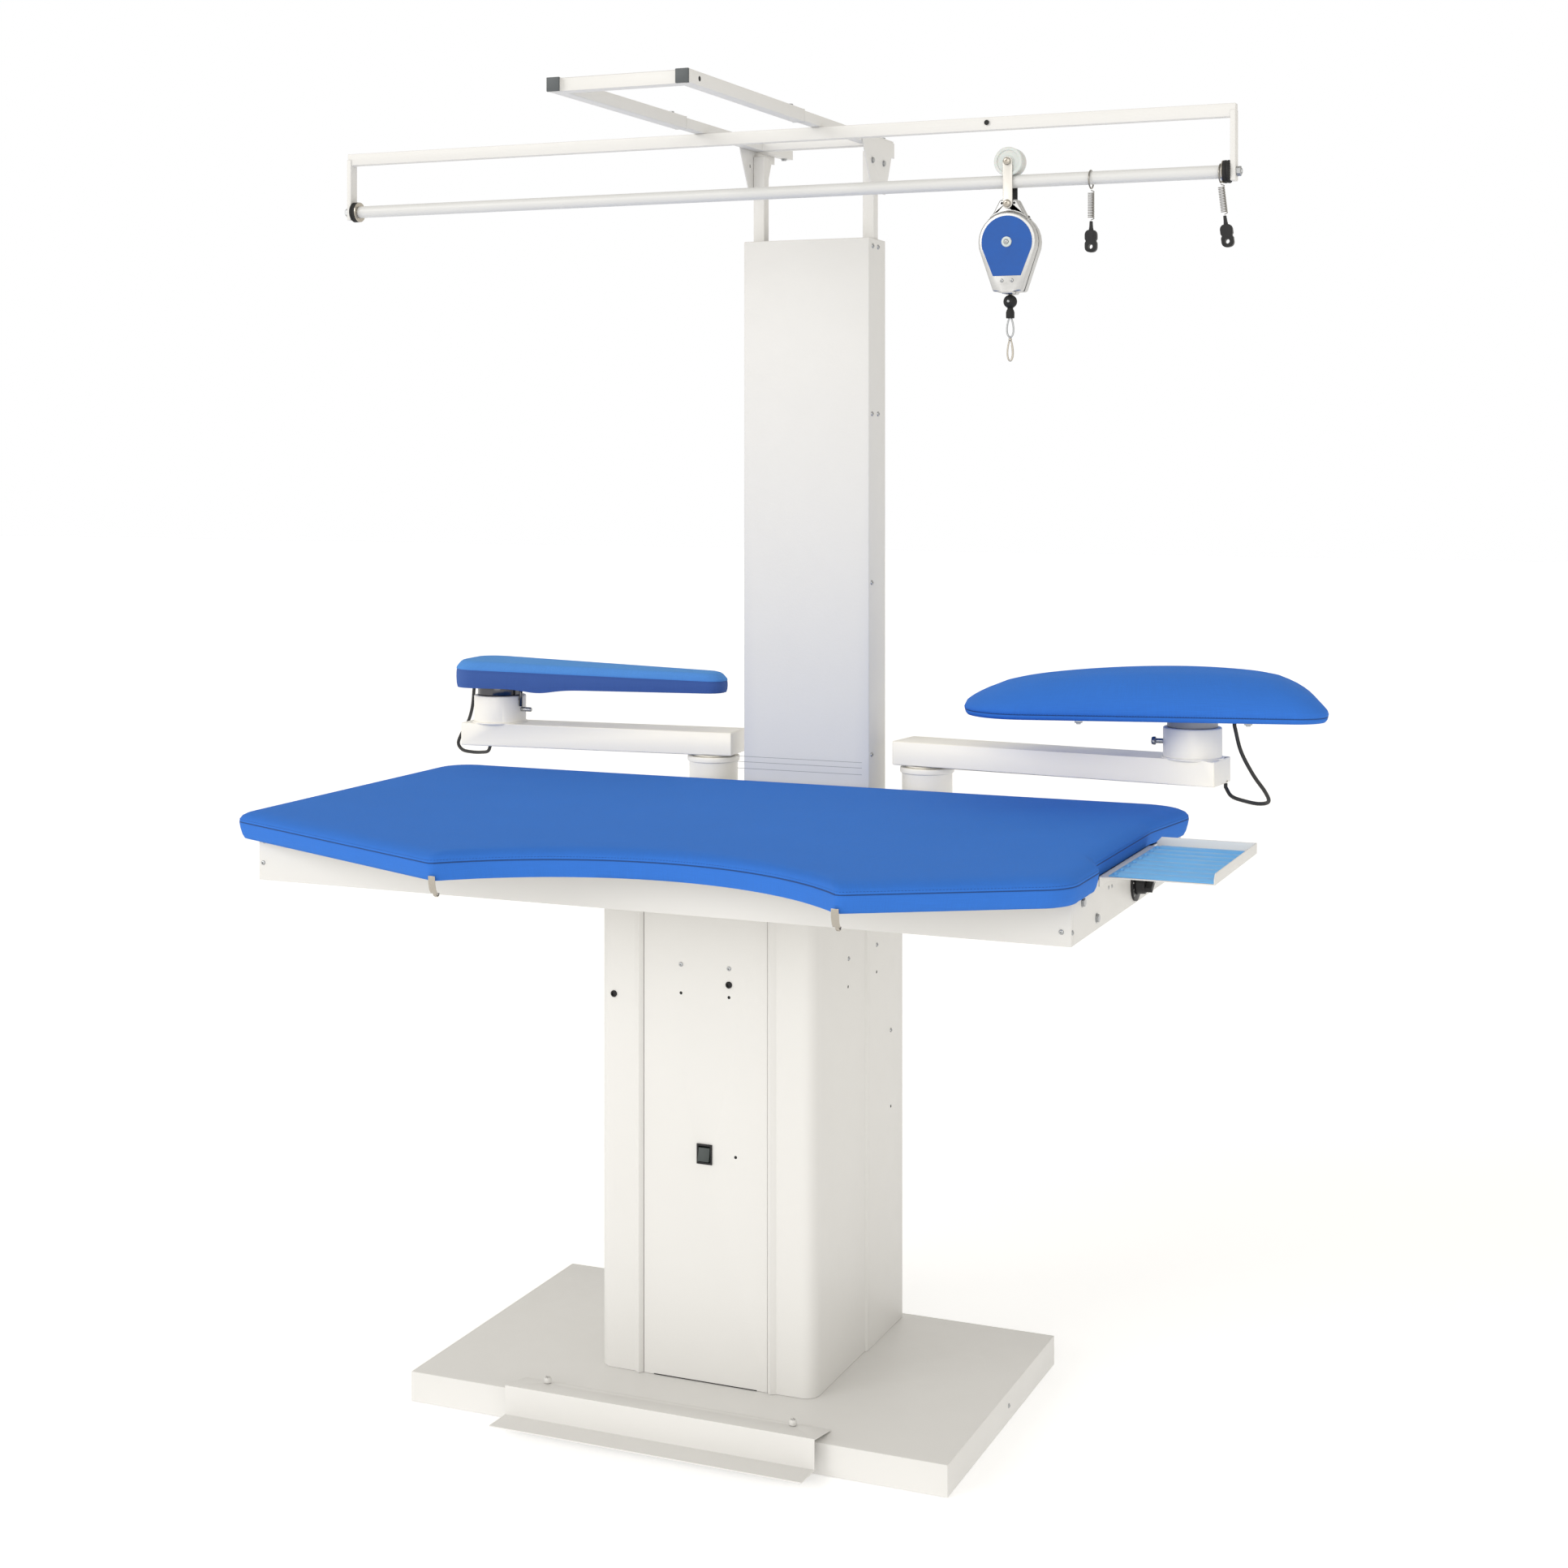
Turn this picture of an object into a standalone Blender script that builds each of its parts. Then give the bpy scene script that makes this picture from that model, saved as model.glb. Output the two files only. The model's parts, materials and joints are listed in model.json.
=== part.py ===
"""Vacuum ironing table with two swing arms, an overhead rail, a spring balancer and hose hooks.

Metres, +X right, +Y back, +Z up. The origin is on the floor, in the middle of the base.
Each named object is one separate piece of the real table.
"""

import math

import bmesh
import bpy
from mathutils import Matrix, Vector

# Clearances
GAP = 0.0003
SLIDE_GAP = 0.0004
RUN_GAP = 0.001
OVERRUN = 0.002

# Facets of round pieces
ROUND_SIDES = 32
SMALL_SIDES = 16
TINY_SIDES = 10

# Base pan on the floor
BASE_WIDTH = 0.868
BASE_DEPTH = 0.525
BASE_HEIGHT = 0.046
BASE_SHEET = 0.003

# Pedestal covers, folded sheet
PEDESTAL_HALF = 0.1795
PEDESTAL_SETBACK = 0.019
PEDESTAL_FRONT = -0.128
PEDESTAL_BACK = BASE_DEPTH / 2 - PEDESTAL_SETBACK
COVER_SHEET = 0.002
CORNER_RADIUS = 0.022
RIB_HEIGHT = 0.006
RIB_RISE = 0.006
RIB_FALL = 0.016
CORNER_FRONT_X = 0.098
CORNER_SIDE_Y = 0.090

# Table box with its front skirt
BOX_HALF = 0.6405
SKIRT_FRONT = -0.3647
SKIRT_WRAP = 0.010
BOX_OVERHANG = 0.011
BOX_BACK = PEDESTAL_BACK + BOX_OVERHANG
BOX_BOTTOM = 0.8027
BOX_HEIGHT = 0.0663
BOX_SHEET = 0.0015

# Work plate with its suction holes
PLATE_THICK = 0.002
HOLE_RADIUS = 0.006
HOLE_COLUMNS = 7
HOLE_ROWS = 3
HOLE_STEP_X = 0.17
HOLE_STEP_Y = 0.15
HOLE_CENTRE_Y = -0.10

# Table pad: outline corners with their radii, then heights over the lip
OVERHANG_LEFT = 0.0355
OVERHANG_RIGHT = 0.0395
OVERHANG_RIGHT_FRONT = 0.0235
OVERHANG_BACK = 0.010
PAD_FRONT_IN = 0.0017
PAD_FRONT_OUT = 0.0533
POINT_LEFT_X = -0.208
POINT_LEFT_OUT = 0.2058
POINT_RIGHT_X = 0.389
POINT_RIGHT_OUT = 0.2073
SCOOP_DEPTH = 0.125
NOTCH_IN = 0.0085
NOTCH_MARGIN_FRONT = 0.017
NOTCH_MARGIN_BACK = 0.0175
NOTCH_RAMP = 0.030
PAD_LEFT = -BOX_HALF - OVERHANG_LEFT
PAD_RIGHT = BOX_HALF + OVERHANG_RIGHT
PAD_BACK = BOX_BACK + OVERHANG_BACK
PAD_FRONT_LEFT = SKIRT_FRONT + PAD_FRONT_IN
PAD_FRONT_RIGHT = SKIRT_FRONT - PAD_FRONT_OUT
PAD_RIGHT_FRONT = BOX_HALF + OVERHANG_RIGHT_FRONT
POINT_LEFT = (POINT_LEFT_X, SKIRT_FRONT - POINT_LEFT_OUT)
POINT_RIGHT = (POINT_RIGHT_X, SKIRT_FRONT - POINT_RIGHT_OUT)
PAD_CORNER_RADIUS = 0.045
PAD_FRONT_RADIUS = 0.030
POINT_RADIUS = 0.010
NOTCH_RADIUS = 0.012
PAD_LIP_DROP = 0.0040
PAD_LIP_WIDTH = 0.008
PAD_SEAM_RISE = 0.025
PAD_BULGE = 0.007
PAD_SHOULDER_RISE = 0.036
PAD_SHOULDER_IN = 0.004
PAD_CREST_RISE = 0.040
PAD_CREST_IN = 0.018
PAD_FLAT_RISE = 0.041
PAD_FLAT_IN = 0.060
PAD_CROWN_RISE = 0.042
PAD_CENTRE = (0.0, -0.10)
CROWN_SHARE = 0.45

# Cover clips at the two front points
CLIP_WIDTH = 0.014
CLIP_SHEET = 0.0012
CLIP_TOP_RISE = 0.010
CLIP_DROP = 0.022
CLIP_HOOK = 0.012
CLIP_HOOK_BACK = 0.010

# Iron tray and its mat
TRAY_REACH = 0.160
TRAY_FRONT = -0.228
TRAY_BACK = 0.0505
TRAY_RISE = 0.0048
TRAY_SHEET = 0.0015
TRAY_TAB = 0.014
TRAY_FLANGE = 0.0142
MAT_THICK = 0.0012
MAT_RIB_HEIGHT = 0.003
MAT_RIB_WIDTH = 0.012
MAT_RIBS = 8
MAT_MARGIN = 0.004
MAT_START = 0.0125

# Thermostat on the right side of the table box
DIAL_Y = -0.030
DIAL_DROP = 0.037
DIAL_RADIUS = 0.026
DIAL_THICK = 0.003
KNOB_RADIUS = 0.0165
KNOB_LENGTH = 0.024
KNOB_GRIP_WIDTH = 0.008
SHAFT_RADIUS = 0.003
THERMOSTAT_WIDTH = 0.044
THERMOSTAT_DEPTH = 0.030
THERMOSTAT_NECK = 0.008

# Rocker switch in the front panel
ROCKER_X = -0.0003
ROCKER_Z = 0.3923
BEZEL_WIDTH = 0.0253
BEZEL_HEIGHT = 0.0305
BEZEL_THICK = 0.002
BEZEL_WALL = 0.003
SWITCH_DEPTH = 0.020
ROCKER_TILT = math.radians(10)
ROCKER_PROUD = 0.003
ROCKER_SWING = 0.0022

# Blower inside the pedestal
BLOWER_BEHIND = 0.186
BLOWER_BOTTOM = 0.150
BLOWER_RADIUS = 0.110
BLOWER_HEIGHT = 0.070
BLOWER_WALL = 0.003
BLOWER_EYE = 0.046
MOTOR_RADIUS = 0.055
IMPELLER_RADIUS = 0.092
IMPELLER_HEIGHT = 0.045
IMPELLER_DISC = 0.003
IMPELLER_HUB = 0.015
IMPELLER_BLADES = 8
BLADE_THICK = 0.003
MOTOR_SHAFT = 0.006
DUCT_WALL = 0.002

# Foot pedal across the front of the base
PEDAL_LEFT = -0.258
PEDAL_RIGHT = 0.242
PEDAL_SHEET = 0.002
PEDAL_HINGE_IN = 0.043
PEDAL_FACE_OUT = 0.0205
PEDAL_RISE = 0.013
PEDAL_LIP_OUT = 0.0685
PEDAL_LIP_Z = 0.0155
PEDAL_LIP_RISE = 0.0015
PEDAL_HINGE_Y = PEDAL_HINGE_IN - BASE_DEPTH / 2
PEDAL_FACE_Y = -PEDAL_FACE_OUT - BASE_DEPTH / 2
PEDAL_LIP_Y = -PEDAL_LIP_OUT - BASE_DEPTH / 2
PEDAL_TOP = BASE_HEIGHT + PEDAL_RISE
STUD_MARGIN = (0.045, 0.054)
STUD_X = (PEDAL_LEFT + STUD_MARGIN[0], PEDAL_RIGHT - STUD_MARGIN[1])
STUD_IN = 0.0305
STUD_Y = STUD_IN - BASE_DEPTH / 2
STUD_RADIUS = 0.003
STUD_HOLE_RADIUS = 0.0045
NUT_RADIUS = 0.006
NUT_HEIGHT = 0.006

# Tower box behind the table, posts and guides
TOWER_CLEAR = 0.0195
TOWER_DEPTH = 0.0784
TOWER_MARGIN = 0.0035
TOWER_DROP = 0.165
TOWER_BELOW = 0.2027
TOWER_SHEET = 0.002
BRACKET_HALF = 0.080
BRACKET_LIFT = 0.040
BRACKET_HEIGHT = 0.150
POST_SIZE = 0.020
POST_WALL = 0.0015
POST_SHIFT = 0.0015
POST_IN = 0.0425
POST_DROP = 0.0175
POST_LENGTH = 0.66

# Pivot sockets of the swing arms
PIVOT_X = 0.195
PIVOT_BACK = 0.0765
SOCKET_RADIUS = 0.042
SOCKET_BORE = 0.0345
SOCKET_DROP = 0.0227
SOCKET_RISE = 0.056
COLLAR_RADIUS = 0.045
COLLAR_HEIGHT = 0.009
SOCKET_FLOOR = 0.010
SOCKET_ARM_WIDTH = 0.040
SOCKET_ARM_HEIGHT = 0.070

# Swing arms
ARM_WIDTH = 0.080
ARM_HEIGHT = 0.040
ARM_CLEAR = 0.004
ARM_WALL = 0.0025
ARM_INSET = 0.0456
ARM_LENGTHS = {"right": 0.555, "left": 0.5065}
ARM_HEADINGS = {"right": math.radians(-6.3), "left": math.radians(185.0)}
PIN_RADIUS = 0.0335
PIN_LENGTH = 0.120
RING_RADIUS = 0.038
CUP_RADIUS = 0.046
CUP_BORE = 0.0385
CUP_HEIGHT = 0.048
CUP_FLOOR = 0.004
CUP_REACH = {"right": 0.4607, "left": 0.4029}
SPIGOT_RADIUS = 0.0380
BAND_RADIUS = 0.0395
CABLE_HOLE = 0.005

# Clamp screws through the cups
CLAMP_HEIGHT = 0.024
CLAMP_RADIUS = 0.004
CLAMP_LENGTH = 0.026
CLAMP_TIP_GAP = 0.0006
WING_LENGTH = 0.026
WING_THICK = 0.004
WING_HEIGHT = 0.010
CLAMP_TURNS = {"right": math.radians(186.0), "left": math.radians(355.0)}

# Right buck: corners along its axis and across it, heights over its underside
BUCK_HEADING = math.radians(15.5)
BUCK_RISE = 0.020
BUCK_FAR = 0.203
BUCK_NEAR = -0.345
BUCK_WIDE = 0.134
BUCK_NARROW = 0.118
BUCK_WIDE_RADIUS = 0.050
BUCK_NARROW_RADIUS = 0.090
BUCK_CENTRE = -0.071
BUCK_LEVELS = ((0.0, 0.0), (0.004, 0.008), (0.003, 0.022), (-0.009, 0.040), (-0.030, 0.057), (-0.058, 0.068))
BUCK_CROWN = 0.072

# Left sleeve board, the same way
SLEEVE_HEADING = math.radians(4.7)
SLEEVE_RISE = 0.018
SLEEVE_HEEL = -0.070
SLEEVE_TIP = 0.447
SLEEVE_HEEL_HALF = 0.073
SLEEVE_TIP_HALF = 0.0285
SLEEVE_SHIFT = -0.0145
SLEEVE_HEEL_RADIUS = 0.040
SLEEVE_TIP_RADIUS = 0.026
SLEEVE_CENTRE = 0.150
SLEEVE_LEVELS = ((0.0, 0.0), (0.002, 0.010), (0.001, 0.019), (-0.003, 0.029), (-0.010, 0.036))
SLEEVE_CROWN = 0.039

# Overhead frame of square tubes
TUBE_X = 0.1010
TUBE_Z = 1.977
OUTER_SIZE = 0.020
OUTER_WALL = 0.0012
INNER_SIZE = 0.0170
INNER_WALL = 0.0015
OUTER_REACH = 0.7371
OUTER_LENGTH = 0.4206
TUBE_OVERLAP = 0.060
INNER_TAIL_RIGHT = 0.0835
INNER_TAIL_LEFT = 0.1235
CROSS_FRONT_IN = 0.0156
CAP_THICK = 0.003
CAP_PLUG = 0.012
GUSSET_THICK = 0.002
GUSSET_HOLE = 0.003
GUSSET_RISE = 0.005
GUSSET_NOSE_DROP = 0.025
GUSSET_HEEL_DROP = 0.021
GUSSET_FOOT_DROP = 0.087
GUSSET_FRONT_REACH = 0.0715
GUSSET_NOSE_REACH = 0.0565
GUSSET_FOOT_FRONT = 0.022
GUSSET_FOOT_BACK = 0.0395
GUSSET_HEEL_REACH = 0.0695
GUSSET_BACK_REACH = 0.083
GUSSET_BOLT_DROP = 0.035
GUSSET_BOLT_FRONT = 0.022
GUSSET_BOLT_BACK = 0.0305

# Rail with its rod
RAIL_REACH = 0.2411
RAIL_HALF = 0.766
RAIL_HEIGHT = 0.020
RAIL_DEPTH = 0.015
LEG_THICK = 0.008
LEG_DEPTH = 0.020
LEG_BELOW = 0.014
ROD_RADIUS = 0.010
ROD_DROP = 0.1085
BUFFER_RADIUS = 0.017
BUFFER_THICK = 0.012
BOLT_RADIUS = 0.004
BOLT_DEPTH = 0.014
BOLT_HEAD_RADIUS = 0.0075
BOLT_HEAD = 0.008

# Trolley on the rod
TROLLEY_IN = 0.347
WHEEL_GROOVE = 0.0195
WHEEL_FLANGE = 0.0222
WHEEL_WIDTH = 0.025
GROOVE_HALF = 0.0076
WHEEL_BORE = 0.0044
AXLE_RADIUS = 0.0040
STRAP_THICK = 0.0015
STRAP_WIDTH = 0.0150
HANGER_DROP = 0.0345
STRAP_HEAD_RADIUS = 0.0055
STRAP_HEAD = 0.003

# Spring balancer: outline from its top bolt down, half thickness and inner drum
BALANCER_HALF = 0.0178
BALANCER_SEAM = 0.0016
BALANCER_RADIUS = 0.0460
BALANCER_CENTRE_DROP = 0.0585
BALANCER_BOTTOM_DROP = 0.1340
BALANCER_FOOT_HALF = 0.0225
BALANCER_SHOULDER_HALF = 0.0135
BALANCER_SHOULDER_RISE = 0.0067
BALANCER_NOSE_HALF = 0.009
BALANCER_NOSE = 0.0035
LUG_HALF_THICK = 0.0115
LUG_BORE = 0.0044
DRUM_HOUSING = 0.036
DRUM_DEPTH = 0.012
MOUTH_RADIUS = 0.0020
MOUTH_DEPTH = 0.020

# Balancer wire, ball stop, sleeve, loop and snap hook, from the balancer's foot down
WIRE_RADIUS = 0.0012
WIRE_INSIDE = 0.014
BALL_RADIUS = 0.0105
SLEEVE_RADIUS = 0.0065
SLEEVE_LENGTH = 0.015
LOOP_WIRE = 0.0014
LOOP_HALF = 0.0065
LOOP_LENGTH = 0.030
LOOP_TOP_SHARE = 0.55
HOOK_WIRE = 0.0013
HOOK_HALF = 0.0055
HOOK_LENGTH = 0.036

# Hose hooks on the rod
HOOK_IN = {"inner": 0.220, "outer": 0.0235}
HOOK_LEAN = {"inner": 0.0, "outer": math.radians(-7.0)}
RING_WIRE = 0.0012
RING_HALF_INNER = 0.0125
SPRING_RADIUS = 0.0045
SPRING_WIRE = 0.0007
SPRING_TURNS = 16
SPRING_STEP = 0.0024
SPRING_POINTS = 8
SPRING_END = 0.0030
HOSE_CLIP_LENGTH = 0.034
HOSE_CLIP_HALF = 0.0090
HOSE_CLIP_WAIST = 0.0072
HOSE_CLIP_NOTCH = 0.003
HOSE_CLIP_ROUND = 0.007
HOSE_CLIP_BORE = 0.0036
HOSE_CLIP_THICK = 0.010
HOSE_STRAP_LENGTH = 0.013
HOSE_STRAP_HALF = 0.0022

# Free cables of the two bucks, hand-placed route points
CABLE_RADIUS = 0.003
CABLE_SAMPLES = 25
CABLE_ROUTES = {
    "right": (
        (0.7350, 0.2050, 1.0457),
        (0.7350, 0.2050, 1.0390),
        (0.7440, 0.2090, 1.0000),
        (0.7610, 0.2170, 0.9640),
        (0.7770, 0.2290, 0.9370),
        (0.7790, 0.2440, 0.9205),
        (0.7620, 0.2580, 0.9142),
        (0.7380, 0.2710, 0.9150),
        (0.7130, 0.2880, 0.9190),
        (0.7015, 0.2970, 0.9315),
        (0.7015, 0.2970, 0.9377),
    ),
    "left": (
        (-0.6520, 0.3000, 1.0437),
        (-0.6520, 0.3000, 1.0370),
        (-0.6660, 0.3180, 1.0010),
        (-0.6840, 0.3350, 0.9720),
        (-0.7030, 0.3430, 0.9470),
        (-0.7120, 0.3460, 0.9280),
        (-0.7020, 0.3450, 0.9165),
        (-0.6790, 0.3400, 0.9142),
        (-0.6550, 0.3300, 0.9160),
        (-0.6340, 0.3175, 0.9205),
        (-0.6255, 0.3115, 0.9315),
        (-0.6255, 0.3115, 0.9377),
    ),
}

# Heights and places worked out from the sizes above
BASE_TOP = BASE_HEIGHT
BLOWER_Y = PEDESTAL_FRONT + BLOWER_BEHIND
BOX_TOP = BOX_BOTTOM + BOX_HEIGHT
PLATE_BOTTOM = BOX_TOP + GAP
PLATE_TOP = PLATE_BOTTOM + PLATE_THICK
PAD_POCKET = PLATE_TOP + GAP
PAD_LIP_BOTTOM = BOX_TOP - PAD_LIP_DROP
DIAL_Z = BOX_TOP - DIAL_DROP
TRAY_TOP = BOX_TOP + TRAY_RISE
NOTCH_X = BOX_HALF - NOTCH_IN
NOTCH_FRONT = TRAY_FRONT - NOTCH_MARGIN_FRONT
NOTCH_BACK = TRAY_BACK + NOTCH_MARGIN_BACK
SOCKET_BOTTOM = BOX_BOTTOM - SOCKET_DROP
SOCKET_TOP = BOX_TOP + SOCKET_RISE
COLLAR_TOP = SOCKET_TOP + COLLAR_HEIGHT
ARM_BOTTOM = COLLAR_TOP + ARM_CLEAR
ARM_TOP = ARM_BOTTOM + ARM_HEIGHT
CUP_TOP = ARM_TOP + CUP_HEIGHT
BUCK_BOTTOM = CUP_TOP + BUCK_RISE
SLEEVE_BOTTOM = CUP_TOP + SLEEVE_RISE
POST_X = TUBE_X - POST_SHIFT
TOWER_HALF = POST_X + POST_SIZE / 2 + TOWER_MARGIN
TOWER_FRONT = BOX_BACK + TOWER_CLEAR
TOWER_BACK = TOWER_FRONT + TOWER_DEPTH
TOWER_TOP = TUBE_Z - TOWER_DROP
TOWER_BOTTOM = BOX_BOTTOM - TOWER_BELOW
BRACKET_BOTTOM = TOWER_BOTTOM + BRACKET_LIFT
BRACKET_TOP = BRACKET_BOTTOM + BRACKET_HEIGHT
PIVOT_Y = BOX_BACK + PIVOT_BACK
POST_Y = TOWER_FRONT + POST_IN
POST_TOP = TUBE_Z - POST_DROP
OUTER_FRONT = POST_Y - OUTER_REACH
OUTER_BACK = OUTER_FRONT + OUTER_LENGTH
INNER_FRONT = OUTER_BACK - TUBE_OVERLAP
INNER_BACK_RIGHT = POST_Y + INNER_TAIL_RIGHT
INNER_BACK_LEFT = POST_Y + INNER_TAIL_LEFT
CROSS_FRONT_Y = OUTER_FRONT + CROSS_FRONT_IN
CROSS_REAR_Y = POST_Y
GUSSET_BOLT_Y = (POST_Y - GUSSET_BOLT_FRONT, POST_Y + GUSSET_BOLT_BACK)
RAIL_Y = POST_Y - RAIL_REACH
TROLLEY_X = RAIL_HALF - TROLLEY_IN
HOOK_X = {side: RAIL_HALF - inset for side, inset in HOOK_IN.items()}
ROD_Z = TUBE_Z - ROD_DROP
LEG_BOTTOM = ROD_Z - LEG_BELOW
WHEEL_Z = ROD_Z + ROD_RADIUS + WHEEL_GROOVE + GAP
HANGER_Z = ROD_Z - HANGER_DROP
BALANCER_FOOT = HANGER_Z - BALANCER_BOTTOM_DROP
RAIL_TOP = TUBE_Z - INNER_SIZE / 2 - GAP
RAIL_BOTTOM = RAIL_TOP - RAIL_HEIGHT

# Colours, roughness and metallic value of each finish
FINISHES = {
    "powder_coat": ((0.86, 0.85, 0.82), 0.45, 0.0),
    "blue_cloth": ((0.03, 0.14, 0.62), 0.9, 0.0),
    "light_blue_cloth": ((0.06, 0.24, 0.68), 0.9, 0.0),
    "blue_silicone": ((0.20, 0.52, 0.86), 0.5, 0.0),
    "black_plastic": ((0.02, 0.02, 0.022), 0.45, 0.0),
    "grey_plastic": ((0.09, 0.10, 0.11), 0.5, 0.0),
    "black_rubber": ((0.03, 0.03, 0.03), 0.7, 0.0),
    "white_nylon": ((0.80, 0.82, 0.82), 0.4, 0.0),
    "zinc": ((0.62, 0.63, 0.64), 0.35, 0.9),
    "nickel": ((0.70, 0.68, 0.62), 0.2, 1.0),
    "aluminium": ((0.80, 0.81, 0.82), 0.3, 0.9),
    "board_filling": ((0.42, 0.30, 0.18), 0.9, 0.0),
}


def clear_scene():
    """Take every object out of the scene."""
    for item in list(bpy.data.objects):
        bpy.data.objects.remove(item, do_unlink=True)


def finish_material(finish, name):
    """A material of its own for one piece."""
    colour, roughness, metallic = FINISHES[finish]
    material = bpy.data.materials.new(name)
    material.use_nodes = True
    shader = material.node_tree.nodes["Principled BSDF"]
    shader.inputs["Base Color"].default_value = (*colour, 1.0)
    shader.inputs["Roughness"].default_value = roughness
    shader.inputs["Metallic"].default_value = metallic
    return material


def add_piece(name, bm, finish=None, smooth=False):
    """Turn a bmesh into an object with its faces pointing out."""
    bmesh.ops.remove_doubles(bm, verts=bm.verts, dist=1e-7)
    bmesh.ops.recalc_face_normals(bm, faces=bm.faces)
    mesh = bpy.data.meshes.new(name)
    bm.to_mesh(mesh)
    bm.free()
    piece = bpy.data.objects.new(name, mesh)
    bpy.context.scene.collection.objects.link(piece)
    if finish:
        mesh.materials.append(finish_material(finish, name))
    if smooth:
        mesh.shade_smooth()
        mesh.set_sharp_from_angle(angle=math.radians(40))
    return piece


def evaluated_mesh(piece):
    """The piece's mesh with its modifiers or its bevel turned into faces."""
    bpy.context.view_layer.update()
    graph = bpy.context.evaluated_depsgraph_get()
    return bpy.data.meshes.new_from_object(piece.evaluated_get(graph))


def combine(piece, others, operation):
    """Join or cut a piece with others, which are used up."""
    for other in others:
        modifier = piece.modifiers.new("combine", "BOOLEAN")
        modifier.operation = operation
        modifier.solver = "EXACT"
        modifier.object = other
        mesh = evaluated_mesh(piece)
        piece.modifiers.remove(modifier)
        piece.data = mesh
        bpy.data.objects.remove(other, do_unlink=True)
    return piece


def cut(piece, *others):
    """Cut the other shapes out of the piece."""
    return combine(piece, others, "DIFFERENCE")


def join(piece, *others):
    """Weld the other shapes onto the piece."""
    return combine(piece, others, "UNION")


def set_origin(piece, point):
    """Put the piece's origin on a point without moving its faces."""
    offset = Vector(point)
    piece.data.transform(Matrix.Translation(-offset))
    piece.location = offset


def box(name, low, high, finish=None):
    """A block between two opposite corners."""
    bm = bmesh.new()
    bmesh.ops.create_cube(bm, size=1.0)
    size = [b - a for a, b in zip(low, high)]
    middle = [(a + b) / 2 for a, b in zip(low, high)]
    bmesh.ops.scale(bm, vec=size, verts=bm.verts)
    bmesh.ops.translate(bm, vec=middle, verts=bm.verts)
    return add_piece(name, bm, finish)


def place(axis, across, up, along):
    """A point from two outline values and one value along the named axis."""
    if axis == "X":
        return (along, across, up)
    if axis == "Y":
        return (across, along, up)
    return (across, up, along)


def prism(name, outline, axis, start, end, finish=None, smooth=False):
    """An outline drawn out along an axis."""
    bm = bmesh.new()
    corners = [bm.verts.new(place(axis, a, b, start)) for a, b in outline]
    face = bm.faces.new(corners)
    drawn = bmesh.ops.extrude_face_region(bm, geom=[face])
    moved = [item for item in drawn["geom"] if isinstance(item, bmesh.types.BMVert)]
    bmesh.ops.translate(bm, vec=place(axis, 0, 0, end - start), verts=moved)
    return add_piece(name, bm, finish, smooth)


def rod(name, axis, centre, radius, start, end, sides=ROUND_SIDES, finish=None):
    """A round bar; centre holds the two coordinates across its axis."""
    outline = []
    for step in range(sides):
        angle = 2 * math.pi * (step + 0.5) / sides
        outline.append((centre[0] + radius * math.cos(angle), centre[1] + radius * math.sin(angle)))
    return prism(name, outline, axis, start, end, finish, smooth=True)


def turned(name, profile, centre, axis="Z", sides=ROUND_SIDES, finish=None):
    """A closed profile of (radius, height) points spun round an axis through the centre."""
    bm = bmesh.new()
    rings = []
    for radius, height in profile:
        if radius == 0:
            rings.append([bm.verts.new((0, 0, height))])
            continue
        ring = []
        for step in range(sides):
            angle = 2 * math.pi * (step + 0.5) / sides
            ring.append(bm.verts.new((radius * math.cos(angle), radius * math.sin(angle), height)))
        rings.append(ring)
    for index, ring in enumerate(rings):
        following = rings[(index + 1) % len(rings)]
        if len(ring) == 1 and len(following) == 1:
            continue
        for step in range(sides):
            after = (step + 1) % sides
            corners = [ring[step % len(ring)], ring[after % len(ring)]]
            corners += [following[after % len(following)], following[step % len(following)]]
            unique = list(dict.fromkeys(corners))
            bm.faces.new(unique)
    turn = {"Z": Matrix.Identity(3), "X": Matrix.Rotation(math.pi / 2, 3, "Y")}
    turn["Y"] = Matrix.Rotation(-math.pi / 2, 3, "X")
    bmesh.ops.rotate(bm, cent=(0, 0, 0), matrix=turn[axis], verts=bm.verts)
    bmesh.ops.translate(bm, vec=centre, verts=bm.verts)
    return add_piece(name, bm, finish, smooth=True)


def offset_path(path, distance):
    """The open path moved sideways to its left, with mitred corners."""
    moved = []
    for index, point in enumerate(path):
        normals = []
        for start, end in ((index - 1, index), (index, index + 1)):
            if start < 0 or end >= len(path):
                continue
            run = Vector(path[end]) - Vector(path[start])
            normals.append(Vector((-run.y, run.x)).normalized())
        middle = sum(normals, Vector((0, 0))).normalized()
        reach = distance / middle.dot(normals[0])
        moved.append(tuple(Vector(point) + middle * reach))
    return moved


def folded_sheet(name, path, thickness, axis, start, end, finish=None):
    """Sheet metal folded along a path, its thickness on the path's left."""
    outline = list(path) + offset_path(path, thickness)[::-1]
    return prism(name, outline, axis, start, end, finish)


def arc(centre, radius, start, end, steps):
    """Points on an arc between two angles, both ends included."""
    points = []
    for step in range(steps + 1):
        angle = start + (end - start) * step / steps
        points.append((centre[0] + radius * math.cos(angle), centre[1] + radius * math.sin(angle)))
    return points


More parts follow.
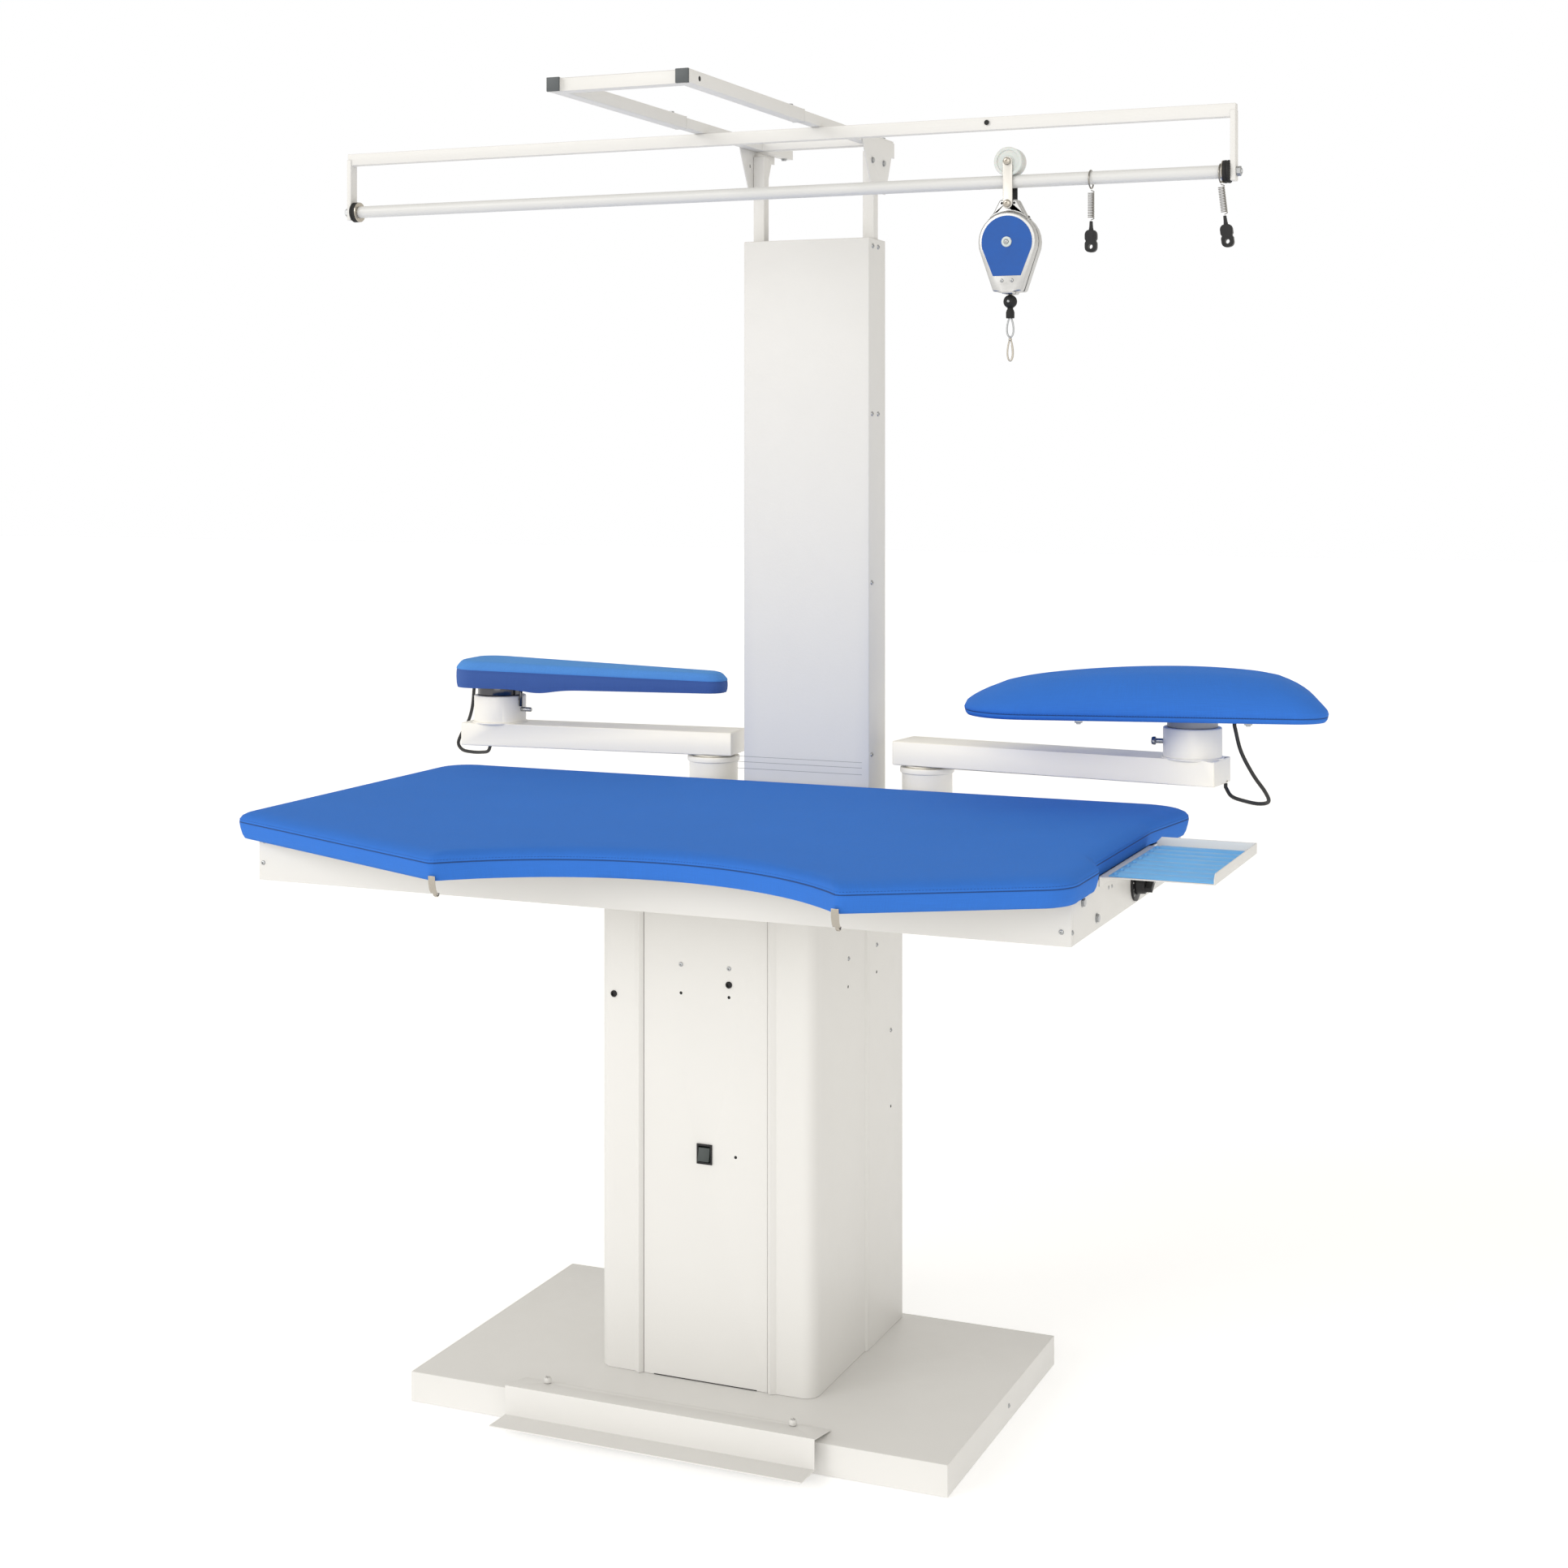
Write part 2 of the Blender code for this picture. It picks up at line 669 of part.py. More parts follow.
def rounded_outline(corners, steps=5):
    """A closed outline from (x, y, radius) corners; a zero radius keeps the corner sharp."""
    outline = []
    count = len(corners)
    for index, (x, y, radius) in enumerate(corners):
        here = Vector((x, y))
        before = Vector(corners[index - 1][:2])
        after = Vector(corners[(index + 1) % count][:2])
        if radius == 0:
            outline.append((x, y))
            continue
        into = (before - here).normalized()
        out = (after - here).normalized()
        half = into.angle(out) / 2
        setback = radius / math.tan(half)
        centre = here + (into + out).normalized() * radius / math.sin(half)
        first = here + into * setback - centre
        last = here + out * setback - centre
        sweep = first.angle_signed(last)
        for step in range(steps + 1):
            spoke = first.copy()
            spoke.rotate(Matrix.Rotation(-sweep * step / steps, 2))
            outline.append(tuple(centre + spoke))
    return outline


def smooth_route(points, samples):
    """Evenly numbered points on a Catmull-Rom curve through the route's points."""
    nodes = [Vector(point) for point in points]
    nodes = [2 * nodes[0] - nodes[1]] + nodes + [2 * nodes[-1] - nodes[-2]]
    spans = len(nodes) - 3
    route = []
    for sample in range(samples):
        position = spans * sample / (samples - 1)
        span = min(int(position), spans - 1)
        t = position - span
        a, b, c, d = nodes[span:span + 4]
        point = 2 * b + (c - a) * t + (2 * a - 5 * b + 4 * c - d) * t ** 2
        point += (3 * b - a - 3 * c + d) * t ** 3
        route.append(point / 2)
    return route


def tube(name, points, radius, resolution, finish=None, closed=False):
    """A round wire or tube along points, its ends filled."""
    curve = bpy.data.curves.new(name, "CURVE")
    curve.dimensions = "3D"
    curve.bevel_depth = radius
    curve.bevel_resolution = resolution
    curve.use_fill_caps = True
    spline = curve.splines.new("POLY")
    spline.points.add(len(points) - 1)
    for target, point in zip(spline.points, points):
        target.co = (*point, 1.0)
    spline.use_cyclic_u = closed
    piece = bpy.data.objects.new(name, curve)
    bpy.context.scene.collection.objects.link(piece)
    if finish:
        curve.materials.append(finish_material(finish, name))
    return piece


def solid_tube(name, points, radius, resolution, finish=None, closed=False):
    """The same tube as a mesh, ready to be joined or cut."""
    drawn = tube(name + "_path", points, radius, resolution, closed=closed)
    bm = bmesh.new()
    bm.from_mesh(evaluated_mesh(drawn))
    bpy.data.objects.remove(drawn, do_unlink=True)
    return add_piece(name, bm, finish, smooth=True)


def turn_about(piece, centre, axis, angle):
    """Turn a piece's faces about a line through the centre."""
    spin = Matrix.Translation(centre) @ Matrix.Rotation(angle, 4, axis)
    piece.data.transform(spin @ Matrix.Translation(-Vector(centre)))
    return piece


def scaled_ring(outline, centre, grow, height):
    """The outline grown or shrunk about its centre by a width, at a height."""
    half_x = max(abs(x - centre[0]) for x, y in outline)
    half_y = max(abs(y - centre[1]) for x, y in outline)
    share_x = 1 + grow / half_x
    share_y = 1 + grow / half_y
    ring = []
    for x, y in outline:
        ring.append((centre[0] + (x - centre[0]) * share_x, centre[1] + (y - centre[1]) * share_y, height))
    return ring


def cushion(name, outline, centre, levels, crown, pocket, finish):
    """A padded piece: rings of (grow, height) from the lip up, a crown, and a flat or pocketed underside."""
    bm = bmesh.new()
    rings = [scaled_ring(outline, centre, grow, height) for grow, height in levels]
    share, crown_height = crown
    top = [(centre[0] + (x - centre[0]) * share, centre[1] + (y - centre[1]) * share, crown_height)
           for x, y, height in rings[-1]]
    rings.append(top)
    if pocket:
        width, ceiling = pocket
        below = scaled_ring(outline, centre, -width, levels[0][1])
        rings = [[(x, y, ceiling) for x, y, height in below], below] + rings
    loops = [[bm.verts.new(point) for point in ring] for ring in rings]
    for lower, upper in zip(loops, loops[1:]):
        for index in range(len(lower)):
            after = (index + 1) % len(lower)
            bm.faces.new((lower[index], lower[after], upper[after], upper[index]))
    bm.faces.new(loops[0][::-1])
    peak = bm.verts.new((centre[0], centre[1], crown_height))
    for index in range(len(loops[-1])):
        after = (index + 1) % len(loops[-1])
        bm.faces.new((loops[-1][index], loops[-1][after], peak))
    return add_piece(name, bm, finish, smooth=True)


def build_base():
    """Folded base pan with the two pedal studs, and the cast filling inside it."""
    half_x = BASE_WIDTH / 2
    half_y = BASE_DEPTH / 2
    pan = box("base_pan", (-half_x, -half_y, 0), (half_x, half_y, BASE_TOP), "powder_coat")
    inner_x = half_x - BASE_SHEET
    inner_y = half_y - BASE_SHEET
    ceiling = BASE_TOP - BASE_SHEET
    cut(pan, box("hollow", (-inner_x, -inner_y, -OVERRUN), (inner_x, inner_y, ceiling)))
    flange_top = pedal_flange_height(STUD_Y)
    nut_bottom = flange_top + RUN_GAP
    for x in STUD_X:
        stud = turned("stud", (
            (0, ceiling + GAP),
            (STUD_RADIUS, ceiling + GAP),
            (STUD_RADIUS, nut_bottom),
            (NUT_RADIUS, nut_bottom),
            (NUT_RADIUS, nut_bottom + NUT_HEIGHT),
            (STUD_RADIUS, nut_bottom + NUT_HEIGHT + STUD_RADIUS),
            (0, nut_bottom + NUT_HEIGHT + STUD_RADIUS),
        ), (x, STUD_Y, 0), sides=TINY_SIDES)
        join(pan, stud)
    filling_x = inner_x - GAP
    filling_y = inner_y - GAP
    box("base_filling", (-filling_x, -filling_y, 0), (filling_x, filling_y, ceiling - GAP),
        "board_filling")


def pedal_flange_height(y):
    """Top of the pedal's sloping flange at a depth."""
    rear = BASE_TOP + GAP + PEDAL_SHEET
    run = (PEDAL_HINGE_Y - y) / (PEDAL_HINGE_Y - PEDAL_FACE_Y)
    return rear + (PEDAL_TOP - rear) * run


def build_pedal():
    """Foot pedal: sloping flange, front face and lip, hinged at its rear edge."""
    rear = BASE_TOP + GAP + PEDAL_SHEET
    path = (
        (PEDAL_HINGE_Y, rear),
        (PEDAL_FACE_Y, PEDAL_TOP),
        (PEDAL_FACE_Y, PEDAL_LIP_Z),
        (PEDAL_LIP_Y, PEDAL_LIP_Z + PEDAL_LIP_RISE),
    )
    pedal = folded_sheet("foot_pedal", path, PEDAL_SHEET, "X", PEDAL_LEFT, PEDAL_RIGHT, "powder_coat")
    for x in STUD_X:
        cut(pedal, rod("stud_hole", "Z", (x, STUD_Y), STUD_HOLE_RADIUS, BASE_TOP, PEDAL_TOP, TINY_SIDES))
    set_origin(pedal, (0, PEDAL_HINGE_Y, BASE_TOP + GAP))


def pedestal_corner_path():
    """Outside of the right corner cover: front rib, rounded corner, side rib."""
    centre = (PEDESTAL_HALF - CORNER_RADIUS, PEDESTAL_FRONT + CORNER_RADIUS)
    path = [
        (CORNER_FRONT_X, PEDESTAL_FRONT),
        (CORNER_FRONT_X + RIB_RISE, PEDESTAL_FRONT - RIB_HEIGHT),
        (CORNER_FRONT_X + RIB_RISE + RIB_FALL, PEDESTAL_FRONT),
    ]
    path += arc(centre, CORNER_RADIUS, -math.pi / 2, 0, 6)
    path += [
        (PEDESTAL_HALF, CORNER_SIDE_Y - RIB_RISE - RIB_FALL),
        (PEDESTAL_HALF + RIB_HEIGHT, CORNER_SIDE_Y - RIB_RISE),
        (PEDESTAL_HALF, CORNER_SIDE_Y),
    ]
    return path


def build_pedestal():
    """Front panel, two corner covers and the rear cover between base and table."""
    bottom = BASE_TOP + GAP
    top = BOX_BOTTOM - GAP
    path = pedestal_corner_path()
    folded_sheet("pedestal_corner_right", path, COVER_SHEET, "Z", bottom, top, "powder_coat")
    mirrored = [(-x, y) for x, y in path][::-1]
    folded_sheet("pedestal_corner_left", mirrored, COVER_SHEET, "Z", bottom, top, "powder_coat")
    panel_half = CORNER_FRONT_X - GAP
    panel_back = PEDESTAL_FRONT + COVER_SHEET
    panel = box("pedestal_front_panel", (-panel_half, PEDESTAL_FRONT, bottom),
                (panel_half, panel_back, top), "powder_coat")
    hole_x = BEZEL_WIDTH / 2 - BEZEL_WALL / 2
    hole_z = BEZEL_HEIGHT / 2 - BEZEL_WALL / 2
    cut(panel, box("switch_hole", (ROCKER_X - hole_x, PEDESTAL_FRONT - OVERRUN, ROCKER_Z - hole_z),
                   (ROCKER_X + hole_x, panel_back + OVERRUN, ROCKER_Z + hole_z)))
    rear_y = CORNER_SIDE_Y + GAP
    outline = (
        (PEDESTAL_HALF, rear_y),
        (PEDESTAL_HALF, PEDESTAL_BACK),
        (-PEDESTAL_HALF, PEDESTAL_BACK),
        (-PEDESTAL_HALF, rear_y),
    )
    folded_sheet("pedestal_rear_cover", outline, COVER_SHEET, "Z", bottom, top, "powder_coat")


def build_rocker():
    """Switch bezel with its housing, and the rocker that tilts in it."""
    front = PEDESTAL_FRONT - GAP - BEZEL_THICK
    half_x = BEZEL_WIDTH / 2
    half_z = BEZEL_HEIGHT / 2
    frame = box("switch_housing", (ROCKER_X - half_x, front, ROCKER_Z - half_z),
                (ROCKER_X + half_x, PEDESTAL_FRONT - GAP, ROCKER_Z + half_z), "black_plastic")
    body_x = half_x - BEZEL_WALL / 2 - GAP
    body_z = half_z - BEZEL_WALL / 2 - GAP
    join(frame, box("body", (ROCKER_X - body_x, front + BEZEL_THICK / 2, ROCKER_Z - body_z),
                    (ROCKER_X + body_x, PEDESTAL_FRONT + SWITCH_DEPTH, ROCKER_Z + body_z)))
    well_x = half_x - BEZEL_WALL
    well_z = half_z - BEZEL_WALL
    floor = PEDESTAL_FRONT + SWITCH_DEPTH - BEZEL_WALL
    cut(frame, box("well", (ROCKER_X - well_x, front - OVERRUN, ROCKER_Z - well_z),
                   (ROCKER_X + well_x, floor, ROCKER_Z + well_z)))
    reach = well_z - ROCKER_SWING
    depth = reach * math.sin(ROCKER_TILT)
    outline = (
        (front - ROCKER_PROUD - depth, ROCKER_Z - reach * math.cos(ROCKER_TILT)),
        (front - ROCKER_PROUD / 2, ROCKER_Z),
        (front - ROCKER_PROUD / 2 + depth, ROCKER_Z + reach * math.cos(ROCKER_TILT)),
        (front + BEZEL_THICK + depth + ROCKER_PROUD, ROCKER_Z + reach * math.cos(ROCKER_TILT)),
        (floor - BEZEL_WALL, ROCKER_Z),
        (front + BEZEL_THICK, ROCKER_Z - reach * math.cos(ROCKER_TILT)),
    )
    switch_x = well_x - SLIDE_GAP
    switch = prism("rocker_switch", outline, "X", ROCKER_X - switch_x, ROCKER_X + switch_x,
                   "grey_plastic")
    set_origin(switch, (ROCKER_X, PEDESTAL_FRONT, ROCKER_Z))


def build_blower():
    """Suction blower in the pedestal: housing with its motor, impeller, duct up to the table."""
    housing_top = BLOWER_BOTTOM + BLOWER_HEIGHT
    motor_bottom = BASE_TOP + GAP
    inner = BLOWER_RADIUS - BLOWER_WALL
    floor = BLOWER_BOTTOM + BLOWER_WALL
    duct_gap = SLIDE_GAP + DUCT_WALL
    turned("blower_housing", (
        (0, motor_bottom),
        (MOTOR_RADIUS, motor_bottom),
        (MOTOR_RADIUS, BLOWER_BOTTOM),
        (BLOWER_RADIUS, BLOWER_BOTTOM),
        (BLOWER_RADIUS, housing_top),
        (BLOWER_EYE + duct_gap, housing_top),
        (BLOWER_EYE + duct_gap, housing_top - BLOWER_WALL),
        (inner, housing_top - BLOWER_WALL),
        (inner, floor),
        (MOTOR_SHAFT, floor),
        (MOTOR_SHAFT, floor + IMPELLER_HEIGHT / 2),
        (0, floor + IMPELLER_HEIGHT / 2),
    ), (0, BLOWER_Y, 0), finish="aluminium")
    disc_bottom = floor + RUN_GAP
    disc_top = disc_bottom + IMPELLER_DISC
    hub_top = disc_bottom + IMPELLER_HEIGHT
    bore = MOTOR_SHAFT + SLIDE_GAP
    shaft_top = floor + IMPELLER_HEIGHT / 2 + RUN_GAP
    impeller = turned("blower_impeller", (
        (bore, disc_bottom),
        (IMPELLER_RADIUS, disc_bottom),
        (IMPELLER_RADIUS, disc_top),
        (IMPELLER_HUB, disc_top),
        (IMPELLER_HUB, hub_top),
        (0, hub_top),
        (0, shaft_top),
        (bore, shaft_top),
    ), (0, 0, 0), finish="aluminium")
    for blade in range(IMPELLER_BLADES):
        fin = box("fin", (IMPELLER_HUB - RUN_GAP, -BLADE_THICK / 2, disc_top - RUN_GAP),
                  (IMPELLER_RADIUS - RUN_GAP, BLADE_THICK / 2, hub_top - RUN_GAP))
        turn_about(fin, (0, 0, 0), "Z", 2 * math.pi * (blade + 0.5) / IMPELLER_BLADES)
        join(impeller, fin)
    impeller.location = (0, BLOWER_Y, 0)
    outer = BLOWER_EYE + DUCT_WALL
    duct_bottom = housing_top - BLOWER_WALL / 2
    turned("air_duct", (
        (BLOWER_EYE, duct_bottom),
        (outer, duct_bottom),
        (outer, BOX_BOTTOM - GAP),
        (BLOWER_EYE, BOX_BOTTOM - GAP),
    ), (0, BLOWER_Y, 0), finish="grey_plastic")


def build_table_box():
    """Suction box, its front skirt, the perforated work plate and the thermostat."""
    wrap_back = SKIRT_FRONT + SKIRT_WRAP
    box_front = SKIRT_FRONT + BOX_SHEET + GAP
    suction = box("suction_box", (-BOX_HALF, wrap_back + GAP, BOX_BOTTOM), (BOX_HALF, BOX_BACK, BOX_TOP),
                  "powder_coat")
    inset = BOX_SHEET + GAP
    join(suction, box("front", (inset - BOX_HALF, box_front, BOX_BOTTOM),
                      (BOX_HALF - inset, wrap_back + inset, BOX_TOP)))
    inner = BOX_HALF - inset - BOX_SHEET
    cut(suction, box("hollow", (-inner, box_front + BOX_SHEET, BOX_BOTTOM + BOX_SHEET),
                     (inner, BOX_BACK - BOX_SHEET, BOX_TOP + OVERRUN)))
    cut(suction, rod("duct_hole", "Z", (0, BLOWER_Y), BLOWER_EYE, BOX_BOTTOM - OVERRUN,
                     BOX_BOTTOM + BOX_SHEET + OVERRUN))
    neck = THERMOSTAT_NECK + SLIDE_GAP
    cut(suction, rod("dial_hole", "X", (DIAL_Y, DIAL_Z), neck, inner - OVERRUN, BOX_HALF + OVERRUN,
                     SMALL_SIDES))
    skirt = (
        (BOX_HALF, wrap_back),
        (BOX_HALF, SKIRT_FRONT),
        (-BOX_HALF, SKIRT_FRONT),
        (-BOX_HALF, wrap_back),
    )
    folded_sheet("skirt_front", skirt[::-1], BOX_SHEET, "Z", BOX_BOTTOM, BOX_TOP, "powder_coat")
    plate_grow = -PAD_LIP_WIDTH - GAP
    ring = scaled_ring(pad_outline(), PAD_CENTRE, plate_grow, 0)
    outline = [(x, y) for x, y, height in ring]
    plate = prism("work_plate", outline, "Z", PLATE_BOTTOM, PLATE_TOP, "aluminium")
    for column in range(HOLE_COLUMNS):
        for row in range(HOLE_ROWS):
            x = (column - (HOLE_COLUMNS - 1) / 2) * HOLE_STEP_X
            y = HOLE_CENTRE_Y + (row - (HOLE_ROWS - 1) / 2) * HOLE_STEP_Y
            cut(plate, rod("hole", "Z", (x, y), HOLE_RADIUS, PLATE_BOTTOM - OVERRUN, PLATE_TOP + OVERRUN,
                           TINY_SIDES))
    dial_start = BOX_HALF + GAP
    dial_end = dial_start + DIAL_THICK
    body_end = inner - GAP
    thermostat = turned("thermostat_body", (
        (0, body_end - THERMOSTAT_DEPTH),
        (THERMOSTAT_WIDTH / 2, body_end - THERMOSTAT_DEPTH),
        (THERMOSTAT_WIDTH / 2, body_end),
        (THERMOSTAT_NECK, body_end),
        (THERMOSTAT_NECK, dial_start),
        (DIAL_RADIUS, dial_start),
        (DIAL_RADIUS, dial_end),
        (SHAFT_RADIUS, dial_end),
        (SHAFT_RADIUS, dial_end + KNOB_LENGTH / 2),
        (0, dial_end + KNOB_LENGTH / 2),
    ), (0, DIAL_Y, DIAL_Z), "X", finish="black_plastic")
    knob_start = dial_end + GAP
    bore = SHAFT_RADIUS + SLIDE_GAP
    knob_end = knob_start + KNOB_LENGTH
    grip = KNOB_GRIP_WIDTH
    knob = turned("thermostat_knob", (
        (bore, knob_start),
        (KNOB_RADIUS, knob_start),
        (KNOB_RADIUS, knob_start + KNOB_LENGTH / 2),
        (grip, knob_start + KNOB_LENGTH / 2),
        (grip, knob_end),
        (0, knob_end),
        (0, knob_start + KNOB_LENGTH / 2 + RUN_GAP),
        (bore, knob_start + KNOB_LENGTH / 2 + RUN_GAP),
    ), (0, 0, 0), "X", finish="black_plastic")
    knob.location = (0, DIAL_Y, DIAL_Z)
    return thermostat


def pad_outline():
    """Outline of the pad's lip seen from above, with its two points, scoop and tray notch."""
    chord = Vector(POINT_RIGHT) - Vector(POINT_LEFT)
    half = chord.length / 2
    radius = (half ** 2 + SCOOP_DEPTH ** 2) / (2 * SCOOP_DEPTH)
    middle = (Vector(POINT_LEFT) + Vector(POINT_RIGHT)) / 2
    centre = middle + Vector((0, SCOOP_DEPTH - radius))
    spread = math.asin(half / radius)
    corners = [(PAD_LEFT, PAD_BACK, PAD_CORNER_RADIUS), (PAD_LEFT, PAD_FRONT_LEFT, PAD_FRONT_RADIUS)]
    corners.append((*POINT_LEFT, POINT_RADIUS))
    scoop = arc(centre, radius, math.pi / 2 + spread, math.pi / 2 - spread, 14)
    corners += [(x, y, 0) for x, y in scoop[1:-1]]
    corners.append((*POINT_RIGHT, POINT_RADIUS))
    corners.append((PAD_RIGHT_FRONT, PAD_FRONT_RIGHT, PAD_CORNER_RADIUS))
    corners.append((PAD_RIGHT_FRONT, NOTCH_FRONT - NOTCH_RAMP, NOTCH_RADIUS))
    corners.append((NOTCH_X, NOTCH_FRONT, NOTCH_RADIUS))
    corners.append((NOTCH_X, NOTCH_BACK, NOTCH_RADIUS))
    corners.append((PAD_RIGHT, NOTCH_BACK + NOTCH_RAMP, NOTCH_RADIUS))
    corners.append((PAD_RIGHT, PAD_BACK, PAD_CORNER_RADIUS))
    return rounded_outline(corners)


def build_pad():
    """Padded cover over the work plate: crowned top, seam, drawn-in sides, lip round the plate."""
    bottom = PAD_LIP_BOTTOM
    levels = (
        (0, bottom),
        (PAD_BULGE, bottom + PAD_SEAM_RISE),
        (-PAD_SHOULDER_IN, bottom + PAD_SHOULDER_RISE),
        (-PAD_CREST_IN, bottom + PAD_CREST_RISE),
        (-PAD_FLAT_IN, bottom + PAD_FLAT_RISE),
    )
    pad = cushion("table_pad", pad_outline(), PAD_CENTRE, levels, (CROWN_SHARE, bottom + PAD_CROWN_RISE),
                  (PAD_LIP_WIDTH, PAD_POCKET), "blue_cloth")
    relief_x = BOX_HALF + GAP + TRAY_SHEET + GAP
    left = NOTCH_X - PAD_LIP_WIDTH - OVERRUN
    cut(pad, box("relief", (left, NOTCH_FRONT - 2 * NOTCH_RAMP, bottom - OVERRUN),
                 (relief_x, NOTCH_BACK + 2 * NOTCH_RAMP, PAD_POCKET)))


def build_clips():
    """Sheet clips that hook over the cover at the two front points."""
    for side, point in (("left", POINT_LEFT), ("right", POINT_RIGHT)):
        face = point[1] - PAD_BULGE * CLIP_TOP_RISE / PAD_SEAM_RISE - CLIP_SHEET - GAP
        path = (
            (face, PAD_LIP_BOTTOM + CLIP_TOP_RISE),
            (face, PAD_LIP_BOTTOM - CLIP_DROP),
            (face + CLIP_HOOK_BACK, PAD_LIP_BOTTOM - CLIP_DROP - CLIP_HOOK),
        )
        start = point[0] - CLIP_WIDTH / 2
        clip = folded_sheet(f"cover_clip_{side}", path, CLIP_SHEET, "X", start, start + CLIP_WIDTH, "nickel")
        seat_top = PAD_LIP_BOTTOM - GAP
        join(clip, box("seat", (start, face + CLIP_SHEET / 2, seat_top - CLIP_SHEET),
                       (start + CLIP_WIDTH, point[1] + 2 * PAD_LIP_WIDTH, seat_top)))


def build_tray():
    """Iron tray bent from the skirt's side, with flanges at its right and back, and its ribbed mat."""
    wall = BOX_HALF + GAP
    shelf_bottom = TRAY_TOP - TRAY_SHEET
    reach = wall + TRAY_REACH
    rim = TRAY_TOP + TRAY_FLANGE
    folded = (
        (wall, TRAY_TOP - TRAY_TAB),
        (wall + TRAY_SHEET, TRAY_TOP - TRAY_TAB),
        (wall + TRAY_SHEET, shelf_bottom),
        (reach, shelf_bottom),
        (reach, rim),
        (reach - TRAY_SHEET, rim),
        (reach - TRAY_SHEET, TRAY_TOP),
        (wall, TRAY_TOP),
    )
    tray = prism("iron_tray", folded, "Y", TRAY_FRONT, TRAY_BACK, "powder_coat")
    inside = TRAY_SHEET / 2
    left = wall + MAT_START
    corner = TRAY_FLANGE / 2
    flange = (
        (left, shelf_bottom + inside),
        (reach - inside, shelf_bottom + inside),
        (reach - inside, rim),
        (left + corner, rim),
        (left, rim - corner),
    )
    join(tray, prism("back_flange", flange, "Y", TRAY_BACK - TRAY_SHEET, TRAY_BACK))
    slope = (
        (TRAY_FRONT - OVERRUN, rim - corner - OVERRUN),
        (TRAY_FRONT + corner + OVERRUN, rim + OVERRUN),
        (TRAY_FRONT - OVERRUN, rim + OVERRUN),
    )
    cut(tray, prism("sloped_end", slope, "X", reach - TRAY_SHEET - OVERRUN, reach + OVERRUN))
    start = TRAY_FRONT + MAT_MARGIN
    end = TRAY_BACK - TRAY_SHEET - MAT_MARGIN
    bottom = TRAY_TOP + GAP
    pitch = (end - start) / MAT_RIBS
    top = []
    for rib in range(MAT_RIBS):
        middle = start + (rib + 0.5) * pitch
        half = MAT_RIB_WIDTH / 2
        low = bottom + MAT_THICK
        top += [(middle - half, low), (middle - half / 2, low + MAT_RIB_HEIGHT)]
        top += [(middle + half / 2, low + MAT_RIB_HEIGHT), (middle + half, low)]
    outline = [(end, bottom), (start, bottom), (start, bottom + MAT_THICK)] + top
    outline.append((end, bottom + MAT_THICK))
    prism("tray_mat", outline, "X", wall + MAT_START, reach - TRAY_SHEET - RUN_GAP, "blue_silicone")


def build_tower():
    """Tower box on a bracket behind the pedestal, with a guide block for the posts at its top."""
    half = TOWER_HALF
    tower = box("tower_box", (-half, TOWER_FRONT, TOWER_BOTTOM), (half, TOWER_BACK, TOWER_TOP), "powder_coat")
    inner = half - TOWER_SHEET
    cut(tower, box("hollow", (-inner, TOWER_FRONT + TOWER_SHEET, TOWER_BOTTOM - OVERRUN),
                   (inner, TOWER_BACK - TOWER_SHEET, TOWER_TOP - TOWER_SHEET)))
    hole = POST_SIZE / 2 + SLIDE_GAP
    for side in (-1, 1):
        cut(tower, box("post_hole", (side * POST_X - hole, POST_Y - hole, TOWER_TOP - TOWER_SHEET - OVERRUN),
                       (side * POST_X + hole, POST_Y + hole, TOWER_TOP + OVERRUN)))
    bracket_front = PEDESTAL_BACK + GAP
    join(tower, box("bracket", (-BRACKET_HALF, bracket_front, BRACKET_BOTTOM),
                    (BRACKET_HALF, TOWER_FRONT + TOWER_SHEET / 2, BRACKET_TOP)))


def build_post(side, sign):
    """Square post that slides in the tower."""
    half = POST_SIZE / 2
    x = sign * POST_X
    low = POST_TOP - POST_LENGTH
    post = box(f"post_{side}", (x - half, POST_Y - half, low), (x + half, POST_Y + half, POST_TOP),
               "powder_coat")
    inner = half - POST_WALL
    cut(post, box("bore", (x - inner, POST_Y - inner, low - OVERRUN),
                  (x + inner, POST_Y + inner, POST_TOP + OVERRUN)))


def build_gusset(side, sign):
    """Plate that ties a post to the overhead tube, with its two bolts' heads."""
    outline = (
        (POST_Y - GUSSET_FRONT_REACH, TUBE_Z + GUSSET_RISE),
        (POST_Y - GUSSET_NOSE_REACH, TUBE_Z - GUSSET_NOSE_DROP),
        (POST_Y - GUSSET_FOOT_FRONT, TUBE_Z - GUSSET_FOOT_DROP),
        (POST_Y + GUSSET_FOOT_BACK, TUBE_Z - GUSSET_FOOT_DROP),
        (POST_Y + GUSSET_HEEL_REACH, TUBE_Z - GUSSET_HEEL_DROP),
        (POST_Y + GUSSET_BACK_REACH, TUBE_Z - GUSSET_HEEL_DROP),
        (POST_Y + GUSSET_BACK_REACH, TUBE_Z + GUSSET_RISE),
    )
    inner = sign * (max(POST_X + POST_SIZE / 2, TUBE_X + INNER_SIZE / 2) + GAP)
    outer = inner + sign * GUSSET_THICK
    gusset = prism(f"gusset_{side}", outline, "X", inner, outer, "powder_coat")
    for y in GUSSET_BOLT_Y:
        cut(gusset, rod("hole", "X", (y, TUBE_Z - GUSSET_BOLT_DROP), GUSSET_HOLE, inner - sign * OVERRUN,
                        outer + sign * OVERRUN, TINY_SIDES))


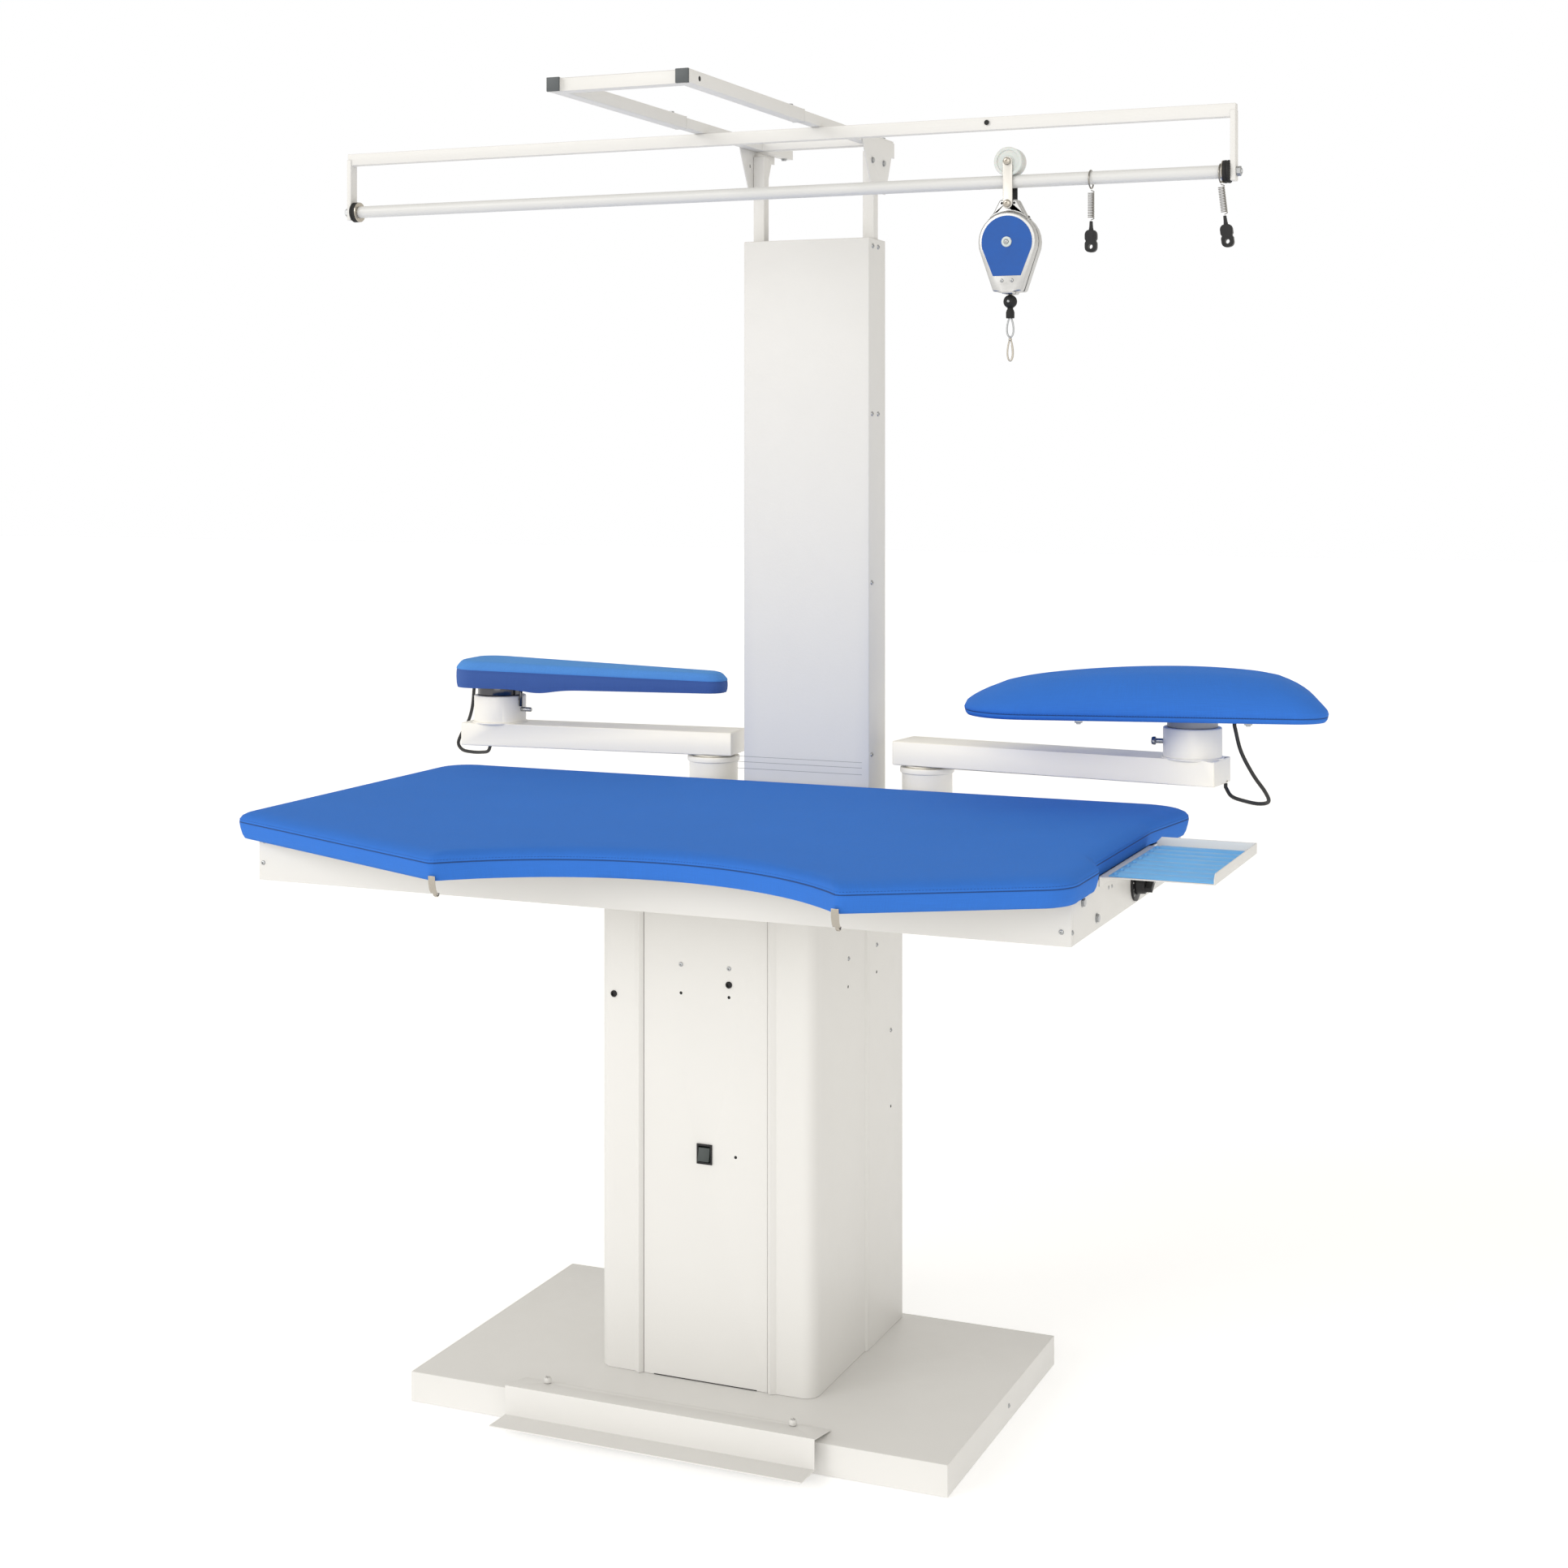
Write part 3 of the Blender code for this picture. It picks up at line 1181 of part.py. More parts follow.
def square_tube(name, x, size, wall, start, end, finish=None):
    """A square tube along Y at the overhead frame's height, open at both ends."""
    half = size / 2
    piece = box(name, (x - half, start, TUBE_Z - half), (x + half, end, TUBE_Z + half), finish)
    inner = half - wall
    return cut(piece, box("bore", (x - inner, start - OVERRUN, TUBE_Z - inner),
                          (x + inner, end + OVERRUN, TUBE_Z + inner)))


def build_rear_frame():
    """Inner tubes with the cross tube that ties them over the posts."""
    frame = square_tube("rear_frame", TUBE_X, INNER_SIZE, INNER_WALL, INNER_FRONT, INNER_BACK_RIGHT,
                        "powder_coat")
    left = square_tube("left", -TUBE_X, INNER_SIZE, INNER_WALL, INNER_FRONT, INNER_BACK_LEFT)
    half = INNER_SIZE / 2
    reach = TUBE_X - half + INNER_WALL / 2
    cross = box("cross", (-reach, CROSS_REAR_Y - half, TUBE_Z - half),
                (reach, CROSS_REAR_Y + half, TUBE_Z + half))
    join(frame, cross, left)


def build_front_frame():
    """Outer tubes that telescope on the inner ones, their cross tube and two end caps."""
    frame = square_tube("front_frame", TUBE_X, OUTER_SIZE, OUTER_WALL, OUTER_FRONT, OUTER_BACK, "powder_coat")
    left = square_tube("left", -TUBE_X, OUTER_SIZE, OUTER_WALL, OUTER_FRONT, OUTER_BACK)
    half = OUTER_SIZE / 2
    reach = TUBE_X - half + OUTER_WALL / 2
    cross = box("cross", (-reach, CROSS_FRONT_Y - half, TUBE_Z - half),
                (reach, CROSS_FRONT_Y + half, TUBE_Z + half))
    join(frame, cross, left)
    plug = half - OUTER_WALL - GAP
    face = OUTER_FRONT - GAP
    for side, sign in (("left", -1), ("right", 1)):
        x = sign * TUBE_X
        cap = box(f"frame_cap_{side}", (x - half, face - CAP_THICK, TUBE_Z - half),
                  (x + half, face, TUBE_Z + half),
                  "grey_plastic")
        join(cap, box("plug", (x - plug, face - CAP_THICK / 2, TUBE_Z - plug),
                      (x + plug, face + CAP_PLUG, TUBE_Z + plug)))


def build_rail():
    """Rail bar with its end legs under the overhead tubes, the rod, and its rubber buffers."""
    half = RAIL_DEPTH / 2
    rail = box("rail_bar", (-RAIL_HALF, RAIL_Y - half, RAIL_BOTTOM), (RAIL_HALF, RAIL_Y + half, RAIL_TOP),
               "powder_coat")
    leg_half = LEG_DEPTH / 2
    for sign in (-1, 1):
        low, high = sorted((sign * RAIL_HALF, sign * (RAIL_HALF - LEG_THICK)))
        leg_top = RAIL_TOP - RAIL_HEIGHT / 2
        join(rail, box("leg", (low, RAIL_Y - leg_half, LEG_BOTTOM), (high, RAIL_Y + leg_half, leg_top)))
        start, end = sorted((sign * (RAIL_HALF - LEG_THICK - OVERRUN), sign * (RAIL_HALF + OVERRUN)))
        cut(rail, rod("bolt_hole", "X", (RAIL_Y, ROD_Z), BOLT_RADIUS + SLIDE_GAP, start, end, TINY_SIDES))
    rod_half = RAIL_HALF - LEG_THICK - BUFFER_THICK - 2 * GAP
    bar = rod("rail_rod", "X", (RAIL_Y, ROD_Z), ROD_RADIUS, -rod_half, rod_half, SMALL_SIDES, "powder_coat")
    for side, sign in (("left", -1), ("right", 1)):
        inner = RAIL_HALF - LEG_THICK - GAP
        bore = BOLT_RADIUS + SLIDE_GAP
        profile = (
            (BUFFER_RADIUS, sign * (inner - BUFFER_THICK)),
            (BUFFER_RADIUS, sign * inner),
            (bore, sign * inner),
            (bore, sign * (inner - BUFFER_THICK)),
        )
        turned(f"rail_buffer_{side}", profile, (0, RAIL_Y, ROD_Z), "X", SMALL_SIDES, "black_rubber")
        head = RAIL_HALF + GAP
        bolt = turned("bolt", (
            (0, sign * (rod_half - BOLT_DEPTH)),
            (BOLT_RADIUS, sign * (rod_half - BOLT_DEPTH)),
            (BOLT_RADIUS, sign * head),
            (BOLT_HEAD_RADIUS, sign * head),
            (BOLT_HEAD_RADIUS, sign * (head + BOLT_HEAD)),
            (0, sign * (head + BOLT_HEAD)),
        ), (0, RAIL_Y, ROD_Z), "X", TINY_SIDES)
        join(bar, bolt)


def build_arm(side):
    """Swing arm: hollow rectangular tube with its pivot pin below and its cup on top."""
    sign = 1 if side == "right" else -1
    pivot = Vector((sign * PIVOT_X, PIVOT_Y, 0))
    heading = ARM_HEADINGS[side]
    half = ARM_WIDTH / 2
    start = -ARM_INSET
    end = ARM_LENGTHS[side] - ARM_INSET
    arm = box(f"arm_{side}", (start, -half, ARM_BOTTOM), (end, half, ARM_TOP), "powder_coat")
    inner = half - ARM_WALL
    cut(arm, box("hollow", (start + ARM_WALL, -inner, ARM_BOTTOM + ARM_WALL),
                 (end - ARM_WALL, inner, ARM_TOP - ARM_WALL)))
    pin_bottom = COLLAR_TOP - PIN_LENGTH
    pin = turned("pin", (
        (0, pin_bottom),
        (PIN_RADIUS, pin_bottom),
        (PIN_RADIUS, COLLAR_TOP + GAP),
        (RING_RADIUS, COLLAR_TOP + GAP),
        (RING_RADIUS, ARM_BOTTOM + ARM_WALL / 2),
        (0, ARM_BOTTOM + ARM_WALL / 2),
    ), (0, 0, 0))
    reach = CUP_REACH[side]
    cup = turned("cup", (
        (0, ARM_TOP - ARM_WALL / 2),
        (CUP_RADIUS, ARM_TOP - ARM_WALL / 2),
        (CUP_RADIUS, CUP_TOP),
        (CUP_BORE, CUP_TOP),
        (CUP_BORE, ARM_TOP + CUP_FLOOR),
        (0, ARM_TOP + CUP_FLOOR),
    ), (reach, 0, 0))
    join(arm, pin, cup)
    clamp = CLAMP_TURNS[side] - heading
    hole = rod("thread", "X", (0, ARM_TOP + CLAMP_HEIGHT), CLAMP_RADIUS + SLIDE_GAP, CUP_BORE - OVERRUN,
               CUP_RADIUS + OVERRUN, TINY_SIDES)
    turn_about(hole, (0, 0, 0), "Z", clamp)
    hole.data.transform(Matrix.Translation((reach, 0, 0)))
    cut(arm, hole)
    spin = Matrix.Rotation(-heading, 3, "Z")
    end_point = spin @ (Vector(CABLE_ROUTES[side][-1]) - pivot)
    cut(arm, rod("cable_hole", "Z", (end_point.x, end_point.y), CABLE_HOLE, ARM_BOTTOM - OVERRUN,
                 ARM_BOTTOM + ARM_WALL + OVERRUN, TINY_SIDES))
    arm.data.transform(Matrix.Rotation(heading, 4, "Z"))
    arm.location = pivot
    socket = turned(f"pivot_socket_{side}", (
        (0, SOCKET_BOTTOM),
        (SOCKET_RADIUS, SOCKET_BOTTOM),
        (SOCKET_RADIUS, SOCKET_TOP),
        (COLLAR_RADIUS, SOCKET_TOP),
        (COLLAR_RADIUS, COLLAR_TOP),
        (SOCKET_BORE, COLLAR_TOP),
        (SOCKET_BORE, SOCKET_BOTTOM + SOCKET_FLOOR),
        (0, SOCKET_BOTTOM + SOCKET_FLOOR),
    ), pivot, finish="powder_coat")
    wall = TOWER_HALF + GAP
    low, high = sorted((sign * wall, sign * (PIVOT_X - SOCKET_BORE - GAP)))
    half_width = SOCKET_ARM_WIDTH / 2
    join(socket, box("carrier", (low, PIVOT_Y - half_width, SOCKET_BOTTOM),
                     (high, PIVOT_Y + half_width, SOCKET_BOTTOM + SOCKET_ARM_HEIGHT)))


def cup_centre(side):
    """Middle of a cup seen from above."""
    sign = 1 if side == "right" else -1
    heading = ARM_HEADINGS[side]
    reach = CUP_REACH[side]
    return (sign * PIVOT_X + reach * math.cos(heading), PIVOT_Y + reach * math.sin(heading))


def build_clamp_screw(side):
    """Wing screw through a cup's wall onto the spigot."""
    shaft_start = SPIGOT_RADIUS + CLAMP_TIP_GAP
    shaft_end = shaft_start + CLAMP_LENGTH
    screw = rod(f"clamp_screw_{side}", "X", (0, 0), CLAMP_RADIUS, shaft_start, shaft_end, TINY_SIDES, "zinc")
    join(screw, box("wing", (shaft_end - WING_HEIGHT, -WING_LENGTH / 2, -WING_THICK / 2),
                    (shaft_end, WING_LENGTH / 2, WING_THICK / 2)))
    screw.data.transform(Matrix.Rotation(CLAMP_TURNS[side], 4, "Z"))
    x, y = cup_centre(side)
    screw.location = (x, y, ARM_TOP + CLAMP_HEIGHT)


def build_spigot(side, underside):
    """Stepped spigot under a buck, turning in the cup."""
    turned(f"spigot_{side}", (
        (0, ARM_TOP + CUP_FLOOR + GAP),
        (SPIGOT_RADIUS, ARM_TOP + CUP_FLOOR + GAP),
        (SPIGOT_RADIUS, CUP_TOP + GAP),
        (BAND_RADIUS, CUP_TOP + GAP),
        (BAND_RADIUS, underside - GAP),
        (0, underside - GAP),
    ), (0, 0, 0), finish="zinc").location = (*cup_centre(side), 0)


def build_buck(side):
    """Right buck: a domed pad on its spigot."""
    corners = (
        (BUCK_NEAR, -BUCK_NARROW, BUCK_NARROW_RADIUS),
        (BUCK_FAR, -BUCK_WIDE, BUCK_WIDE_RADIUS),
        (BUCK_FAR, BUCK_WIDE, BUCK_WIDE_RADIUS),
        (BUCK_NEAR, BUCK_NARROW, BUCK_NARROW_RADIUS),
    )
    padded_board("buck_pad", corners, side, BUCK_HEADING, BUCK_CENTRE, BUCK_BOTTOM, BUCK_LEVELS, BUCK_CROWN,
                 "blue_cloth")
    build_spigot(side, BUCK_BOTTOM)


def build_sleeve_board(side):
    """Left sleeve board: a long tapered pad on its spigot."""
    corners = (
        (SLEEVE_HEEL, SLEEVE_SHIFT - SLEEVE_HEEL_HALF, SLEEVE_HEEL_RADIUS),
        (SLEEVE_TIP, SLEEVE_SHIFT - SLEEVE_TIP_HALF, SLEEVE_TIP_RADIUS),
        (SLEEVE_TIP, SLEEVE_SHIFT + SLEEVE_TIP_HALF, SLEEVE_TIP_RADIUS),
        (SLEEVE_HEEL, SLEEVE_SHIFT + SLEEVE_HEEL_HALF, SLEEVE_HEEL_RADIUS),
    )
    padded_board("sleeve_pad", corners, side, SLEEVE_HEADING, SLEEVE_CENTRE, SLEEVE_BOTTOM, SLEEVE_LEVELS,
                 SLEEVE_CROWN, "light_blue_cloth")
    build_spigot(side, SLEEVE_BOTTOM)


def padded_board(name, corners, side, heading, middle, bottom, levels, crown, finish):
    """A cushion modelled along X about its cup, then turned to its heading."""
    outline = rounded_outline(corners, 6)
    centre = (middle, 0)
    heights = [(grow, height) for grow, height in levels]
    pad = cushion(name, outline, centre, heights, (CROWN_SHARE, crown), None, finish)
    pad.data.transform(Matrix.Rotation(heading, 4, "Z"))
    x, y = cup_centre(side)
    pad.location = (x, y, bottom)


def build_cable(side):
    """Free cable from a buck's underside round into its arm."""
    route = CABLE_ROUTES[side]
    points = [route[0]] + smooth_route(route[1:-1], CABLE_SAMPLES) + [route[-1]]
    tube(f"cable_{side}", points, CABLE_RADIUS, 2, "black_rubber")


def build_trolley():
    """Two straps with the axle and hanger bolts, and the grooved wheel on the rod."""
    inner = WHEEL_WIDTH / 2 + GAP
    outer = inner + STRAP_THICK
    half = STRAP_WIDTH / 2
    outline = [(TROLLEY_X + a, WHEEL_Z + b) for a, b in arc((0, 0), half, 0, math.pi, 6)]
    outline += [(TROLLEY_X + a, HANGER_Z + b) for a, b in arc((0, 0), half, math.pi, 2 * math.pi, 6)]
    straps = prism("trolley_straps", outline, "Y", RAIL_Y - outer, RAIL_Y - inner, "nickel")
    rear = prism("rear", outline, "Y", RAIL_Y + inner, RAIL_Y + outer)
    bolts = []
    head = outer + STRAP_HEAD
    overlap = STRAP_THICK / 2
    for z in (WHEEL_Z, HANGER_Z):
        bolts.append(turned("bolt", (
            (0, -head),
            (STRAP_HEAD_RADIUS, -head),
            (STRAP_HEAD_RADIUS, overlap - outer),
            (AXLE_RADIUS, overlap - outer),
            (AXLE_RADIUS, outer - overlap),
            (STRAP_HEAD_RADIUS, outer - overlap),
            (STRAP_HEAD_RADIUS, head),
            (0, head),
        ), (TROLLEY_X, RAIL_Y, z), "Y", SMALL_SIDES))
    join(straps, bolts[0], rear, bolts[1])
    groove_centre = WHEEL_GROOVE + ROD_RADIUS + SLIDE_GAP
    groove = []
    for angle in range(-3, 4):
        along = GROOVE_HALF * angle / 3
        groove.append((groove_centre - math.sqrt((ROD_RADIUS + SLIDE_GAP) ** 2 - along ** 2), along))
    profile = [(WHEEL_BORE, -WHEEL_WIDTH / 2), (WHEEL_FLANGE, -WHEEL_WIDTH / 2)]
    profile += [(min(radius, WHEEL_FLANGE), along) for radius, along in groove]
    profile += [(WHEEL_FLANGE, WHEEL_WIDTH / 2), (WHEEL_BORE, WHEEL_WIDTH / 2)]
    wheel = turned("trolley_wheel", profile, (0, 0, 0), "Y", finish="white_nylon")
    wheel.location = (TROLLEY_X, RAIL_Y, WHEEL_Z)


def balancer_outline(half_foot, radius):
    """Teardrop outline of the balancer about its drum, with its nose at the foot."""
    foot = BALANCER_CENTRE_DROP - BALANCER_BOTTOM_DROP
    outline = [
        (half_foot, foot),
        *arc((0, 0), radius, math.radians(-12), math.radians(192), 16),
        (-half_foot, foot),
        (-BALANCER_NOSE_HALF, foot),
        (-BALANCER_NOSE_HALF, foot - BALANCER_NOSE),
        (BALANCER_NOSE_HALF, foot - BALANCER_NOSE),
        (BALANCER_NOSE_HALF, foot),
    ]
    return outline


def build_balancer():
    """Front and back housings of the spring balancer, with ears on the hanger bolt."""
    centre_z = HANGER_Z - BALANCER_CENTRE_DROP
    body = [(TROLLEY_X + x, centre_z + z) for x, z in balancer_outline(BALANCER_FOOT_HALF, BALANCER_RADIUS)]
    tangent = math.radians(52)
    ear_x = BALANCER_RADIUS * math.cos(tangent)
    ear_z = BALANCER_RADIUS * math.sin(tangent)
    top = BALANCER_CENTRE_DROP + BALANCER_SHOULDER_RISE
    ear = [(ear_x, 0), (ear_x, ear_z), (BALANCER_SHOULDER_HALF, top)]
    ear += [(-x, z) for x, z in ear[::-1]]
    ear = [(TROLLEY_X + x, centre_z + z) for x, z in ear]
    seam = BALANCER_SEAM / 2
    for side, sign in (("front", -1), ("back", 1)):
        near, far = sorted((RAIL_Y + sign * seam, RAIL_Y + sign * BALANCER_HALF))
        half = prism(f"balancer_{side}", body, "Y", near, far, "aluminium")
        low, high = sorted((RAIL_Y + sign * seam, RAIL_Y + sign * LUG_HALF_THICK))
        join(half, prism("ear", ear, "Y", low, high))
        low, high = sorted((RAIL_Y, RAIL_Y + sign * (BALANCER_HALF + OVERRUN)))
        cut(half, rod("bolt_hole", "Y", (TROLLEY_X, HANGER_Z), LUG_BORE, low, high, SMALL_SIDES))
        low, high = sorted((RAIL_Y, RAIL_Y + sign * (seam + DRUM_DEPTH)))
        cut(half, rod("drum_room", "Y", (TROLLEY_X, centre_z), DRUM_HOUSING, low, high, 24))
        nose = BALANCER_FOOT - BALANCER_NOSE
        cut(half, rod("mouth", "Z", (TROLLEY_X, RAIL_Y), MOUTH_RADIUS, nose - OVERRUN, nose + MOUTH_DEPTH,
                      TINY_SIDES))
        set_origin(half, (TROLLEY_X, RAIL_Y, HANGER_Z))


def teardrop(half, length, top, points=12):
    """Closed loop in the XZ plane, narrow at the top, hanging down from a height."""
    loop = []
    for step in range(points):
        angle = 2 * math.pi * step / points
        drop = (1 - math.cos(angle)) / 2
        side = math.sin(angle) * (LOOP_TOP_SHARE + (1 - LOOP_TOP_SHARE) * drop)
        loop.append((TROLLEY_X + half * side, RAIL_Y, top - length * drop))
    return loop


def build_balancer_hook():
    """Wire, ball stop with its sleeve and thimble loop, and the snap hook."""
    nose = BALANCER_FOOT - BALANCER_NOSE
    ball_top = nose - GAP
    rod("balancer_wire", "Z", (TROLLEY_X, RAIL_Y), WIRE_RADIUS, ball_top + GAP, nose + WIRE_INSIDE,
        TINY_SIDES, "zinc")
    ball_z = ball_top - BALL_RADIUS
    profile = [(0, ball_top)]
    for step in range(1, 8):
        angle = math.pi / 2 - math.pi * step / 9
        profile.append((BALL_RADIUS * math.cos(angle), ball_z + BALL_RADIUS * math.sin(angle)))
    sleeve_bottom = ball_z - BALL_RADIUS - SLEEVE_LENGTH
    profile += [
        (SLEEVE_RADIUS * 0.7, ball_z - BALL_RADIUS),
        (SLEEVE_RADIUS, ball_z - BALL_RADIUS - SLEEVE_RADIUS / 2),
        (SLEEVE_RADIUS, sleeve_bottom),
        (0, sleeve_bottom),
    ]
    stop = turned("ball_stop", profile, (TROLLEY_X, RAIL_Y, 0), sides=SMALL_SIDES, finish="black_rubber")
    loop_top = sleeve_bottom + LOOP_WIRE
    join(stop, solid_tube("loop", teardrop(LOOP_HALF, LOOP_LENGTH, loop_top), LOOP_WIRE, 1, closed=True))
    hook_top = loop_top - LOOP_LENGTH - LOOP_WIRE - GAP
    bead = turned("snap_hook", (
        (0, hook_top),
        (2 * HOOK_WIRE, hook_top),
        (2 * HOOK_WIRE, hook_top - 3 * HOOK_WIRE),
        (0, hook_top - 3 * HOOK_WIRE),
    ), (TROLLEY_X, RAIL_Y, 0), sides=TINY_SIDES, finish="nickel")
    ring_top = hook_top - 2 * HOOK_WIRE
    length = HOOK_LENGTH - 3 * HOOK_WIRE
    join(bead, solid_tube("hook", teardrop(HOOK_HALF, length, ring_top), HOOK_WIRE, 1, closed=True))
    set_origin(bead, (TROLLEY_X, RAIL_Y, hook_top))


def spring_points():
    """Coil hanging from the origin, with its two ends brought in to the axis."""
    straight = 2 * SPRING_WIRE
    points = [(0, 0, 0), (0, 0, -straight)]
    count = SPRING_TURNS * SPRING_POINTS
    top = -straight - SPRING_END
    for step in range(count + 1):
        angle = 2 * math.pi * step / SPRING_POINTS
        points.append((SPRING_RADIUS * math.cos(angle), SPRING_RADIUS * math.sin(angle),
                       top - SPRING_STEP * step / SPRING_POINTS))
    bottom = top - SPRING_STEP * SPRING_TURNS - SPRING_END
    points += [(0, 0, bottom), (0, 0, bottom - straight)]
    return points


def coil_gap():
    """Least distance between the spring's neighbouring turns, wire to wire."""
    points = [Vector(point) for point in spring_points()[2:-2]]
    least = None
    for index, point in enumerate(points):
        for other in points[index + SPRING_POINTS - 2:index + SPRING_POINTS + 3]:
            distance = (other - point).length
            least = distance if least is None else min(least, distance)
    return least - 2 * SPRING_WIRE


def build_hose_hook(side):
    """Ring on the rod, coil spring below it and a plastic clip on a strap."""
    x = HOOK_X[side]
    ring_radius = RING_HALF_INNER + RING_WIRE
    ring_z = ROD_Z - (RING_HALF_INNER - ROD_RADIUS - GAP)
    ring = []
    for step in range(20):
        angle = 2 * math.pi * step / 20
        ring.append((x, RAIL_Y + ring_radius * math.cos(angle), ring_z + ring_radius * math.sin(angle)))
    hoop = solid_tube(f"hook_ring_{side}", ring, RING_WIRE, 1, "nickel", closed=True)
    foot = ring_z - ring_radius - RING_WIRE
    pivot = Vector((x, RAIL_Y, foot))
    coil = spring_points()
    start = Vector((0, 0, -GAP))
    spring = solid_tube(f"hook_spring_{side}", [Vector(point) + start for point in coil], SPRING_WIRE, 1,
                        "zinc")
    strap_top = coil[-1][2] - 2 * GAP
    strap_bottom = strap_top - HOSE_STRAP_LENGTH
    half = HOSE_CLIP_HALF
    middle = strap_bottom - HOSE_CLIP_LENGTH / 2
    corners = []
    for sign_z in (1, -1):
        rise = sign_z * HOSE_CLIP_LENGTH / 2
        notch = sign_z * HOSE_CLIP_NOTCH
        side_corners = [(half, middle + rise, HOSE_CLIP_ROUND), (half, middle + notch, 0)]
        corners += side_corners if sign_z == 1 else [(HOSE_CLIP_WAIST, middle, 0)] + side_corners[::-1]
    corners += [(-x_share, z, radius) for x_share, z, radius in corners[::-1]]
    clip = prism(f"hose_clip_{side}", rounded_outline(corners, 3), "Y", -HOSE_CLIP_THICK / 2,
                 HOSE_CLIP_THICK / 2, "black_plastic")
    strap_half = HOSE_STRAP_HALF
    low = strap_bottom - OVERRUN
    join(clip, box("strap", (-strap_half, -strap_half, low), (strap_half, strap_half, strap_top)))
    hole_z = middle - HOSE_CLIP_LENGTH / 4
    cut(clip, rod("bore", "Y", (0, hole_z), HOSE_CLIP_BORE, -HOSE_CLIP_THICK, HOSE_CLIP_THICK, 12))
    lean = Matrix.Rotation(HOOK_LEAN[side], 4, "Y")
    for piece in (spring, clip):
        piece.data.transform(lean)
        piece.location = pivot
    set_origin(hoop, (x, RAIL_Y, ROD_Z))


def build_table():
    """The whole ironing table."""
    clear_scene()
    build_base()
    build_pedal()
    build_pedestal()
    build_rocker()
    build_blower()
    build_table_box()
    build_pad()
    build_clips()
    build_tray()
    build_tower()
    for side, sign in (("left", -1), ("right", 1)):
        build_post(side, sign)
        build_gusset(side, sign)
        build_arm(side)
        build_clamp_screw(side)
        build_cable(side)
    build_buck("right")
    build_sleeve_board("left")
    build_rear_frame()
    build_front_frame()
    build_rail()
    build_trolley()
    build_balancer()
    build_balancer_hook()
    for side in HOOK_X:
        build_hose_hook(side)
    print(f"least gap between spring turns: {coil_gap() * 1000:.2f} mm")


build_table()
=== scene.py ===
"""Looks of a vacuum ironing table: covers, cables, finishes, fasteners and a plain studio."""

import json
import math

import bmesh
import bpy
from bpy.props import FloatProperty, FloatVectorProperty, IntProperty, PointerProperty
from mathutils import Matrix, Vector


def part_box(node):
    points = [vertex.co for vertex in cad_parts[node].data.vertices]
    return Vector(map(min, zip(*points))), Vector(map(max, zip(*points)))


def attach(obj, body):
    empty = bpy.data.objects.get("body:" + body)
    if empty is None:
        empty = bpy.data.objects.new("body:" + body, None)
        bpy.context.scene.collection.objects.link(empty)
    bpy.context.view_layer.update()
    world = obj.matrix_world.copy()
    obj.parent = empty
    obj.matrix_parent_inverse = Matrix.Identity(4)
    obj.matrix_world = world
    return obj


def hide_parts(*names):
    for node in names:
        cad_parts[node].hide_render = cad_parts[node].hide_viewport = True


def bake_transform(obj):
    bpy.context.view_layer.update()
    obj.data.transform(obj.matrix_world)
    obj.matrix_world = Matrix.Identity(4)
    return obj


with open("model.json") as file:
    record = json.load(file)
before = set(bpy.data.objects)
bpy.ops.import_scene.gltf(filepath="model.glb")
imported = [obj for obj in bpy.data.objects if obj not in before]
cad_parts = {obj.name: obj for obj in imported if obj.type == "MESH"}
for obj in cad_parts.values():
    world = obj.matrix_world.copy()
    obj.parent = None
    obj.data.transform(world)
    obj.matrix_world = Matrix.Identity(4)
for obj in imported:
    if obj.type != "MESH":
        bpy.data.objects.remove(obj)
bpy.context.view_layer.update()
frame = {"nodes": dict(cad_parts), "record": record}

bl_info = {
    "name": "Vacuum Ironing Table",
    "version": (1, 0, 0),
    "blender": (4, 5, 0),
    "location": "3D View > Sidebar > Ironing Table",
    "description": "Dresses a vacuum ironing table with its covers, cables, finishes and fasteners",
    "category": "Add Mesh",
}

TROLLEY_X, RAIL_Y, HANGER_Z = 0.419, 0.0754, 1.834
ARM_TOP = 0.978
BODIES = frame["record"]["behaviour"]["bodies"]
BODY_OF_NODE = {node: body for body, nodes in BODIES.items() for node in nodes}
FRONT, RIGHT, LEFT, UP, DOWN = (0, -1, 0), (1, 0, 0), (-1, 0, 0), (0, 0, 1), (0, 0, -1)
SIDES = (-1, 1)


class CoverSettings(bpy.types.PropertyGroup):
    pad_colour: FloatVectorProperty(
        name="Pad cloth", description="Colour of the table pad's and the buck's cover", subtype="COLOR",
        default=(0.034, 0.165, 0.600), min=0, max=1)
    sleeve_colour: FloatVectorProperty(
        name="Sleeve board cloth", description="Colour of the sleeve board's cover", subtype="COLOR",
        default=(0.085, 0.270, 0.680), min=0, max=1)
    band_colour: FloatVectorProperty(
        name="Sleeve board band", description="Colour of the sleeve board's lower band", subtype="COLOR",
        default=(0.055, 0.120, 0.360), min=0, max=1)
    thread_pitch: FloatProperty(
        name="Thread pitch", description="Distance between neighbouring threads of the weave",
        default=0.0009, min=0.0003, max=0.004, precision=5, subtype="DISTANCE", unit="LENGTH")
    stitch_step: FloatProperty(
        name="Stitch step", description="Distance between stitches along the pad's seam",
        default=0.0045, min=0.002, max=0.02, precision=4, subtype="DISTANCE", unit="LENGTH")
    pucker: FloatProperty(
        name="Pucker", description="How far the cloth is drawn in between its gathers under the lip",
        default=0.0007, min=0.0, max=0.004, precision=5, subtype="DISTANCE", unit="LENGTH")


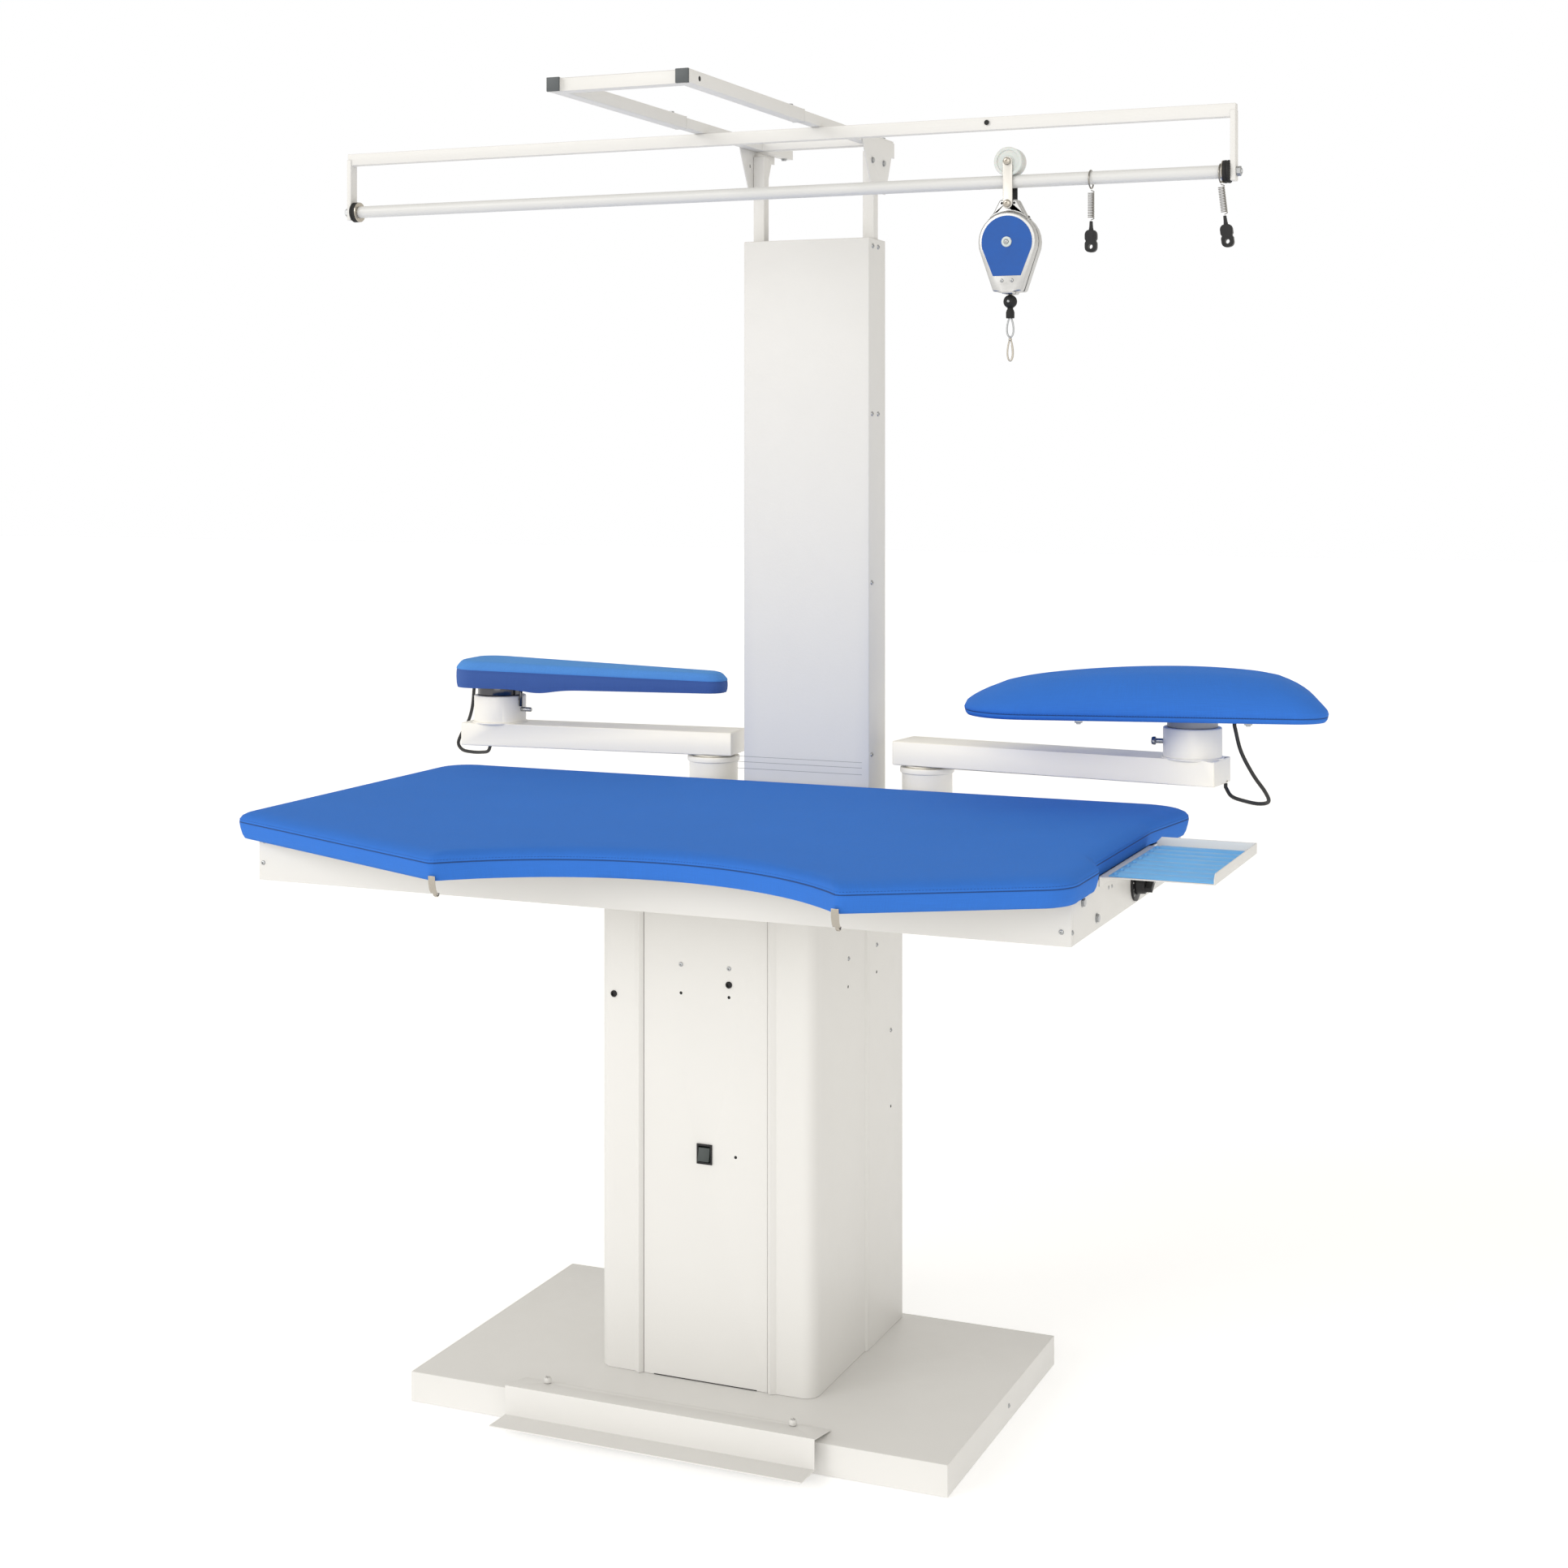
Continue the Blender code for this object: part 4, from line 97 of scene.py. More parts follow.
class FinishSettings(bpy.types.PropertyGroup):
    paint_colour: FloatVectorProperty(
        name="Powder coat", description="Colour of the powder coated steel", subtype="COLOR",
        default=(0.716, 0.707, 0.686), min=0, max=1)
    arm_colour: FloatVectorProperty(
        name="Arm coat", description="Colour of the whiter gloss paint on the arms and cups", subtype="COLOR",
        default=(0.800, 0.785, 0.745), min=0, max=1)
    mat_colour: FloatVectorProperty(
        name="Tray mat", description="Colour of the iron tray's ribbed mat", subtype="COLOR",
        default=(0.150, 0.460, 0.860), min=0, max=1)
    plate_colour: FloatVectorProperty(
        name="Balancer plate", description="Colour of the bare plate on the balancer", subtype="COLOR",
        default=(0.018, 0.095, 0.370), min=0, max=1)


class CableSettings(bpy.types.PropertyGroup):
    thickness: FloatProperty(
        name="Cable", description="Diameter of the two heating cables",
        default=0.006, min=0.003, max=0.012, precision=4, subtype="DISTANCE", unit="LENGTH")
    samples: IntProperty(
        name="Points", description="Points along each cable", default=49, min=15, max=120)


class StudioSettings(bpy.types.PropertyGroup):
    floor_colour: FloatVectorProperty(
        name="Floor", description="Colour of the studio floor", subtype="COLOR",
        default=(0.93, 0.93, 0.93), min=0, max=1)
    floor_glow: FloatProperty(
        name="Floor glow", description="Light that the floor gives off, as a lit sweep does", default=0.30,
        min=0, max=2)
    light: FloatProperty(
        name="Light", description="Share of the usual studio light", default=1.0, min=0.1, max=4.0,
        subtype="FACTOR")
    lens: FloatProperty(
        name="Lens", description="Focal length of the camera in millimetres", default=54.14, min=20, max=200)


# Materials


class Recipe:
    """A Principled material with short ways to add its nodes."""

    def __init__(self, name, colour, roughness, metallic=0.0, **fixed):
        self.material = bpy.data.materials.new(name)
        self.material.use_nodes = True
        self.material.diffuse_color = (*colour, 1.0)
        self.tree = self.material.node_tree
        self.shader = self.tree.nodes["Principled BSDF"]
        self.shader.inputs["Base Color"].default_value = (*colour, 1.0)
        self.shader.inputs["Roughness"].default_value = roughness
        self.shader.inputs["Metallic"].default_value = metallic
        for socket, value in fixed.items():
            self.shader.inputs[socket.replace("_", " ")].default_value = value
        self.colour = colour
        self.place = self.add("ShaderNodeTexCoord").outputs["Object"]

    def add(self, kind, inputs=None, **settings):
        node = self.tree.nodes.new(kind)
        for key, value in settings.items():
            setattr(node, key, value)
        for key, value in (inputs or {}).items():
            if isinstance(value, bpy.types.NodeSocket):
                self.tree.links.new(value, node.inputs[key])
            else:
                node.inputs[key].default_value = value
        return node

    def noise(self, scale, detail=2.0, roughness=0.5, place=None):
        node = self.add("ShaderNodeTexNoise", {"Vector": place or self.place, "Scale": scale,
                                               "Detail": detail, "Roughness": roughness})
        return node.outputs["Fac"]

    def math(self, operation, first, second=0.0):
        return self.add("ShaderNodeMath", {0: first, 1: second}, operation=operation).outputs[0]

    def span(self, value, low, high, new_low, new_high):
        node = self.add("ShaderNodeMapRange", {"Value": value, "From Min": low, "From Max": high,
                                               "To Min": new_low, "To Max": new_high})
        return node.outputs["Result"]

    def stretched(self, scale, place=None):
        node = self.add("ShaderNodeMapping", {"Vector": place or self.place, "Scale": scale})
        return node.outputs["Vector"]

    def tint(self, factor, first, second):
        node = self.add("ShaderNodeMix", data_type="RGBA")
        self.tree.links.new(factor, node.inputs["Factor"])
        for socket, colour in ((node.inputs["A"], first), (node.inputs["B"], second)):
            if isinstance(colour, bpy.types.NodeSocket):
                self.tree.links.new(colour, socket)
            else:
                socket.default_value = (*colour, 1.0)
        return node.outputs["Result"]

    def shade(self, share):
        return tuple(min(1.0, channel * share) for channel in self.colour)

    def bump(self, height, distance, strength=1.0, under=None):
        node = self.add("ShaderNodeBump", {"Height": height, "Distance": distance, "Strength": strength})
        if under:
            self.tree.links.new(under, node.inputs["Normal"])
        return node.outputs["Normal"]

    def use(self, colour=None, roughness=None, normal=None):
        for socket, value in (("Base Color", colour), ("Roughness", roughness), ("Normal", normal)):
            if value is not None:
                self.tree.links.new(value, self.shader.inputs[socket])
        return self.material


def powder_coat(name, colour, peel=0.00006, roughness=0.42):
    """Baked powder coat: fine orange peel, faint mottling and a slightly uneven gloss."""
    recipe = Recipe(name, colour, roughness, Specular_IOR_Level=0.45)
    mottle = recipe.noise(3.5, 3.0, 0.6)
    peel_fine = recipe.noise(700.0, 2.0, 0.6)
    peel_wide = recipe.noise(210.0, 2.0, 0.5)
    height = recipe.math("ADD", peel_fine, peel_wide)
    dust = recipe.noise(26.0, 5.0, 0.7)
    paint = recipe.tint(mottle, recipe.shade(0.975), recipe.shade(1.015))
    gloss = recipe.span(dust, 0.3, 0.7, roughness - 0.05, roughness + 0.09)
    return recipe.use(paint, gloss, recipe.bump(height, peel, 0.8))


def woven_cloth(name, colour):
    """Plain weave with slubs, painted shade in the hollows between its threads, a soft sheen and threads that
    follow the cover's own map.
    """
    pitch = bpy.context.scene.ironing_covers.thread_pitch
    recipe = Recipe(name, colour, 0.88, Sheen_Weight=0.22, Sheen_Roughness=0.45, Specular_IOR_Level=0.2)
    recipe.shader.inputs["Sheen Tint"].default_value = (*recipe.shade(2.2), 1.0)
    cover = recipe.add("ShaderNodeUVMap", uv_map="cover").outputs["UV"]
    parts = recipe.add("ShaderNodeSeparateXYZ", {"Vector": cover})
    turns = 2 * math.pi / pitch
    warp = recipe.math("SINE", recipe.math("MULTIPLY", parts.outputs["X"], turns / 2))
    weft = recipe.math("SINE", recipe.math("MULTIPLY", parts.outputs["Y"], turns / 2))
    weave = recipe.math("ABSOLUTE", recipe.math("MULTIPLY", warp, weft))
    slub_warp = recipe.noise(1.0, 2.0, 0.6, recipe.stretched((900.0, 26.0, 1.0), cover))
    slub_weft = recipe.noise(1.0, 2.0, 0.6, recipe.stretched((26.0, 900.0, 1.0), cover))
    slubs = recipe.math("MULTIPLY", slub_warp, slub_weft)
    worn = recipe.noise(6.0, 4.0, 0.6)
    dark = recipe.tint(worn, recipe.shade(0.86), recipe.shade(0.98))
    light = recipe.tint(worn, recipe.shade(1.08), recipe.shade(1.2))
    # Thread crests are painted lighter and the hollows between threads darker as painted shade, mixed with
    # the slubs' own thickness
    weave_shade_and_slubs = recipe.span(recipe.math("ADD", recipe.math("MULTIPLY", weave, 0.5), slubs), 0.15, 0.75, 0.0, 1.0)
    height = recipe.math("ADD", weave, recipe.math("MULTIPLY", slubs, 0.8))
    soft = recipe.noise(34.0, 3.0, 0.5)
    folds = recipe.bump(soft, 0.0006, 0.35)
    return recipe.use(recipe.tint(weave_shade_and_slubs, dark, light), recipe.span(slubs, 0.1, 0.5, 0.80, 0.95),
                      recipe.bump(height, pitch * 0.22, 0.8, folds))


def moulded(name, colour, roughness=0.42, grain=0.00004, **fixed):
    """Moulded plastic or rubber: fine spark-eroded grain and handling marks."""
    recipe = Recipe(name, colour, roughness, **fixed)
    grain_map = recipe.noise(1400.0, 2.0, 0.6)
    marks = recipe.noise(60.0, 4.0, 0.65)
    tone = recipe.tint(marks, recipe.shade(0.88), recipe.shade(1.12))
    return recipe.use(tone, recipe.span(marks, 0.3, 0.7, roughness - 0.07, roughness + 0.08),
                      recipe.bump(grain_map, grain, 0.7))


def plated(name, colour, roughness, run=(1.0, 1.0, 1.0), streak=0.00002):
    """Plated or polished metal with fine drawn lines and a cloudy gloss."""
    recipe = Recipe(name, colour, roughness, 1.0)
    lines = recipe.noise(420.0, 3.0, 0.6, recipe.stretched(run))
    cloud = recipe.noise(30.0, 3.0, 0.6)
    tone = recipe.tint(cloud, recipe.shade(0.90), recipe.shade(1.05))
    return recipe.use(tone, recipe.span(cloud, 0.3, 0.7, max(0.05, roughness - 0.07), roughness + 0.08),
                      recipe.bump(lines, streak, 0.6))


# Each finish: its maker, its colour or the setting that holds it, and the maker's other values
FINISHES = {
    "powder_coat": (powder_coat, "paint_colour", {}),
    "arm_coat": (powder_coat, "arm_colour", dict(peel=0.00008, roughness=0.34)),
    "textured_coat": (powder_coat, "paint_colour", dict(peel=0.00016, roughness=0.48)),
    "coat_shadow": (powder_coat, "paint_colour", dict(share=0.42)),
    "painted_rod": (powder_coat, (0.66, 0.66, 0.65), dict(peel=0.00003, roughness=0.34)),
    "pad_cloth": (woven_cloth, "pad_colour", {}),
    "sleeve_cloth": (woven_cloth, "sleeve_colour", {}),
    "sleeve_band": (woven_cloth, "band_colour", {}),
    "seam_thread": (moulded, "pad_colour", dict(share=0.35, roughness=0.9, grain=0.0001)),
    "sleeve_thread": (moulded, "sleeve_colour", dict(share=0.45, roughness=0.9, grain=0.0001)),
    "mat_silicone": (moulded, "mat_colour", dict(roughness=0.38, grain=0.00005, Subsurface_Weight=0.05)),
    "plate_blue": (moulded, "plate_colour", dict(roughness=0.50, grain=0.00001, Specular_IOR_Level=0.25)),
    "black_plastic": (moulded, (0.012, 0.012, 0.013), dict(Specular_IOR_Level=0.3)),
    "rocker_plastic": (moulded, (0.030, 0.040, 0.038), dict(roughness=0.40)),
    "grey_plastic": (moulded, (0.075, 0.085, 0.090), dict(roughness=0.45)),
    "band_grey": (moulded, (0.40, 0.39, 0.37), dict(roughness=0.50)),
    "black_rubber": (moulded, (0.016, 0.016, 0.016),
                     dict(roughness=0.62, grain=0.00008, Specular_IOR_Level=0.3)),
    "cable_rubber": (moulded, (0.018, 0.018, 0.018), dict(roughness=0.5, grain=0.00003)),
    "white_nylon": (moulded, (0.60, 0.63, 0.61),
                    dict(roughness=0.36, grain=0.00003, Subsurface_Weight=0.08)),
    "white_ink": (moulded, (0.78, 0.78, 0.76), dict(roughness=0.5, grain=0.00001)),
    # Near-black painted shade that stands for the unlit inside of open holes and slots
    "dark_hole": (moulded, (0.006, 0.006, 0.006), dict(roughness=0.7)),
    "chipboard": (moulded, (0.32, 0.21, 0.11), dict(roughness=0.85, grain=0.0004)),
    "zinc": (plated, (0.42, 0.43, 0.44), dict(roughness=0.30)),
    "nickel": (plated, (0.48, 0.445, 0.39), dict(roughness=0.26)),
    "satin_nickel": (plated, (0.66, 0.64, 0.60), dict(roughness=0.42)),
    "spring_steel": (plated, (0.30, 0.285, 0.26), dict(roughness=0.24)),
    "dark_chrome": (plated, (0.10, 0.10, 0.11), dict(roughness=0.16)),
    "cast_aluminium": (plated, (0.56, 0.56, 0.555),
                       dict(roughness=0.34, run=(1.0, 1.0, 0.25), streak=0.00005)),
}
MATERIALS = {}


def finish(name):
    """The material of a finish, made at its first use."""
    if name not in MATERIALS:
        maker, colour, values = FINISHES[name]
        values = dict(values)
        share = values.pop("share", 1.0)
        if isinstance(colour, str):
            scene = bpy.context.scene
            group = scene.ironing_covers if hasattr(scene.ironing_covers, colour) else scene.ironing_finishes
            colour = [share * channel for channel in getattr(group, colour)]
        MATERIALS[name] = maker(name, colour, **values)
    return MATERIALS[name]


# Mesh helpers

# Angles in degrees beyond which an edge is shaded sharp
SHARP, BEVEL_SHARP, CAD_SHARP, CURVED_SHARP, FLAT_SHARP, COVER_SHARP = 40, 35, 32, 35, 30, 70


def placed(name, data):
    """An object of its own for some data, in the scene."""
    piece = bpy.data.objects.new(name, data)
    bpy.context.scene.collection.objects.link(piece)
    return piece


def mesh_of(name, bm, sharp=None):
    """The mesh of a bmesh, which is used up; smooth up to its sharp edges when an angle is given."""
    mesh = bpy.data.meshes.new(name)
    bm.to_mesh(mesh)
    bm.free()
    if sharp:
        mesh.shade_smooth()
        mesh.set_sharp_from_angle(angle=math.radians(sharp))
    return mesh


def new_piece(name, bm, material, node, instead=False, sharp=SHARP, at=None, body=None):
    """A finished mesh piece that belongs to a node or stands instead of it."""
    if at:
        bmesh.ops.transform(bm, matrix=at, verts=bm.verts)
    return settle(placed(name, mesh_of(name, bm, sharp)), material, node, instead, body)


def settle(piece, material, node, instead=False, body=None):
    """Gives a piece its material and its node's body."""
    if material:
        piece.data.materials.clear()
        piece.data.materials.append(finish(material))
    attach(piece, body or BODY_OF_NODE[node])
    if instead:
        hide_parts(node)
    return piece


AXIS_TURNS = {"X": Matrix.Rotation(math.pi / 2, 3, "Y"), "Y": Matrix.Rotation(-math.pi / 2, 3, "X"),
              "Z": Matrix.Identity(3)}


def lathe(bm, profile, centre, axis, sides):
    """Adds a closed (radius, height) profile spun about an axis."""
    rings = []
    for radius, height in profile:
        ring = []
        for step in range(1 if radius == 0 else sides):
            angle = 2 * math.pi * step / sides
            point = Vector((radius * math.cos(angle), radius * math.sin(angle), height))
            ring.append(bm.verts.new(AXIS_TURNS[axis] @ point + Vector(centre)))
        rings.append(ring)
    made = []
    for lower, upper in zip(rings, rings[1:] + rings[:1]):
        if len(lower) == 1 and len(upper) == 1:
            continue
        for step in range(sides):
            after = (step + 1) % sides
            corners = [lower[step % len(lower)], lower[after % len(lower)], upper[after % len(upper)],
                       upper[step % len(upper)]]
            made.append(bm.faces.new(list(dict.fromkeys(corners))))
    bmesh.ops.recalc_face_normals(bm, faces=made)


def turned(name, profile, centre, axis, sides, material, node, instead=False, sharp=SHARP):
    """Makes a piece turned from one profile."""
    bm = bmesh.new()
    lathe(bm, profile, centre, axis, sides)
    new_piece(name, bm, material, node, instead, sharp)


def slab(bm, low, high):
    """Adds an upright box between two corners."""
    made = bmesh.ops.create_cube(bm, size=1.0)["verts"]
    low, high = Vector(low), Vector(high)
    bmesh.ops.scale(bm, vec=high - low, verts=made)
    bmesh.ops.translate(bm, vec=(low + high) / 2, verts=made)


def extrude_outline(bm, outline, axis, start, end):
    """Adds a prism of an outline given in the plane across an axis."""
    def ring(h):
        return [bm.verts.new({"X": (h, a, b), "Y": (a, h, b), "Z": (a, b, h)}[axis]) for a, b in outline]
    lower, upper = ring(start), ring(end)
    made = [bm.faces.new(lower[::-1]), bm.faces.new(upper)]
    for index in range(len(outline)):
        after = (index + 1) % len(outline)
        made.append(bm.faces.new((lower[index], lower[after], upper[after], upper[index])))
    bmesh.ops.recalc_face_normals(bm, faces=made)


def pressed(name, outline, start, end, material, node):
    """Makes a flat piece of one (x, z) outline between two depths."""
    bm = bmesh.new()
    extrude_outline(bm, outline, "Y", start, end)
    new_piece(name, bm, material, node, sharp=FLAT_SHARP)


def baked(piece):
    """The mesh that a piece shows."""
    bpy.context.view_layer.update()
    return bpy.data.meshes.new_from_object(piece.evaluated_get(bpy.context.evaluated_depsgraph_get()))


def applied(piece):
    """Makes what a piece's modifiers show its own mesh."""
    mesh = baked(piece)
    piece.modifiers.clear()
    piece.data = mesh
    mesh.shade_smooth()


def bevelled(piece, width, angle=30.0):
    """Rounds a piece's edges and keeps its flats flat."""
    modifier = piece.modifiers.new("edges", "BEVEL")
    modifier.width = width
    modifier.segments = 2
    modifier.limit_method = "ANGLE"
    modifier.angle_limit = math.radians(angle)
    applied(piece)
    piece.data.set_sharp_from_angle(angle=math.radians(BEVEL_SHARP))


def add_nodes(tree, nodes, parts):
    """Adds (key, kind, settings, sockets) nodes to a tree; a "key.Output" socket value is a link."""
    for key, kind, settings, sockets in parts:
        node = nodes[key] = tree.nodes.new(kind)
        for setting, value in settings.items():
            setattr(node, setting, value)
        for socket, value in sockets.items():
            if isinstance(value, str) and "." in value:
                source, output = value.split(".")
                tree.links.new(nodes[source].outputs[output], node.inputs[socket])
            else:
                node.inputs[socket].default_value = value


def shape_tree(name, inputs, parts, last):
    """A geometry tree with named inputs, given as numbers or kinds of socket, that ends in Set Material."""
    tree = bpy.data.node_groups.new(name, "GeometryNodeTree")
    for label, given in {"Geometry": "Geometry", **inputs, "Material": "Material"}.items():
        kind = given if isinstance(given, str) else "Float"
        socket = tree.interface.new_socket(label, in_out="INPUT", socket_type=f"NodeSocket{kind}")
        if kind == "Float":
            socket.default_value = given
    tree.interface.new_socket("Geometry", in_out="OUTPUT", socket_type="NodeSocketGeometry")
    add_nodes(tree, {"given": tree.nodes.new("NodeGroupInput")}, (
        *parts,
        ("real", "GeometryNodeRealizeInstances", {}, {"Geometry": last}),
        ("coat", "GeometryNodeSetMaterial", {}, {"Geometry": "real.Geometry", "Material": "given.Material"}),
        ("made", "NodeGroupOutput", {}, {"Geometry": "coat.Geometry"})))
    return tree


def run_tree(piece, spec, values):
    """Runs a tree, made at its first use, with its named inputs set, and makes the result the mesh."""
    tree = bpy.data.node_groups.get(spec[0]) or shape_tree(*spec)
    modifier = piece.modifiers.new(tree.name, "NODES")
    modifier.node_group = tree
    for item in tree.interface.items_tree:
        if item.in_out == "INPUT" and item.name in values:
            modifier[item.identifier] = values[item.name]
    applied(piece)


# Cables

CABLE_ROUTES = {
    "right": ((0.7350, 0.2050, 1.0457), (0.7350, 0.2050, 1.0390), (0.7440, 0.2090, 1.0000),
              (0.7610, 0.2170, 0.9640), (0.7770, 0.2290, 0.9370), (0.7790, 0.2440, 0.9205),
              (0.7620, 0.2580, 0.9142), (0.7380, 0.2710, 0.9150), (0.7130, 0.2880, 0.9190),
              (0.7015, 0.2970, 0.9315), (0.7015, 0.2970, 0.9377)),
    "left": ((-0.6520, 0.3000, 1.0437), (-0.6520, 0.3000, 1.0370), (-0.6660, 0.3180, 1.0010),
             (-0.6840, 0.3350, 0.9720), (-0.7030, 0.3430, 0.9470), (-0.7120, 0.3460, 0.9280),
             (-0.7020, 0.3450, 0.9165), (-0.6790, 0.3400, 0.9142), (-0.6550, 0.3300, 0.9160),
             (-0.6340, 0.3175, 0.9205), (-0.6255, 0.3115, 0.9315), (-0.6255, 0.3115, 0.9377)),
}


def smooth_route(points, samples):
    """Points on a Catmull-Rom curve through the route's points."""
    nodes = [Vector(point) for point in points]
    nodes = [2 * nodes[0] - nodes[1]] + nodes + [2 * nodes[-1] - nodes[-2]]
    spans = len(nodes) - 3
    route = []
    for sample in range(samples):
        position = spans * sample / (samples - 1)
        span = min(int(position), spans - 1)
        t = position - span
        a, b, c, d = nodes[span:span + 4]
        point = 2 * b + (c - a) * t + (2 * a - 5 * b + 4 * c - d) * t ** 2
        route.append((point + (3 * b - a - 3 * c + d) * t ** 3) / 2)
    return route


def wire_curve(name, points, radius, closed=False, sides=3):
    """A round wire along points, as a curve with a bevel."""
    curve = bpy.data.curves.new(name, "CURVE")
    curve.dimensions = "3D"
    curve.bevel_depth = radius
    curve.bevel_resolution = sides
    curve.use_fill_caps = True
    spline = curve.splines.new("POLY")
    spline.points.add(len(points) - 1)
    for target, point in zip(spline.points, points):
        target.co = (*point, 1.0)
    spline.use_cyclic_u = closed
    spline.use_smooth = True
    return placed(name, curve)


def wire(name, points, radius, material, node, instead=False, **shape):
    """A finished wire that belongs to a node or stands instead of it."""
    return settle(wire_curve(name, points, radius, **shape), material, node, instead)


class IRONING_OT_cables(bpy.types.Operator):
    """Lay the two heating cables from the bucks round into their arms"""
    bl_idname = "ironing.cables"
    bl_label = "Cables"

    def execute(self, context):
        settings = context.scene.ironing_cables
        for side, route in CABLE_ROUTES.items():
            points = [Vector(route[0])] + smooth_route(route[1:-1], settings.samples) + [Vector(route[-1])]
            cable = wire(f"heating_cable_{side}", points, settings.thickness / 2, "cable_rubber",
                         f"cable_{side}", True, sides=5)
        return {"FINISHED"}


# Covers

PAD_BOTTOM = 0.865
PAD_POCKET = 0.8716
PAD_CENTRE = (0.0, -0.100)
PAD_LIP = 0.008
PAD_SEAM = 0.025
PAD_CORNERS = {"left": -0.676, "right": 0.661, "back": 0.2645, "front_left": -0.363, "front_right": -0.418,
               "right_front": 0.652}
PAD_POINTS = ((-0.208, -0.5705), (0.389, -0.572))
PAD_SCOOP = 0.125
NOTCH = {"x": 0.634, "front": -0.243, "back": 0.066, "ramp": 0.045}
SCOOP_STEPS = 30
PAD_STEP = 0.006
PAD_CROWN = 0.042
PAD_SEAM_ROW, PAD_SEAM_WIRE, PAD_STITCH_ROW = 7, 0.0011, 9
PAD_RELIEF_X = (NOTCH["x"] - PAD_LIP - 0.002, 0.6426)
PAD_RELIEF_Y = (NOTCH["front"] - 2 * NOTCH["ramp"], NOTCH["back"] + 2 * NOTCH["ramp"])
PAD_RELIEF_LIFT = 0.0003
PAD_TOP_FROM, PAD_TOP_WAVE = 0.039, 0.0004
# Waves round the pad, start and share of each sine that gathers the cloth
PAD_GATHERS = ((173.0, 0.0, 0.6), (97.0, 1.3, 0.4))
PAD_PROFILE = ((0.0, 0.0), (0.0030, 0.006), (0.0054, 0.015), (0.0066, 0.022), (0.0068, 0.0240),
               (0.0058, 0.0250), (0.0066, 0.0260), (0.0062, 0.0290), (0.0028, 0.0335), (-0.0040, 0.0370),
               (-0.0105, 0.0388), (-0.0180, 0.0400), (-0.0350, 0.0407), (-0.0600, 0.0410))
BUCK = {"heading": math.radians(15.5), "bottom": 1.046, "far": 0.196, "near": -0.351, "wide": 0.134,
        "narrow": 0.118, "wide_round": 0.050, "narrow_round": 0.090, "centre": -0.075, "peak": -0.020,
        "fall_near": 0.290, "fall_far": 0.420, "fall_from": 0.010, "fall_over": 0.055, "crease_at": 0.012,
        "crease_reach": 0.016, "creases": 520.0, "crown": 0.072, "foot": (0.012, 0.0004), "step": 0.004,
        "fill": 0.9, "hem_row": 5, "hem_wire": 0.0009, "stitch_row": 6, "stitch_step": 0.0042}
BUCK_CLIPS = (-0.177, 0.078)
# Half width, then y and z of both corners of each block of a clip
CLIP_BLOCKS = ((0.0060, (-0.1215, -0.0032), (-0.1165, 0.0006)),
               (0.0035, (-0.1200, -0.0055), (-0.1180, -0.0030)))
CLIP_EDGE = 0.0006
BUCK_PROFILE = ((0.0, 0.0), (0.0026, 0.0035), (0.0036, 0.0070), (0.0028, 0.0080), (0.0040, 0.0090),
                (0.0046, 0.0140), (0.0030, 0.0220), (-0.0022, 0.0310), (-0.0090, 0.0400), (-0.0185, 0.0490),
                (-0.0300, 0.0570), (-0.0430, 0.0632), (-0.0580, 0.0680), (-0.0760, 0.0703))
SLEEVE = {"heading": math.radians(4.7), "bottom": 1.044, "heel": -0.058, "tip": 0.429, "heel_half": 0.073,
          "tip_half": 0.0285, "shift": -0.0145, "heel_round": 0.040, "tip_round": 0.026, "centre": 0.150,
          "heel_top": 0.0480, "tip_top": 0.0335, "heel_band": 0.0325, "tip_band": 0.0200, "sag": 0.0060,
          "sag_at": 0.105, "sag_width": 0.036, "crown": 0.039, "foot": (0.010, 0.0004), "step": 0.003,
          "fill": 0.9, "stitch_row": 6, "stitch_step": 0.0038}
SLEEVE_BAND_ROWS = 6
SLEEVE_PROFILE = ((0.0, 0.0), (0.0016, 0.0040), (0.0022, 0.0100), (0.0021, 0.0140), (0.0014, 0.0178),
                  (0.0020, 0.0192), (0.0008, 0.0230), (-0.0030, 0.0290), (-0.0062, 0.0330), (-0.0100, 0.0360),
                  (-0.0150, 0.0374))
CUPS = {"right": (0.65292, 0.28045), "left": (-0.59637, 0.29588)}


def rounded_outline(corners, steps=8):
    """A closed outline from (x, y, radius) corners."""
    outline = []
    for index, (x, y, radius) in enumerate(corners):
        here = Vector((x, y))
        if radius == 0:
            outline.append(here)
            continue
        into = (Vector(corners[index - 1][:2]) - here).normalized()
        out = (Vector(corners[(index + 1) % len(corners)][:2]) - here).normalized()
        half = into.angle(out) / 2
        centre = here + (into + out).normalized() * radius / math.sin(half)
        first = here + into * radius / math.tan(half) - centre
        sweep = first.angle_signed(here + out * radius / math.tan(half) - centre)
        for step in range(steps + 1):
            spoke = first.copy()
            spoke.rotate(Matrix.Rotation(-sweep * step / steps, 2))
            outline.append(centre + spoke)
    return outline


def even_outline(outline, step):
    """The closed outline as points an even step apart."""
    lengths = [0.0]
    for index in range(len(outline)):
        lengths.append(lengths[-1] + (outline[(index + 1) % len(outline)] - outline[index]).length)
    count = round(lengths[-1] / step)
    points, edge = [], 0
    for sample in range(count):
        place = lengths[-1] * sample / count
        while lengths[edge + 1] < place:
            edge += 1
        share = (place - lengths[edge]) / max(lengths[edge + 1] - lengths[edge], 1e-9)
        points.append(outline[edge].lerp(outline[(edge + 1) % len(outline)], share))
    return points


